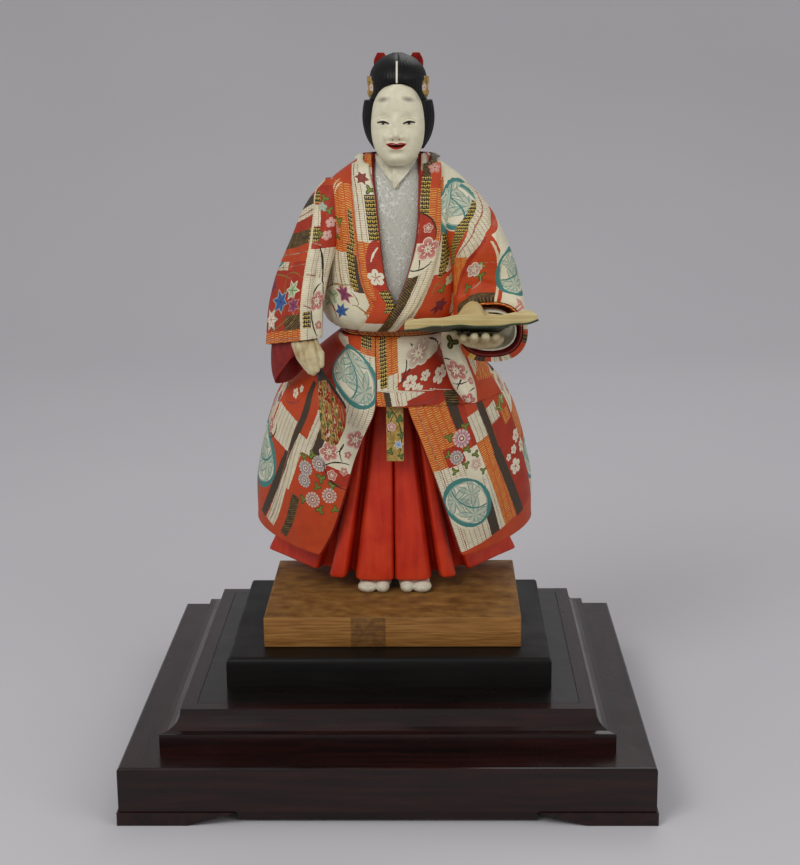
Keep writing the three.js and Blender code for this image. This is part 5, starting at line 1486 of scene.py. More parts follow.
def shell_object(name, outer, inner, uv, materials, soft=0.0, closed=False):
    """Closed shell between two grids. Material 0 is the outside, 1 the inside and 2 the edge."""
    nu, nv = outer.shape[:2]
    count = nu * nv
    points = np.concatenate([outer.reshape(-1, 3), inner.reshape(-1, 3)])
    spots = np.tile(uv.reshape(-1, 2), (2, 1))
    faces = []
    slots = []
    wraps = []

    def add(face, slot, wrapping=False):
        faces.append(face)
        slots.append(slot)
        wraps.append(wrapping)

    for i in range(nu if closed else nu - 1):
        k = (i + 1) % nu
        for j in range(nv - 1):
            a, b, c, d = i * nv + j, k * nv + j, k * nv + j + 1, i * nv + j + 1
            add((a, b, c, d), 0, k == 0)
            add((count + a, count + d, count + c, count + b), 1, k == 0)
        a, b = i * nv, k * nv
        add((a, count + a, count + b, b), 2, k == 0)
        c, d = a + nv - 1, b + nv - 1
        add((c, d, count + d, count + c), 2, k == 0)
    if not closed:
        for a in range(nv - 1):
            add((a, a + 1, count + a + 1, count + a), 2)
            c = (nu - 1) * nv + a
            add((c, count + c, count + c + 1, c + 1), 2)
    seam = uv[-1, :, 0] + np.linalg.norm(outer[0] - outer[-1], axis=-1)
    uvs = []
    for face, wrapping in zip(faces, wraps):
        for corner in face:
            u, v = spots[corner]
            if wrapping and corner % count < nv:
                u = seam[corner % count]
            uvs.append((u, v))
    a, b, c = (points[i] for i in faces[0][:3])
    if np.dot(np.cross(b - a, c - a), points[0] - points[count]) < 0:
        faces, uvs = reversed_faces(faces, uvs)
    obj = add_object(name, points, faces, uvs, materials, slots)
    return soften(obj, soft) if soft else obj


def tube_faces(rings, count):
    faces = []
    for r in range(rings - 1):
        for i in range(count):
            a = r * count + i
            b = r * count + (i + 1) % count
            faces.append((a, b, b + count, a + count))
    faces.append(tuple(reversed(range(count))))
    faces.append(tuple((rings - 1) * count + i for i in range(count)))
    return faces


def stack_object(name, rings, paint, uv):
    """Closed solid through rings of equal point counts, capped at both ends."""
    rings = np.asarray(rings, float)
    levels, count = rings.shape[:2]
    faces = tube_faces(levels, count)
    points = rings.reshape(-1, 3)
    seam = np.concatenate([rings, rings[:, :1]], axis=1)
    around = arc_lengths(seam, 1)
    centres = rings.mean(axis=1)
    along = arc_lengths(centres)
    uvs = []
    for face in faces:
        wraps = len(face) == 4 and face[0] % count == count - 1
        for corner in face:
            level, spot = divmod(corner, count)
            if wraps and spot == 0:
                spot = count
            uvs.append(uv(points[corner], around[level, spot], along[level]))
    a, b, c = (points[i] for i in faces[(levels // 2) * count][:3])
    if np.dot(np.cross(b - a, c - a), a - centres[levels // 2]) < 0:
        faces, uvs = reversed_faces(faces, uvs)
    return add_object(name, points, faces, uvs, [paint], [0] * len(faces))


def capsule(points, radii, count=14):
    """Points and faces of a round limb through points with a radius at each."""
    points = [Vector(p) for p in points]
    rings = []
    sides = len(points)
    for i, p in enumerate(points):
        ahead = points[min(i + 1, sides - 1)] - points[max(i - 1, 0)]
        axis = ahead.normalized()
        first = axis.orthogonal().normalized()
        second = axis.cross(first)
        radius = radii[i]
        if i == 0:
            steps = (-0.95, -0.7, -0.35, 0)
        elif i == sides - 1:
            steps = (0, 0.35, 0.7, 0.95)
        else:
            steps = (0,)
        for step in steps:
            size = radius * math.sqrt(1 - step * step)
            at = p + axis * radius * step
            rings.append([at + (first * math.cos(t) + second * math.sin(t)) * size
                          for t in np.linspace(0, 2 * math.pi, count, endpoint=False)])
    return [tuple(p) for ring in rings for p in ring], tube_faces(len(rings), count)


def front_uv(point, around, along):
    """Cloth laid on from the front."""
    return point[0] * MM, point[2] * MM


def strand_uv(point, around, along):
    return around * MM, along * MM


def ellipsoid(centre, half, count=18, levels=11):
    """Points and faces of a rounded lump."""
    points = []
    for tilt in np.linspace(-0.48 * math.pi, 0.48 * math.pi, levels):
        for t in np.linspace(0, 2 * math.pi, count, endpoint=False):
            points.append(tuple(Vector(centre) + Vector((
                math.cos(t) * math.cos(tilt) * half[0],
                math.sin(t) * math.cos(tilt) * half[1],
                math.sin(tilt) * half[2],
            ))))
    return points, tube_faces(levels, count)


def gathered(name, parts, paint):
    """One piece of several lumps, each given by its points and faces."""
    points = []
    faces = []
    for part_points, part_faces in parts:
        start = len(points)
        points.extend(part_points)
        faces.extend(tuple(start + i for i in face) for face in part_faces)
    return add_object(name, points, faces, None, [paint], [0] * len(faces))


def merged(name, parts, voxel, paint, rounds=4):
    """One skin over overlapping lumps, as for a hand or a foot carved from one block."""
    obj = gathered(name, parts, paint)
    fuse = obj.modifiers.new("fuse", "REMESH")
    fuse.mode = "VOXEL"
    fuse.voxel_size = voxel * MM
    fuse.use_smooth_shade = True
    ease = obj.modifiers.new("ease", "SMOOTH")
    ease.factor = 0.5
    ease.iterations = rounds
    return apply_modifiers(obj)


def apply_modifiers(obj):
    graph = bpy.context.evaluated_depsgraph_get()
    shaped = bpy.data.meshes.new_from_object(obj.evaluated_get(graph))
    shaped.name = obj.name
    obj.modifiers.clear()
    old = obj.data
    obj.data = shaped
    bpy.data.meshes.remove(old)
    return obj


# Body sections: angle 0 is the front, positive towards +X

DRAPE = {
    "mid_x": curve([[100, 1.6], [243, 1.6]]),
    "mid_y": curve([[100, 33], [150, 30], [180, 25], [205, 20], [225, 16.5], [243, 14]]),
    "side": curve([
        [96, 78], [111, 81.5], [130, 85], [150, 85.6], [167, 82.5], [185, 78],
        [205, 70.5], [217, 62], [228, 50], [237, 39], [243, 31],
    ]),
    "front": curve([
        [100, 51], [150, 52], [180, 48], [205, 43], [225, 37], [237, 29], [243, 23.5],
    ]),
    "back": curve([[100, 27], [150, 25], [205, 27], [225, 27], [243, 24]]),
    "front_power": curve([[100, 1.65], [150, 1.75], [205, 2], [243, 2.2]]),
    "back_power": curve([[100, 2.6], [243, 2.4]]),
}
TORSO = {
    "mid_x": curve([[243, 1.8], [262, 3], [346, 5.8]]),
    "mid_y": curve([[243, 13], [300, 12], [346, 12]]),
    "side": curve([
        [243, 30], [247, 33], [251, 38], [258, 41.5], [270, 42.5], [290, 43], [315, 43],
        [328, 41], [333, 36.5], [338, 30], [343, 22.5], [346, 17.5],
    ]),
    "front": curve([
        [243, 24], [247, 28], [250, 32.5], [255, 36.5], [262, 37.5], [280, 35.5],
        [300, 32], [315, 28.5], [330, 23], [338, 19], [343, 15], [346, 12],
    ]),
    "back": curve([
        [243, 25], [247, 27], [255, 30], [280, 31.5], [310, 31], [325, 28], [335, 23.5],
        [343, 18], [346, 14.5],
    ]),
    "front_power": curve([[243, 2.2], [346, 2.2]]),
    "back_power": curve([[243, 2.4], [346, 2.3]]),
}


def drape_fold(angle, z):
    side = np.abs(angle)
    ripple = np.cos(side * 6.5) * 2.1
    fade = smooth(z, 105, 150) * (1 - smooth(z, 215, 240)) * smooth(side, 0.4, 0.9)
    hollow = 9 * bell(side, math.radians(66), 0.3)
    return ripple * fade - hollow * smooth(z, 200, 226) * (1 - smooth(z, 234, 243))


def section(body, angle, z, offset=0.0):
    """Points of a body section at an angle and a level, a distance outside it."""
    angle, z, offset = np.broadcast_arrays(
        np.asarray(angle, float), np.asarray(z, float), np.asarray(offset, float))
    across = np.sin(angle)
    along = -np.cos(angle)
    front = along < 0
    reach = np.where(front, body["front"](z), body["back"](z))
    power = np.where(front, body["front_power"](z), body["back_power"](z))
    total = np.abs(across / body["side"](z)) ** power + np.abs(along / reach) ** power
    radius = total ** (-1 / power) + offset
    if body is DRAPE:
        radius = radius + drape_fold(angle, z)
    return stacked(body["mid_x"](z) + across * radius, body["mid_y"](z) + along * radius, z)


def angle_at(body, x, z):
    """Angle at which the front of a section has the given x."""
    x, z = np.broadcast_arrays(np.asarray(x, float), np.asarray(z, float))
    low = np.full(z.shape, -math.pi / 2)
    high = np.full(z.shape, math.pi / 2)
    for _ in range(30):
        middle = (low + high) / 2
        short = section(body, middle, z)[..., 0] < x
        low = np.where(short, middle, low)
        high = np.where(short, high, middle)
    return (low + high) / 2


def arc_lengths(grid, axis=0):
    """Distance along one axis of a grid, from its first point."""
    steps = np.linalg.norm(np.diff(grid, axis=axis), axis=-1)
    total = np.cumsum(steps, axis=axis)
    shape = list(total.shape)
    shape[axis] = 1
    return np.concatenate([np.zeros(shape), total], axis=axis)


# Skirt of the robe

OPENING = {
    "right": curve([
        [105, -44.5], [111, -42], [128, -33.7], [156, -24.6], [172, -20], [186, -14.6],
        [FLAP, -7.3], [WAIST, -7.3],
    ]),
    "left": curve([
        [105, 44.5], [111, 42.3], [138, 34], [162, 26.4], [186, 18], [FLAP, 11.3],
        [WAIST, 6],
    ]),
}
SKIRT_COLUMNS = 150
SKIRT_ROWS = 90


def skirt_lows(angle):
    return ROBE_HEM + ROBE_HEM_RISE * smooth(np.abs(angle), 0.78, 2.1)


def angles_round(start, sign, columns):
    """Angles of each level, from the opening's edge round to the centre of the back."""
    share = np.linspace(0, 1, columns)[:, None]
    lowest = start[0]
    seam = sign * (math.pi - BACK_SEAM)
    return lerp(lowest, seam, share) + (start[None, :] - lowest) * (1 - smooth(share, 0, 0.5))


# Half the angle left open at the centre of the back
BACK_SEAM = 0.002
# Rows of the skirt above its flap, and the half step left out at the flap's level
FLAP_ROWS = 30
FLAP_STEP = 0.004
# How much the rows of the pattern climb from the opening towards the back
HEM_SLANT = 0.22


def make_skirt(side, cloth, lining):
    sign = SIGN[side]
    lower = np.linspace(0, 1, SKIRT_ROWS - FLAP_ROWS)
    flap_share = (FLAP - ROBE_HEM) / (WAIST - ROBE_HEM)
    shares = np.concatenate([
        lower * (flap_share - FLAP_STEP),
        np.linspace(flap_share + FLAP_STEP, 1, FLAP_ROWS),
    ])
    level = ROBE_HEM + (WAIST - ROBE_HEM) * shares
    edge_x = OPENING[side](level) + sign * GAP / 2
    if side == "left":
        edge_x = np.where(level > FLAP, OPENING["right"](level) + GAP / 2, edge_x)
    angle = angles_round(angle_at(DRAPE, edge_x, level), sign, SKIRT_COLUMNS)
    low = skirt_lows(angle)
    z = low + (WAIST - low) * shares[None, :]
    flute = skirt_relief(angle, z)
    outer = section(DRAPE, angle, z, flute)
    inner = section(DRAPE, angle, z, flute - ROBE_WALL)
    around = arc_lengths(outer)
    reference = angle_at(DRAPE, OPENING[side](level), level)
    at_reference = np.array([
        np.interp(abs(reference[j]), np.abs(angle[:, j]), around[:, j])
        if sign * reference[j] > sign * angle[0, j] else 0.0
        for j in range(len(level))
    ])
    u = around - at_reference[None, :]
    uv = cloth_uv(u, arc_lengths(outer, 1) - HEM_SLANT * u)
    name = f"robe_skirt_{side}_cloth"
    return shell_object(name, outer, inner, uv, [cloth, lining, lining], 0.5)


def skirt_relief(angle, z):
    """Broad carved planes of the skirt: flat facets meeting in soft ridges, and a turned hem."""
    turn = np.abs(angle)
    facets = 0.9 * np.cos(turn * 9.0 + 0.6) + 0.5 * np.cos(turn * 17.0 + z * 0.012)
    fade = smooth(turn, 0.75, 1.3) * smooth(z, 112, 140) * (1 - smooth(z, 200, 232))
    lip = 0.5 * bell(z - skirt_lows(angle), 0, 2.5)
    return facets * fade * 0.8 + lip


# Split trousers

PLEATS = [
    [0.5, -4], [1.4, -9.6], [9, -10.8], [20.4, -9.2], [22.4, -4.4], [23.4, 8], [26, 11],
    [28, -1], [30, -5.5], [36.8, -3.6], [38.4, 1.5], [36, 14], [43, 19], [46, 8.5],
    [60, 24], [78, 44.5], [76.5, 52], [56, 57], [28, 59.5], [0.5, 60.5],
]
FEET_X = 2.3


def rounded_outline(outline, cut=0.16, rounds=2):
    """Closed outline with its corners cut back a little, again and again."""
    points = np.array(outline, float)
    for _ in range(rounds):
        after = np.roll(points, -1, 0)
        share = np.full((len(points), 1), cut)
        first = points + (after - points) * share
        second = after - (after - points) * share
        points = np.stack([first, second], 1).reshape(-1, 2)
        cut = 0.25
    return points


def dense_outline(points, longest):
    """Closed outline with extra points on its long sides."""
    dense = []
    for i, p in enumerate(points):
        q = points[(i + 1) % len(points)]
        steps = max(1, math.ceil(np.linalg.norm(q - p) / longest))
        dense.extend(p + (q - p) * k / steps for k in range(steps))
    return np.array(dense)


TROUSER_REACH = {"right": 1.03, "left": 0.96}


def make_trousers(side, paint):
    sign = SIGN[side]
    reach = TROUSER_REACH[side]
    outline = dense_outline(rounded_outline(PLEATS), 2.2)
    across, y = outline[:, 0], outline[:, 1]
    corner = smooth(across, 30, 76)
    rings = []
    for t in np.concatenate([[0, 0.006, 0.014], np.linspace(0.03, 1, 44)]):
        scale = lerp(1, 0.27, t ** 0.92)
        tuck = 0.35 * (1 - smooth(t, 0, 0.014))
        pulled = np.where(across <= 0.9, across * 0.25, across * scale * reach)
        x = FEET_X + sign * (pulled - tuck * corner)
        z = HEM_FRONT + (WAIST - HEM_FRONT) * t + (HEM_CORNER - HEM_FRONT) * corner * (1 - t)
        deep = 14 + (y - 14) * lerp(1, 0.42, t) - 7 * math.sin(t * math.pi)
        deep = deep + tuck * (1 - smooth(y, 0, 30))
        rings.append(stacked(x, deep, z))
    return stack_object(
        f"hakama_{side}_carved", rings, paint,
        lambda point, around, along: (around * MM, point[2] * MM))


# Upper part of the robe

OVERLAP_EDGE = curve([[BLOUSE - 1, -6.5], [250, -3.6], [CROSSING, 5]])
NECKLINE = {
    "right": curve([
        [CROSSING, 4.6], [277, -0.6], [300, -3.8], [322, -6.3], [333, -7.8], [347, -8.8],
    ]),
    "left": curve([[CROSSING, 5], [280, 11.8], [300, 17], [322, 18.8], [349, 19.6]]),
}
COLLAR_SPAN = curve([[BLOUSE, 10], [275, 12], [315, 11], [NECK_TOP, 8]])
COLLAR_THICKNESS = 1.5


def neckline_x(side, z):
    edge = np.where(z < CROSSING, OVERLAP_EDGE(z), NECKLINE[side](z))
    return edge - GAP / 2 if side == "right" else edge + GAP / 2


def torso_relief(angle, z):
    """Carved folds of the chest: a blouse over the cord and creases towards the arm."""
    turn = np.abs(angle)
    front = 1 - smooth(turn, 1.2, 1.6)
    pull = 0.9 * np.sin(turn * 7.5 - z * 0.055) * smooth(turn, 0.55, 0.9) * front
    pull = pull * smooth(z, 252, 275) * (1 - smooth(z, 305, 325))
    pucker = 0.5 * np.cos(turn * 23) * bell(z, 249, 6)
    back = 0.8 * np.cos(turn * 8) * smooth(turn, 1.9, 2.4) * smooth(z, 250, 270)
    return pull + pucker + back * (1 - smooth(z, 300, 330))


# Level in the cloth of the robe's body at which it meets the waist cord
CLOTH_WAIST = 60


def make_torso(side, cloth, lining):
    level = np.concatenate([
        np.linspace(BLOUSE, 262, 16), np.linspace(262, 326, 40)[1:],
        np.linspace(326, NECK_TOP, 22)[1:],
    ])
    angle = angles_round(angle_at(TORSO, neckline_x(side, level), level), SIGN[side], 110)
    z = np.broadcast_to(level[None, :], angle.shape)
    relief = torso_relief(angle, z)
    outer = section(TORSO, angle, z, relief)
    inner = section(TORSO, angle, z, relief - ROBE_WALL)
    uv = cloth_uv(arc_lengths(outer), arc_lengths(outer, 1) - CLOTH_WAIST)
    name = f"robe_body_{side}_cloth"
    return shell_object(name, outer, inner, uv, [cloth, lining, lining], 0.4)


COLLAR_TURN = 341
NAPE_TOP = 345.6


def make_collar(side, cloth):
    """Neckline band: up the front, then round the nape."""
    sign = SIGN[side]
    level = np.concatenate([
        np.linspace(BLOUSE, 300, 34), np.linspace(300, COLLAR_TURN, 26)[1:],
    ])
    inner_angle = angle_at(TORSO, neckline_x(side, level), level)
    outer_angle = angle_at(TORSO, neckline_x(side, level) + sign * COLLAR_SPAN(level), level)
    across = np.linspace(0, 1, 13)
    front_angle = lerp(inner_angle[:, None], outer_angle[:, None], across[None, :])
    front_z = np.broadcast_to(level[:, None], front_angle.shape)
    rows_angle = []
    rows_z = []
    for turn in np.linspace(0, 1, 46)[1:]:
        reach = lerp(float(inner_angle[-1]), sign * (math.pi - 0.012), turn)
        low = lerp(343.6, 338, smooth(turn, 0.35, 1))
        ease = smooth(turn, 0, 0.25)
        side_angle = lerp(float(outer_angle[-1]), reach, ease)
        rows_angle.append(lerp(reach, side_angle, across))
        rows_z.append(lerp(
            lerp(COLLAR_TURN, NAPE_TOP, ease), lerp(COLLAR_TURN, low, ease), across))
    angle = np.concatenate([front_angle, np.array(rows_angle)])
    z = np.concatenate([front_z, np.array(rows_z)])
    lift = 1.45 * smooth(z, 328, 337)
    roll = 0.35 * bell(across, 0.0, 0.16) + 0.2 * bell(across, 1.0, 0.12)
    rims = bell(across, 0, 0.05) + bell(across, 1, 0.05)
    crown = 0.25 * np.sin(across * math.pi) - 0.3 * rims
    high = GAP + COLLAR_THICKNESS + lift + (crown + roll * 0.5)[None, :]
    outer = section(TORSO, angle, z, high)
    inner = section(TORSO, angle, z, GAP + lift)
    uv = cloth_uv(arc_lengths(outer, 1), arc_lengths(outer).mean(axis=1, keepdims=True))
    return shell_object(f"robe_collar_{side}_band", outer, inner, uv, [cloth] * 3, 0.3)


# Inner robe, cord and sash

# Offset of the inner robe from the body's section
INNER_ROBE = -ROBE_WALL - 4 * GAP - 0.8
# Inner collars: the outer edge's x by level, and the layer each lies in
UNDERCOLLARS = {
    "right": (curve([[327.6, 5.4], [329, 4.4], [336, -2.4], [345, -10.4]]), 0.0),
    "left": (curve([[327.6, 4.8], [329, 5.8], [336, 12.8], [345, 20.4]]), 0.9),
}


def make_inner_robe(paint, white):
    """Inner robe in the neckline, with its two inner collars."""
    levels = np.concatenate([np.linspace(243.4, 330, 50), np.linspace(331, 345, 12)])
    turns = np.linspace(-math.pi, math.pi, 96, endpoint=False)
    rings = [section(TORSO, turns, z, INNER_ROBE) for z in levels]
    stack_object("inner_robe_embossed", rings, paint, front_uv)
    for side, (edge, layer) in UNDERCOLLARS.items():
        sign = SIGN[side]
        level = np.linspace(327.6, 345, 36)
        across = np.linspace(0, 1, 9)
        inner_edge = edge(level) - sign * (0.4 + 13 * smooth(level, 327, 334))
        inner_edge = np.minimum(inner_edge, 7.2) if sign < 0 else np.maximum(inner_edge, 3.2)
        inner_angle = angle_at(TORSO, inner_edge, level)
        outer_angle = angle_at(TORSO, edge(level), level)
        angle = lerp(inner_angle[:, None], outer_angle[:, None], across[None, :])
        z = np.broadcast_to(level[:, None], angle.shape)
        low = INNER_ROBE + 2 * GAP + layer
        roll = 0.35 * bell(across, 0.12, 0.12)
        outer = section(TORSO, angle, z, low + 0.8 + roll[None, :])
        inner = section(TORSO, angle, z, low)
        uv = cloth_uv(arc_lengths(outer, 1), arc_lengths(outer))
        shell_object(f"undercollar_{side}_fold", outer, inner, uv, [white] * 3, 0.2)


def make_cord(paint):
    """Twisted cord round the waist, two strands lying side by side."""
    turns = np.linspace(0, 2 * math.pi, 220, endpoint=False)
    count = 10
    points = []
    faces = []
    uvs = []
    for row in range(2):
        z = WAIST + GAP + 0.95 + row * 1.7
        path = section(TORSO, turns, z, INNER_ROBE + GAP + 1.35)
        start = len(points)
        rings = len(path)
        for i, p in enumerate(path):
            ahead = path[(i + 1) % rings] - path[i - 1]
            ahead = ahead / np.linalg.norm(ahead)
            side = np.cross(ahead, [0, 0, 1])
            for k in range(count):
                a = 2 * math.pi * k / count
                points.append(p + side * 1.15 * math.cos(a) + np.array([0, 0, 0.92]) * math.sin(a))
        for i in range(rings):
            m = (i + 1) % rings
            for k in range(count):
                n = (k + 1) % count
                corners = (i * count + k, m * count + k, m * count + n, i * count + n)
                faces.append(tuple(start + corner for corner in corners))
                for ring_at, spot in ((i, k), (i + 1, k), (i + 1, k + 1), (i, k + 1)):
                    uvs.append((ring_at * 0.9 * MM, spot * 0.65 * MM))
    add_object("waist_cord_twisted", points, faces, uvs, [paint], [0] * len(faces))


SASH_X = 3.6
SASH_THICKNESS = 1.25


def make_sash(paint):
    """End of the sash, a stiff strip with a slight belly that hangs in the opening."""
    columns = np.linspace(-1, 1, 15)[:, None]
    rows = np.linspace(0, 1, 46)[None, :]
    z = lerp(FLAP - 33, FLAP + 9, rows)
    x = SASH_X + (5.3 - 0.25 * rows) * columns
    bow = 0.35 * (1 - columns ** 2) + 0.35 * np.sin(rows * 6)
    outer = stacked(x, -19 + 0.55 - bow, z)
    inner = outer + np.array([0, SASH_THICKNESS, 0])
    uv = cloth_uv(x - SASH_X, z - FLAP)
    shell_object("sash_end_strip", outer, inner, uv, [paint] * 3, 0.25)


# Sleeves: rings with a middle, half sizes, turn about the vertical, tilt and squareness


def ring(at, half, turn, tilt, power):
    return [*at, *half, math.radians(turn), math.radians(tilt), power]


RIGHT_SLEEVE = [
    ring((-29, 9, 332), (5.5, 7.5), 39, 0, 2.4),
    ring((-31.5, 8, 327), (7.5, 9.5), 39, 2, 2.6),
    ring((-36, 5, 316), (9.5, 13), 39, 4, 3),
    ring((-41, 0, 300), (10.4, 15.5), 39, 6, 3.4),
    ring((-48.5, -4.5, 280), (10, 18.3), 39, 8, 3.8),
    ring((-52.6, -8, 262), (9.8, 19.6), 39, 10, 4),
    ring((-54.2, -10, 241), (9.6, 20.5), 39, 11, 4),
]
LEFT_SLEEVE = [
    ring((33, 10, 332), (7, 9), 0, 0, 2.4),
    ring((39, 9, 326), (10.5, 12), 0, 0, 2.4),
    ring((44.5, 5, 315), (14.5, 19), 0, 2, 2.8),
    ring((49.5, 1, 301), (16.8, 23), 0, 8, 3.2),
    ring((53.5, -1, 284), (18.6, 24), 0, 25, 3.2),
    ring((56.5, -6, 267), (19.5, 22), 0, 50, 3),
    ring((58, -14, 254.5), (20.6, 19.8), 0, 74, 2.7),
    ring((58.5, -24.5, 249.5), (20.8, 18.3), 0, 94, 2.5),
]
SLEEVE_TAIL = [
    ring((39.5, -13, 257), (3, 4), 0, 0, 2.4),
    ring((37, -16.5, 249), (5.4, 5.5), 0, 0, 2.4),
    ring((36, -20.5, 241), (5.6, 7.5), 0, 0, 2.4),
    ring((38.5, -23, 231), (6.4, 8.4), 0, 0, 2.4),
    ring((43, -24.5, 218), (6.6, 8.2), 0, 0, 2.4),
    ring((47, -25, 208.5), (3.8, 5.6), 0, 0, 2.4),
]
# Lower end of the lining, which hangs out below the sleeve and sweeps up to the hand
RIGHT_LINING = [
    ring((-52.6, -8, 262), (7.0, 16.8), 39, 10, 4),
    ring((-54.0, -9.4, 243), (7.0, 17.6), 39, 14, 4),
    ring((-54.3, -8.8, 236), (8.0, 18.9), 39, 24, 3.6),
    ring((-54.4, -7.6, 230), (8.6, 19.6), 39, 34, 3.2),
    ring((-54.2, -6.8, 225.5), (8.2, 19), 39, 40, 3),
]
LEFT_HOLLOW = [
    ring((57, -6, 254), (14, 11), 0, 78, 2.4),
    ring((58, -15, 251.5), (16.6, 13.6), 0, 86, 2.4),
    ring((58.5, -24.5, 249.5), (18.2, 15.7), 0, 94, 2.4),
]
LEFT_CUFF = [
    ring((57.2, -11, 252.2), (11.4, 8.4), 0, 84, 2.3),
    ring((57.7, -17, 249.8), (14, 10.6), 0, 90, 2.3),
    ring((58, -23.5, 248.5), (15, 11.4), 0, 94, 2.3),
]


# Folds: points of a line in x and z, its width, its depth, and whether it is in front
RIGHT_FOLDS = [
    ([(-34, 316), (-37, 300), (-39, 284), (-41, 262)], 2.2, 1.1, True),
    ([(-47, 312), (-52, 296), (-57, 280), (-61, 262)], 3.4, 0.8, True),
    ([(-40, 330), (-50, 318)], 2.2, 0.7, True),
    ([(-39.5, 322), (-43, 300), (-46.5, 276), (-50.5, 246)], 1.1, -0.5, True),
    ([(-36, 320), (-47, 300), (-56, 272)], 5, 1.2, False),
    ([(-52, 300), (-62, 268), (-66, 245)], 5, 0.9, False),
]
LEFT_FOLDS = [
    ([(61, 311), (54, 302), (46, 284), (43, 268)], 2.4, 1.8, True),
    ([(58.6, 309), (51.4, 299), (43.5, 281)], 1.8, -0.7, True),
    ([(60.6, 303), (62.2, 284), (63.4, 267)], 1.0, -0.9, True),
    ([(44, 272), (52, 275.5), (60, 274), (68, 266)], 1.6, 0.8, True),
    ([(50, 326), (60, 314)], 2.6, 0.7, True),
    ([(44, 318), (54, 296), (60, 270)], 6, 1.4, False),
    ([(62, 304), (70, 280), (72, 258)], 5, 1.0, False),
    ([(50, 284), (60, 262), (64, 244)], 5, 1.1, False),
]
TAIL_FOLDS = [
    ([(38, 250), (36, 240), (39.5, 229), (46, 214)], 1.0, 1.0, True),
    ([(41.5, 250), (39.8, 238), (44.5, 224)], 1.2, -0.5, True),
]


def resampled(rings, count):
    """Rings in between, on a smooth curve through the given ones."""
    rows = np.array(rings, float)
    steps = np.linalg.norm(np.diff(rows[:, :3], axis=0), axis=-1)
    keys = np.concatenate([[0], np.cumsum(steps)])
    at = np.linspace(0, keys[-1], count)
    columns = [curve(list(zip(keys, rows[:, k])))(at) for k in range(rows.shape[1])]
    return np.stack(columns, -1), at


def ring_points(row, count):
    x, y, z, across, deep, turn, tilt, power = row
    flat = np.array([math.cos(turn), math.sin(turn), 0])
    rise = np.array([
        math.sin(turn) * math.cos(tilt), -math.cos(turn) * math.cos(tilt), math.sin(tilt),
    ])
    a = np.linspace(0, 2 * math.pi, count, endpoint=False)
    p = across * rounded_power(np.cos(a), 2 / power)
    q = deep * rounded_power(np.sin(a), 2 / power)
    return np.array([x, y, z]) + flat * p[:, None] + rise * q[:, None]


def tube_grid(rings, levels, count):
    """Grid through the rings, its points spread evenly round each, and the distance down it."""
    rows, at = resampled(rings, levels)
    return even_ring(np.stack([ring_points(row, count) for row in rows], axis=1)), at


def even_ring(grid):
    """Points of each ring spread evenly round it, from the same starting point."""
    nu, nv = grid.shape[:2]
    result = np.empty_like(grid)
    for j in range(nv):
        loop = np.concatenate([grid[:, j], grid[:1, j]])
        steps = np.linalg.norm(np.diff(loop, axis=0), axis=-1)
        keys = np.concatenate([[0], np.cumsum(steps)])
        at = np.linspace(0, keys[-1], nu, endpoint=False)
        for k in range(3):
            result[:, j, k] = np.interp(at, keys, loop[:, k])
    return result


def rounded_power(value, power):
    """Power of a value's size, with the value's sign."""
    return np.sign(value) * np.abs(value) ** power


def ring_uv(grid, at):
    """Cloth coordinates of a tube: round the ring from the front, and down the tube."""
    return cloth_uv(arc_lengths(grid), -at[None, :])


def carve(grid, folds):
    """Moves points in along their normals near folds drawn in the x and z of the front."""
    normal = outward(grid)
    shift = np.zeros(grid.shape[:2])
    spot = grid[..., [0, 2]]
    for points, width, depth, in_front in folds:
        points = np.array(points, float)
        best = np.full(grid.shape[:2], 1e9)
        for a, b in zip(points[:-1], points[1:]):
            along = b - a
            share = np.clip(((spot - a) @ along) / (along @ along), 0, 1)
            gap = np.linalg.norm(spot - (a + share[..., None] * along), axis=-1)
            best = np.minimum(best, gap)
        facing = -normal[..., 1] if in_front else normal[..., 1]
        shift -= depth * np.exp(-((best / width) ** 2)) * smooth(facing, 0.0, 0.35)
    return grid + normal * shift[..., None]


def inset_grid(grid, wall):
    """The same grid a wall's thickness further in."""
    return grid - outward(grid) * wall


def make_tube(name, rings, size, materials, wall, soft, folds=()):
    """Hanging tube of cloth through the rings, with its folds carved in."""
    grid, at = tube_grid(rings, *size)
    outer = carve(grid, folds)
    inner = inset_grid(outer, wall)
    return shell_object(name, outer, inner, ring_uv(grid, at), materials, soft, closed=True)


# Rows at the mouth of the left sleeve in which its wall thickens to the hollow
MOUTH_DEPTH = 26


def make_left_sleeve(cloth, lining):
    grid, at = tube_grid(LEFT_SLEEVE, 96, 140)
    outer = carve(grid, LEFT_FOLDS)
    hollow, _ = tube_grid(LEFT_HOLLOW, 40, 140)
    picks = np.linspace(0, hollow.shape[1] - 1, MOUTH_DEPTH).round().astype(int)
    share = smooth(np.linspace(0, 1, MOUTH_DEPTH), 0, 1)[None, :, None]
    inner = inset_grid(outer, ROBE_WALL)
    inner[:, -MOUTH_DEPTH:] = inner[:, -MOUTH_DEPTH:] * (1 - share) + hollow[:, picks] * share
    shell_object(
        "robe_sleeve_left_cloth", outer, inner, ring_uv(grid, at), [cloth, lining, cloth], 0.6,
        closed=True)


def make_left_lining(lining, white):
    grid, at = tube_grid(LEFT_HOLLOW, 36, 110)
    outer, inner = inset_grid(grid, 0.55), inset_grid(grid, 1.6)
    shell_object(
        "sleeve_lining_left_cloth", outer, inner, ring_uv(grid, at), [lining] * 3, 0.3,
        closed=True)
    make_tube("cuff_left_cloth", LEFT_CUFF, (30, 96), [white] * 3, 1.1, 0.3)


# Feet and hands

TOE_Y = -11.8


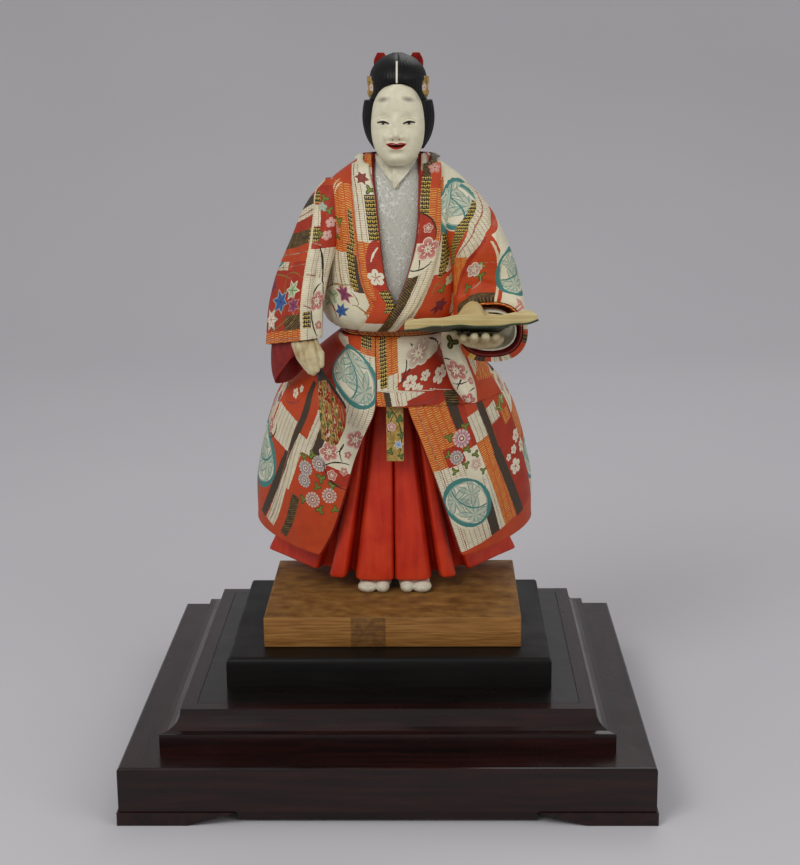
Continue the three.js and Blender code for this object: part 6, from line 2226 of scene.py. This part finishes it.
def make_feet(paint):
    for name, side in SIGN.items():
        middle = FEET_X + side * 11.2

        def spot(along, across, up, side=side, middle=middle):
            drift = 0.06 * (20 - along)
            return (middle + side * (drift + across), TOE_Y + along, SOLE + up)

        parts = [
            ellipsoid(spot(5.4, -4.7, 3.2), (4.3, 6.8, 3.9)),
            ellipsoid(spot(5.8, 4.0, 2.8), (6.0, 6.6, 3.6)),
            ellipsoid(spot(14, -0.2, 3.6), (9.6, 10, 5.2)),
            ellipsoid(spot(24, -0.2, 5.0), (6.8, 12, 8)),
            capsule([spot(27, 0, 4), spot(27, 0, 15.5)], [6.4, 6.2]),
            ellipsoid(spot(37, 0, 4.4), (5.8, 7.2, 5.4)),
        ]
        trimmed = [
            ([(x, y, max(z, SOLE)) for x, y, z in points], faces) for points, faces in parts
        ]
        foot = merged(f"tabi_{name}_carved", trimmed, 0.55, paint, rounds=3)
        settle_on(foot, SOLE)


# How far above its seat a point is still laid flat onto it
SETTLE = 0.2


def settle_on(obj, level):
    """Flattens the underside of a carved piece onto the face that carries it."""
    low = level * MM
    for vertex in obj.data.vertices:
        if vertex.co.z < low + SETTLE * MM:
            vertex.co.z = low
    obj.data.update()


def make_right_hand(paint):
    """Hand round the fan's handle: back of the hand, four curled fingers and the thumb."""
    parts = [
        capsule([(-52.6, -9, 262), (-50.8, -13, 252), (-48.9, -17.4, 245.5)], [4.2, 4.7, 5.4]),
        ellipsoid((-48.0, -21.0, 241.4), (6.0, 5.4, 6.0)),
        capsule([(-52.6, -21.4, 241.5), (-49.8, -26.0, 234.6), (-45.6, -28.6, 228.4)],
                [2.4, 2.3, 1.7]),
        capsule([(-50.0, -24.6, 241.8), (-47.2, -28.8, 234.4), (-43.8, -30.4, 227.0)],
                [2.5, 2.4, 1.8]),
        capsule([(-46.8, -26.4, 242.0), (-44.4, -30.6, 234.6), (-41.8, -31.8, 226.6)],
                [2.5, 2.5, 1.9]),
        capsule([(-43.4, -26.8, 241.6), (-41.2, -31.2, 235.0), (-39.8, -32.4, 228.4)],
                [2.5, 2.4, 1.9]),
        capsule([(-41.6, -22.4, 242.0), (-37.8, -27.6, 236.8), (-37.4, -30.6, 230.8)],
                [2.7, 2.4, 1.9]),
    ]
    merged("hand_right_carved", parts, 0.5, paint)


PALM_TILT = math.radians(17)
PALM_GAP = 0.45


def make_left_hand(paint):
    """Hand laid flat under the book, fingers forward, cut off flat under the cover."""
    parts = [
        capsule([(56, -8, 252), (55.5, -18, 249), (54.6, -26, 246.4)], [6.2, 6.0, 6.2]),
        ellipsoid((53.2, -33, 245.4), (12.6, 10.5, 5.2)),
        capsule([(42.6, -38, 246.6), (42.2, -46, 248.6), (42.6, -53, 250.2)], [2.9, 2.7, 2.2]),
        capsule([(48.4, -40, 246.8), (48.2, -50, 249.2), (48.4, -58, 251.6)], [3.0, 2.8, 2.2]),
        capsule([(54.4, -40, 246.8), (54.4, -50, 249.2), (54.4, -58.6, 251.8)], [3.0, 2.8, 2.2]),
        capsule([(60.2, -38, 246.6), (60.4, -47, 248.8), (60.2, -55, 250.8)], [2.8, 2.6, 2.1]),
        capsule([(42.4, -28, 248.0), (38.6, -35, 249.4), (37.4, -42, 250.6)], [3.2, 2.8, 2.2]),
    ]
    hand = merged("hand_left_carved", parts, 0.55, paint)
    _, book_y, book_z = BOOK_CENTRE
    drop = (COVER_THICKNESS + PALM_GAP) / math.cos(PALM_TILT)
    for vertex in hand.data.vertices:
        top = book_z - (vertex.co.y / MM - book_y) * math.tan(PALM_TILT) - drop
        if vertex.co.z / MM > top:
            vertex.co.z = top * MM
    hand.data.update()


# Book

COVER_THICKNESS = 0.8
BOOK_CENTRE = np.array([46.3, -46, 254.6])
BOOK_TILT = math.radians(14)
END_TWIST = math.radians(7)
BOOK_EDGE = 18.5
PAGE_END = 36
PAGE_RISE = curve([
    [-36, 4.4], [-30, 5.2], [-20, 4.6], [-8, 5.2], [6, 6.4], [20, 6], [31, 5.6], [36, 3.4],
])
PAGE_SAG = curve([
    [-36, 3.0], [-30, 2.1], [-18, 0.7], [-4, 0.2], [7, 0.9], [10, 0.9], [20, 0], [30, -0.9],
    [36, -2.6],
])
PAGE_HUMP = curve([[-14, 0], [-9, 0.8], [-3, 8], [1.5, 10.5], [6, 9], [13, 2], [19, 0]])


def on_book(x, y, z):
    """From the level book, with its near edge at low y, into the hand. Both ends droop flatter."""
    tilt = BOOK_TILT - END_TWIST * (smooth(x, 12, 34) + smooth(-x, 20, 36))
    c, s = np.cos(tilt), np.sin(tilt)
    deep = y * c + z * s - BOOK_EDGE * (math.cos(BOOK_TILT) - c)
    high = -y * s + z * c + BOOK_EDGE * (math.sin(BOOK_TILT) - s)
    return stacked(x, deep, high) + BOOK_CENTRE


def make_book(paper, cover):
    x = np.linspace(-PAGE_END, PAGE_END, 121)[:, None]
    y = np.linspace(-BOOK_EDGE, BOOK_EDGE, 41)[None, :]
    v = (y + BOOK_EDGE) / (2 * BOOK_EDGE)
    rise = PAGE_RISE(x) + PAGE_HUMP(x) * v ** 1.5
    rise = rise + 0.25 * np.sin(x * 0.35 + y * 0.08) * smooth(PAGE_END - np.abs(x), 0, 10)
    rise = rise - 1.6 * bell(x, 8.2, 1.3)
    corner = smooth(np.abs(x), 33.5, PAGE_END) * 0.9
    sag = PAGE_SAG(x) + 0.22 * np.sin(x * 0.42 + 1)
    uv = cloth_uv(x, y)
    top, bottom = on_book(x, y, rise - corner - sag), on_book(x, y, -sag)
    shell_object("book_pages_open", top, bottom, uv, [paper] * 3, 0.35)
    x, y = x * 1.0165, y * 1.032
    high, low = on_book(x, y, -0.02 - sag), on_book(x, y, -COVER_THICKNESS - sag)
    shell_object("book_cover_boards", high, low, uv, [cover] * 3, 0.3)


# Fan

FAN_PIVOT = np.array([-38.6, -30.5, 229])
FAN_END = np.array([-29.5, -43, 190.5])
LEAF_LEFT = curve([[7, -1.6], [10, -2.5], [14, -3.4], [26, -5.4], [40, -7.2], [46, -7.4]])
LEAF_RIGHT = curve([[7, 2.1], [10, 3.3], [14, 4.7], [26, 9.3], [32, 8.6], [37, 7], [46, 6.4]])
LEAF_END = curve([[0, 39.5], [0.5, 45], [1, 36.6]])


def fan_axes():
    along = (FAN_END - FAN_PIVOT) / np.linalg.norm(FAN_END - FAN_PIVOT)
    across = np.array([1, 0, 0]) - along * along[0]
    across = across / np.linalg.norm(across)
    return along, across, np.cross(across, along)


def fan_point(along, across, out):
    a, b, c = fan_axes()
    along, across, out = np.broadcast_arrays(
        np.asarray(along, float), np.asarray(across, float), np.asarray(out, float))
    return FAN_PIVOT + along[..., None] * a + across[..., None] * b + out[..., None] * c


def fan_slat(angle, length, low, wide):
    """A lacquered slat, tapered, from the pivot outwards."""
    c, s = math.cos(angle), math.sin(angle)
    rings = []
    for share in np.linspace(0, 1, 14):
        distance = lerp(-1.5, length, share)
        half = lerp(1.2, wide / 2, smooth(share, 0, 0.4))
        if share > 0.9:
            half = half * (1 - 0.5 * ((share - 0.9) / 0.1) ** 2)
        for t in np.linspace(0, 2 * math.pi, 12, endpoint=False):
            side = half * rounded_power(math.cos(t), 0.5)
            up = 0.5 + 0.5 * rounded_power(math.sin(t), 0.5)
            rings.append(fan_point(distance * c - side * s, distance * s + side * c, low + up))
    return [tuple(p) for p in np.array(rings)], tube_faces(14, 12)


def joined(name, parts, paint):
    """Separate lumps in one piece, each with its faces turned outwards."""
    obj = gathered(name, parts, paint)
    mesh = bmesh.new()
    mesh.from_mesh(obj.data)
    bmesh.ops.recalc_face_normals(mesh, faces=mesh.faces)
    mesh.to_mesh(obj.data)
    mesh.free()
    return obj


LEAF_FOLDS = 18


def make_fan(leaf, slat_paint, brass):
    slats = [fan_slat(math.radians(d), 16, 0, 2.2) for d in (-10, 0, 10)]
    slats.append(fan_slat(math.radians(20.5), 27.5, 0.2, 2.4))
    a, _, c = fan_axes()
    tang = [tuple(FAN_PIVOT - a * 9 + c * 0.5), tuple(FAN_PIVOT + a * 0.5 + c * 0.5)]
    slats.append(capsule(tang, [1.5, 1.5]))
    joined("fan_slats_lacquered", slats, slat_paint)
    pin = [tuple(FAN_PIVOT - c * 0.5), tuple(FAN_PIVOT + c * 1.5)]
    joined("fan_rivet_head", [capsule(pin, [0.8, 0.8])], brass)
    u = np.linspace(0, 1, LEAF_FOLDS * 4 + 1)[:, None]
    v = np.linspace(0, 1, 40)[None, :]
    saw = np.abs(((u * LEAF_FOLDS) % 2) - 1)
    along = lerp(7.5, LEAF_END(u), v)
    across = lerp(LEAF_LEFT(along), LEAF_RIGHT(along), u)
    out = -0.5 - GAP - saw * 1.5 * lerp(0.5, 1, v)
    top = fan_point(along, across, out + 0.5)
    under = fan_point(along, across, out)
    shell_object("fan_leaf_folded", top, under, cloth_uv(across, along), [leaf] * 3, 0.12)


# Head

CHIN = 340
MASK_HALF = curve([
    [0, 4.5], [2, 7.4], [5, 10.5], [10, 13.2], [16, 14.6], [22, 15], [28, 14.6],
    [34, 13.6], [38, 12], [41, 10], [43.5, 7], [45, 3.4],
])
MASK_DEPTH = curve([[0, 2], [3, 6.5], [8, 8.6], [16, 9.2], [26, 9], [36, 8.2], [45, 6]])


def face_relief(x, h):
    """How far the mask's face stands out, by x from its middle and height above the chin."""
    x = x - FACE_X
    side = np.abs(x)
    bridge = 1.25 * bell(x, 0, 2.5) * smooth(h, 15, 19) * (1 - smooth(h, 24, 31))
    tip = 2.7 * bell(x, 0, 2.4) * bell(h, 17.2, 2.6)
    wings = 1.7 * bell(side, 3.5, 1.4) * bell(h, 16.4, 1.6)
    nostril = -0.8 * bell(side, 1.9, 0.9) * bell(h, 14.7, 0.6)
    philtrum = -0.3 * bell(x, 0, 0.8) * bell(h, 13.2, 0.9)
    socket = -1.15 * bell(side, 6.6, 3.6) * bell(h, 26.2, 2.8)
    lid = 0.75 * bell(side, 7.2, 2.9) * bell(h, 25.6, 1.1)
    lower_lid = 0.5 * bell(side, 7.2, 2.8) * bell(h, 22.9, 0.9)
    slit = -0.75 * bell(side, 7.2, 2.5) * bell(h, 24.3 + 0.05 * (side - 7), 0.5)
    cheek = 1.1 * bell(side, 7.6, 4) * bell(h, 14.5, 5.0)
    crease = -0.45 * bell(side, 5.6 + 0.22 * (16 - h), 0.8) * smooth(h, 9.5, 11) * (
        1 - smooth(h, 14, 16))
    brow = 0.5 * bell(side, 6.5, 4.5) * bell(h, 31.5, 3)
    forehead = 0.7 * bell(side, 5.5, 5) * bell(h, 37, 4.5)
    mouth_h = 11.6 + 0.018 * side ** 2
    upper_lip = 0.95 * (1 - smooth(side, 3.2, 5.8)) * bell(h, mouth_h + 1.15, 0.8)
    lower_lip = 1.25 * (1 - smooth(side, 2.2, 4.9)) * bell(h, mouth_h - 1.75, 0.95)
    gap = -1.5 * (1 - smooth(side, 3.6, 5.4)) * bell(h, mouth_h - 0.15, 0.55)
    under_lip = -0.6 * bell(x, 0, 3.6) * bell(h, 7.4, 1.2)
    chin = 1.2 * bell(x, 0, 3.8) * bell(h, 3.9, 2.4)
    return (bridge + tip + wings + nostril + philtrum + socket + lid + lower_lid + slit + cheek
            + crease + brow + forehead + upper_lip + lower_lip + gap + under_lip + chin)


def make_mask(paint):
    """Carved mask: a fine grid over the face, closed by a flat back."""
    rise = np.concatenate([
        np.linspace(0, 3, 14), np.linspace(3, 42, 190)[1:], np.linspace(42, 45, 14)[1:],
    ])
    u = np.sin(np.linspace(-math.pi / 2, math.pi / 2, 151))
    u = (0.6 * u + 0.4 * np.linspace(-1, 1, 151))[:, None]
    x = u * MASK_HALF(rise)[None, :]
    h = np.broadcast_to(rise[None, :], x.shape)
    bulge = MASK_DEPTH(rise)[None, :] * np.sqrt(1 - np.abs(u) ** 2.6)
    fade = smooth(1 - np.abs(u), 0, 0.12) * smooth(h, 0, 2) * (1 - smooth(h, 43, 45))
    y = MASK_BACK_Y - 1 - bulge - face_relief(x, h) * fade
    outer = stacked(x + HEAD_X, y, h + CHIN)
    inner = stacked(x + HEAD_X, MASK_BACK_Y, h + CHIN)
    shell_object("mask_carved", outer, inner, cloth_uv(x, h), [paint] * 3)


def head_rings(rows, levels, count):
    """Rings of the head: a level, a middle y, a half width, a reach to the front and the back."""
    tables = [curve([(row[0], row[k]) for row in rows]) for k in range(1, 5)]
    turns = np.linspace(0, 2 * math.pi, count, endpoint=False)
    rings = []
    for z in np.linspace(rows[0][0], rows[-1][0], levels):
        middle, half, front, back = (float(table(z)) for table in tables)
        reach = np.where(np.cos(turns) > 0, front, back)
        rings.append(stacked(HEAD_X + np.sin(turns) * half, middle - np.cos(turns) * reach, z))
    return rings


SKULL = [
    [345, 9, 7.6, 7.6, 7.6], [350, 9, 10.5, 11, 11], [356, 10, 13.2, 15, 14],
    [366, 11.5, 15, 16.6, 15], [378, 11.5, 14, 16.6, 15], [386, 11.5, 11.5, 13, 13],
    [392, 11.5, 7, 8, 8],
]
HAIR_BACK = [
    [348.5, 12, 14.5, 14, 16], [354, 12, 18, 17.4, 19], [360, 12, 20, 19, 20.4],
    [366, 12, 20.7, 20, 20.8], [372, 12, 20.2, 20.4, 20.4], [375.7, 12, 19.4, 20.4, 19.8],
]
CROWN = [
    [376, 12, 16.4, 20.4, 17.6], [381, 12, 15.9, 22.4, 17.4], [385.5, 12, 15.9, 23.6, 17],
    [388, 12, 16.2, 24, 16.6], [392, 12, 15.4, 22.6, 15.6], [396, 12, 12.9, 19.2, 12.8],
    [399.5, 12, 8.6, 12.6, 8.6], [402, 12, 2.6, 3.4, 2.6],
]


def strand_relief(rings, count, depth, seed):
    """Fine grooves of combed hair, running down the rings."""
    rng = np.random.default_rng(seed)
    profile = np.zeros(count)
    turns = np.linspace(0, 2 * math.pi, count, endpoint=False)
    for waves in (46, 71, 113):
        profile += np.sin(turns * waves + rng.uniform(0, 6.28)) / 3
    shaped = []
    for loop in rings:
        centre = loop.mean(axis=0)
        out = loop - centre
        out = out / np.maximum(np.linalg.norm(out, axis=-1, keepdims=True), 1e-6)
        shaped.append(loop + out * (profile * depth - depth)[:, None])
    return shaped


def trimmed_front(rings, allow):
    """Hair kept clear of the mask: no point stands in front of the line the allowance gives."""
    shaped = []
    for loop in rings:
        loop = loop.copy()
        limit = allow(loop[:, 0] - HEAD_X, loop[:, 2])
        loop[:, 1] = np.maximum(loop[:, 1], limit)
        shaped.append(loop)
    return shaped


def hair_limit(x, z):
    """Lowest y that the hair may have: clear of the mask inside its outline."""
    rise = z - CHIN
    half = MASK_HALF(rise) + 0.3
    inside = (np.abs(x) < half) & (rise < 45.3)
    return np.where(inside, MASK_BACK_Y + 0.4, -40.0)


def along_rows(rows, count):
    """Rows of level, y and half width, resampled evenly, with the share and distance of each."""
    rows = np.array(rows, float)
    keys = arc_lengths(rows[:, :2])
    at = np.linspace(0, keys[-1], count)
    columns = [curve(list(zip(keys, rows[:, k])))(at) for k in range(3)]
    return zip(at, at / keys[-1], *columns), keys[-1]


HAIR_TAIL = [
    [368, 29.5, 6.6], [361, 32.4, 8], [353, 36.4, 8.8], [345, 40.4, 8.6], [335, 45, 8],
    [318, 48.5, 7.4], [300, 49, 7], [280, 49, 6.4], [262, 48.6, 5],
]


def make_hair(hair, crown, skin):
    stack_object("head_core_carved", head_rings(SKULL, 40, 64), skin, front_uv)
    count = 300
    back = strand_relief(head_rings(HAIR_BACK, 60, count), count, 0.22, 4)
    stack_object("hair_back_combed", trimmed_front(back, hair_limit), hair, strand_uv)
    make_crown(crown)
    turns = np.linspace(0, 2 * math.pi, 60, endpoint=False)
    comb = 0.12 * np.sin(turns * 17) + 0.1 * np.sin(turns * 26 + 1)
    rows, total = along_rows(HAIR_TAIL, 70)
    rings = []
    for at, _, level, deep, half in rows:
        tip = smooth(at, total - 6, total)
        wide = half * (1 - 0.55 * tip) * (1 + comb * 0.12)
        thick = 2.5 * (1 - 0.6 * tip) * (1 + comb * 0.25)
        rings.append(stacked(HEAD_X + np.sin(turns) * wide, deep - np.cos(turns) * thick, level))
    stack_object("hair_tail_combed", rings, hair, strand_uv)


def make_crown(hair):
    """Hair over the crown: a combed dome with a parting, cut back to the mask's hairline."""
    count = 320
    rings = strand_relief(head_rings(CROWN, 60, count), count, 0.16, 9)
    parted = []
    for loop in trimmed_front(rings, hair_limit):
        front = smooth(HEAD_Y - loop[:, 1], 4, 10)
        loop[:, 2] -= 0.55 * bell(loop[:, 0], HEAD_X, 0.8) * front * smooth(loop[:, 2], 386, 392)
        parted.append(loop)
    stack_object("hair_crown_combed", parted, hair, front_uv)


BAND_LOW = 376
BAND_WIDTH = 13
BAND_MIDDLE = 384.5
# Angle from the front at which the band ends, in degrees
BAND_END = 47
BAND_GAP = 0.32
# Half width of the band's ring, and its reach to the front and the back
BAND_REACH = (16.5, 15.9, 17.8)


def make_band(paint):
    """Broad band round the back of the crown, from temple to temple."""
    rows = np.linspace(0, 1, 25)[None, :]
    z = BAND_LOW + BAND_WIDTH * rows
    from_middle = (z - BAND_MIDDLE) ** 2
    ends = np.radians(BAND_END + 0.35 * from_middle)
    turns = lerp(ends, 2 * math.pi - ends, np.linspace(0, 1, 180)[:, None])
    in_front = np.cos(turns) > 0
    under = [
        np.maximum(reach, curve([(row[0], row[k]) for row in CROWN])(z))
        for k, reach in zip((2, 3, 4), BAND_REACH)
    ]
    limit = [reach + 1.2 - 0.035 * from_middle for reach in BAND_REACH]
    wide = np.minimum(under[0] + BAND_GAP, limit[0])
    deep = np.where(in_front, under[1], under[2]) + BAND_GAP
    deep = np.minimum(deep, np.where(in_front, limit[1], limit[2]))
    inner = stacked(HEAD_X + np.sin(turns) * wide, HEAD_Y - np.cos(turns) * deep, z)
    away = (inner - np.array([HEAD_X, HEAD_Y, 0])) * np.array([1, 1, 0])
    away = away / np.linalg.norm(away, axis=-1, keepdims=True)
    thickness = 0.75 + 0.1 * bell(rows, 0, 0.08) + 0.1 * bell(rows, 1, 0.08)
    outer = inner + away * thickness[..., None]
    uv = cloth_uv(arc_lengths(outer), arc_lengths(outer, 1))
    shell_object("hair_band_strip", outer, inner, uv, [paint] * 3, 0.2)


RIBBON_RINGS = 34


def ribbon_parts(x, rows, thickness, lean=0.0):
    """Points and faces of a flat ribbon through rows of level, y and half width."""
    turns = np.linspace(0, 2 * math.pi, 24, endpoint=False)
    c = rounded_power(np.cos(turns), 0.6)
    s = rounded_power(np.sin(turns), 0.6)
    points = []
    for at, share, level, deep, half in along_rows(rows, RIBBON_RINGS)[0]:
        wave = 0.25 * math.sin(at * 0.35)
        px = x + c * half + lean * share
        py = deep + s * thickness / 2 + wave + 0.3 * thickness * (1 - c * c)
        points.extend(tuple(p) for p in stacked(px, py, level))
    return points, tube_faces(RIBBON_RINGS, 24)


KNOT_Y = 30.4
BOW_REACH = 9.8


def make_ribbons(paint):
    y = KNOT_Y
    ends = [
        [384, y + 3.5, 2.4], [366, y + 6.5, 2.6], [353, y + 12, 2.7], [340, y + 17, 2.8],
        [318, y + 21.6, 2.9], [298, y + 22.4, 3],
    ]
    parts = [ribbon_parts(HEAD_X + side * 3.4, ends, 1.2) for side in (-1, 1)]
    parts.append(ellipsoid((HEAD_X, y + 2.4, 382.5), (4.2, 2.6, 4.6)))
    joined("band_knot_tied", parts, paint)
    loop = [[387.4, y + 2, 1.8], [391, y + 1.4, 3.6], [397, y - 1, 4.2], [401.8, y - 3.4, 2]]
    parts = [ribbon_parts(HEAD_X + side * BOW_REACH, loop, 2.2, side * 0.4) for side in (-1, 1)]
    bridge = [
        (HEAD_X - BOW_REACH, y + 1.9, 388.9), (HEAD_X, y + 2.0, 388.8),
        (HEAD_X + BOW_REACH, y + 1.9, 388.9),
    ]
    parts.append(capsule(bridge, [1.5, 1.6, 1.5]))
    joined("ribbon_bow_tied", parts, paint)


BLOCK_X = (-71.75, 75.35)
BLOCK_Y = 53.85
GOUGES = 240
# Where the middles of the gouges may lie
GOUGE_X = (-72, 76)
GOUGE_Y = (-54, 54)


def make_base(paint):
    """Chiselled base block: shallow gouge marks over its top, crisp sides."""
    rng = np.random.default_rng(11)
    x = np.linspace(*BLOCK_X, 150)[:, None]
    y = np.linspace(-BLOCK_Y, BLOCK_Y, 110)[None, :]
    cuts = np.zeros((x.size, y.size))
    for _ in range(GOUGES):
        cx, cy = rng.uniform(*GOUGE_X), rng.uniform(*GOUGE_Y)
        turn = rng.uniform(-0.5, 0.5)
        along = (x - cx) * math.cos(turn) + (y - cy) * math.sin(turn)
        across = -(x - cx) * math.sin(turn) + (y - cy) * math.cos(turn)
        depth = rng.uniform(0.1, 0.35)
        long, wide = rng.uniform(7, 14), rng.uniform(3, 5)
        dish = np.clip(1 - (along / long) ** 2 - (across / wide) ** 2, 0, 1)
        cuts = np.maximum(cuts, depth * dish)
    rim = smooth(np.minimum(76 - np.abs(x - 1.8) - 2.4, 54 - np.abs(y)), 0, 2)
    under_feet = bell(x, FEET_X, 24) * bell(y, 6, 26)
    top = SOLE - cuts * rim * (1 - smooth(under_feet, 0.3, 0.5))
    outer, inner = stacked(x, y, top), stacked(x, y, PLINTH_TOP)
    block = shell_object("base_block_carved", outer, inner, cloth_uv(x, y), [paint] * 3)
    soften(block, 0.9, 3)


# Assembly


def paint_above(obj, name):
    """Gives the outside of a piece its second paint above the level where its pattern is split."""
    mesh = obj.data
    mesh.materials.append(ROBE[name][1])
    flat = mesh.uv_layers["cloth"].data
    for face in mesh.polygons:
        if face.material_index == 0 and flat[face.loop_start].uv[1] > PAINT_SPLIT[name] * MM:
            face.material_index = len(mesh.materials) - 1


make_base(WOOD)
make_feet(TABI)
for half in SIGN:
    make_trousers(half, SCARLET)
    paint_above(make_skirt(half, ROBE[f"skirt_{half}"][0], LINING), f"skirt_{half}")
    make_torso(half, ROBE[f"body_{half}"][0], LINING)
    make_collar(half, ROBE[f"collar_{half}"][0])
make_inner_robe(SILVER, WHITE)
make_cord(CORD)
make_sash(SASH)
right_cloth, left_cloth = ROBE["sleeve_right"][0], ROBE["sleeve_left"][0]
right_sleeve = make_tube(
    "robe_sleeve_right_cloth", RIGHT_SLEEVE, (84, 128), [right_cloth, LINING, LINING],
    ROBE_WALL, 0.5, RIGHT_FOLDS)
paint_above(right_sleeve, "sleeve_right")
make_tube("sleeve_lining_right_cloth", RIGHT_LINING, (44, 96), [LINING] * 3, 1.1, 0.35)
make_left_sleeve(left_cloth, MOUTH_LINING)
make_tube(
    "robe_sleeve_left_corner", SLEEVE_TAIL, (60, 72), ROBE["corner"] * 3, 2.0, 0.4, TAIL_FOLDS)
make_left_lining(MOUTH_LINING, WHITE)
make_right_hand(SKIN)
make_left_hand(SKIN)
make_book(PAPER, COVER)
make_fan(FAN_LEAF, FAN_LACQUER, BRASS)
make_mask(MASK)
make_hair(HAIR, CROWN_HAIR, SKIN)
make_band(BAND)
make_ribbons(RIBBON)


def dress_solids():
    """Lacquer and bare wood for the solids that stay."""
    for name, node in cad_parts.items():
        if name in ("stand_top_panel", "stand_deck"):
            paint = PANEL_BLACK
        elif name.startswith("stand_"):
            paint = ROSEWOOD_END if name.endswith(("_left", "_right")) else ROSEWOOD
        elif name == "plinth":
            paint = PLINTH_BLACK
        elif name.startswith("foot_dowel") or name == "neck_peg":
            paint = PEG_WOOD
        else:
            continue
        node.data.materials.clear()
        node.data.materials.append(paint)
        soften(node, 0.5 if name.startswith("stand_") else 0.35, 3)


dress_solids()


# Radius of the floor's sweep into the backdrop, in metres
SWEEP = 0.9


def make_floor():
    """Pale floor that sweeps up into the backdrop."""
    sweep = np.linspace(0, math.pi / 2, 14)[1:]
    run = [*np.linspace(-3, 1.2, 8), *(1.2 + SWEEP * np.sin(sweep)), 1.2 + SWEEP]
    rise = [*np.zeros(8), *(SWEEP - SWEEP * np.cos(sweep)), 3.5]
    points = [(x, y, z) for x in (-4.0, 4.0) for y, z in zip(run, rise)]
    count = len(run)
    faces = [(count + i, count + i + 1, i + 1, i) for i in range(count - 1)]
    mesh = bpy.data.meshes.new("floor")
    mesh.from_pydata(points, [], faces)
    mesh.polygons.foreach_set("use_smooth", [True] * len(faces))
    mesh.materials.append(floor_paint())
    placed("floor", mesh)


make_floor()

WORLD_LIGHT = 0.42
world = bpy.data.worlds.new("studio")
bpy.context.scene.world = world
world.use_nodes = True
Paint(world.node_tree).fill(
    world.node_tree.nodes["Background"], {"Color": (1, 1, 1, 1), "Strength": WORLD_LIGHT})
lamp("key", (-0.75, -1.1, 1.25), (0, 0, 0.2), 0.7, 9.5)
lamp("fill", (1.1, -0.9, 0.8), (0, 0, 0.2), 0.9, 4.0)
lamp("rim", (0.3, 1.1, 1.3), (0, 0, 0.3), 0.8, 3.5)
bpy.context.scene.view_settings.view_transform = "Standard"
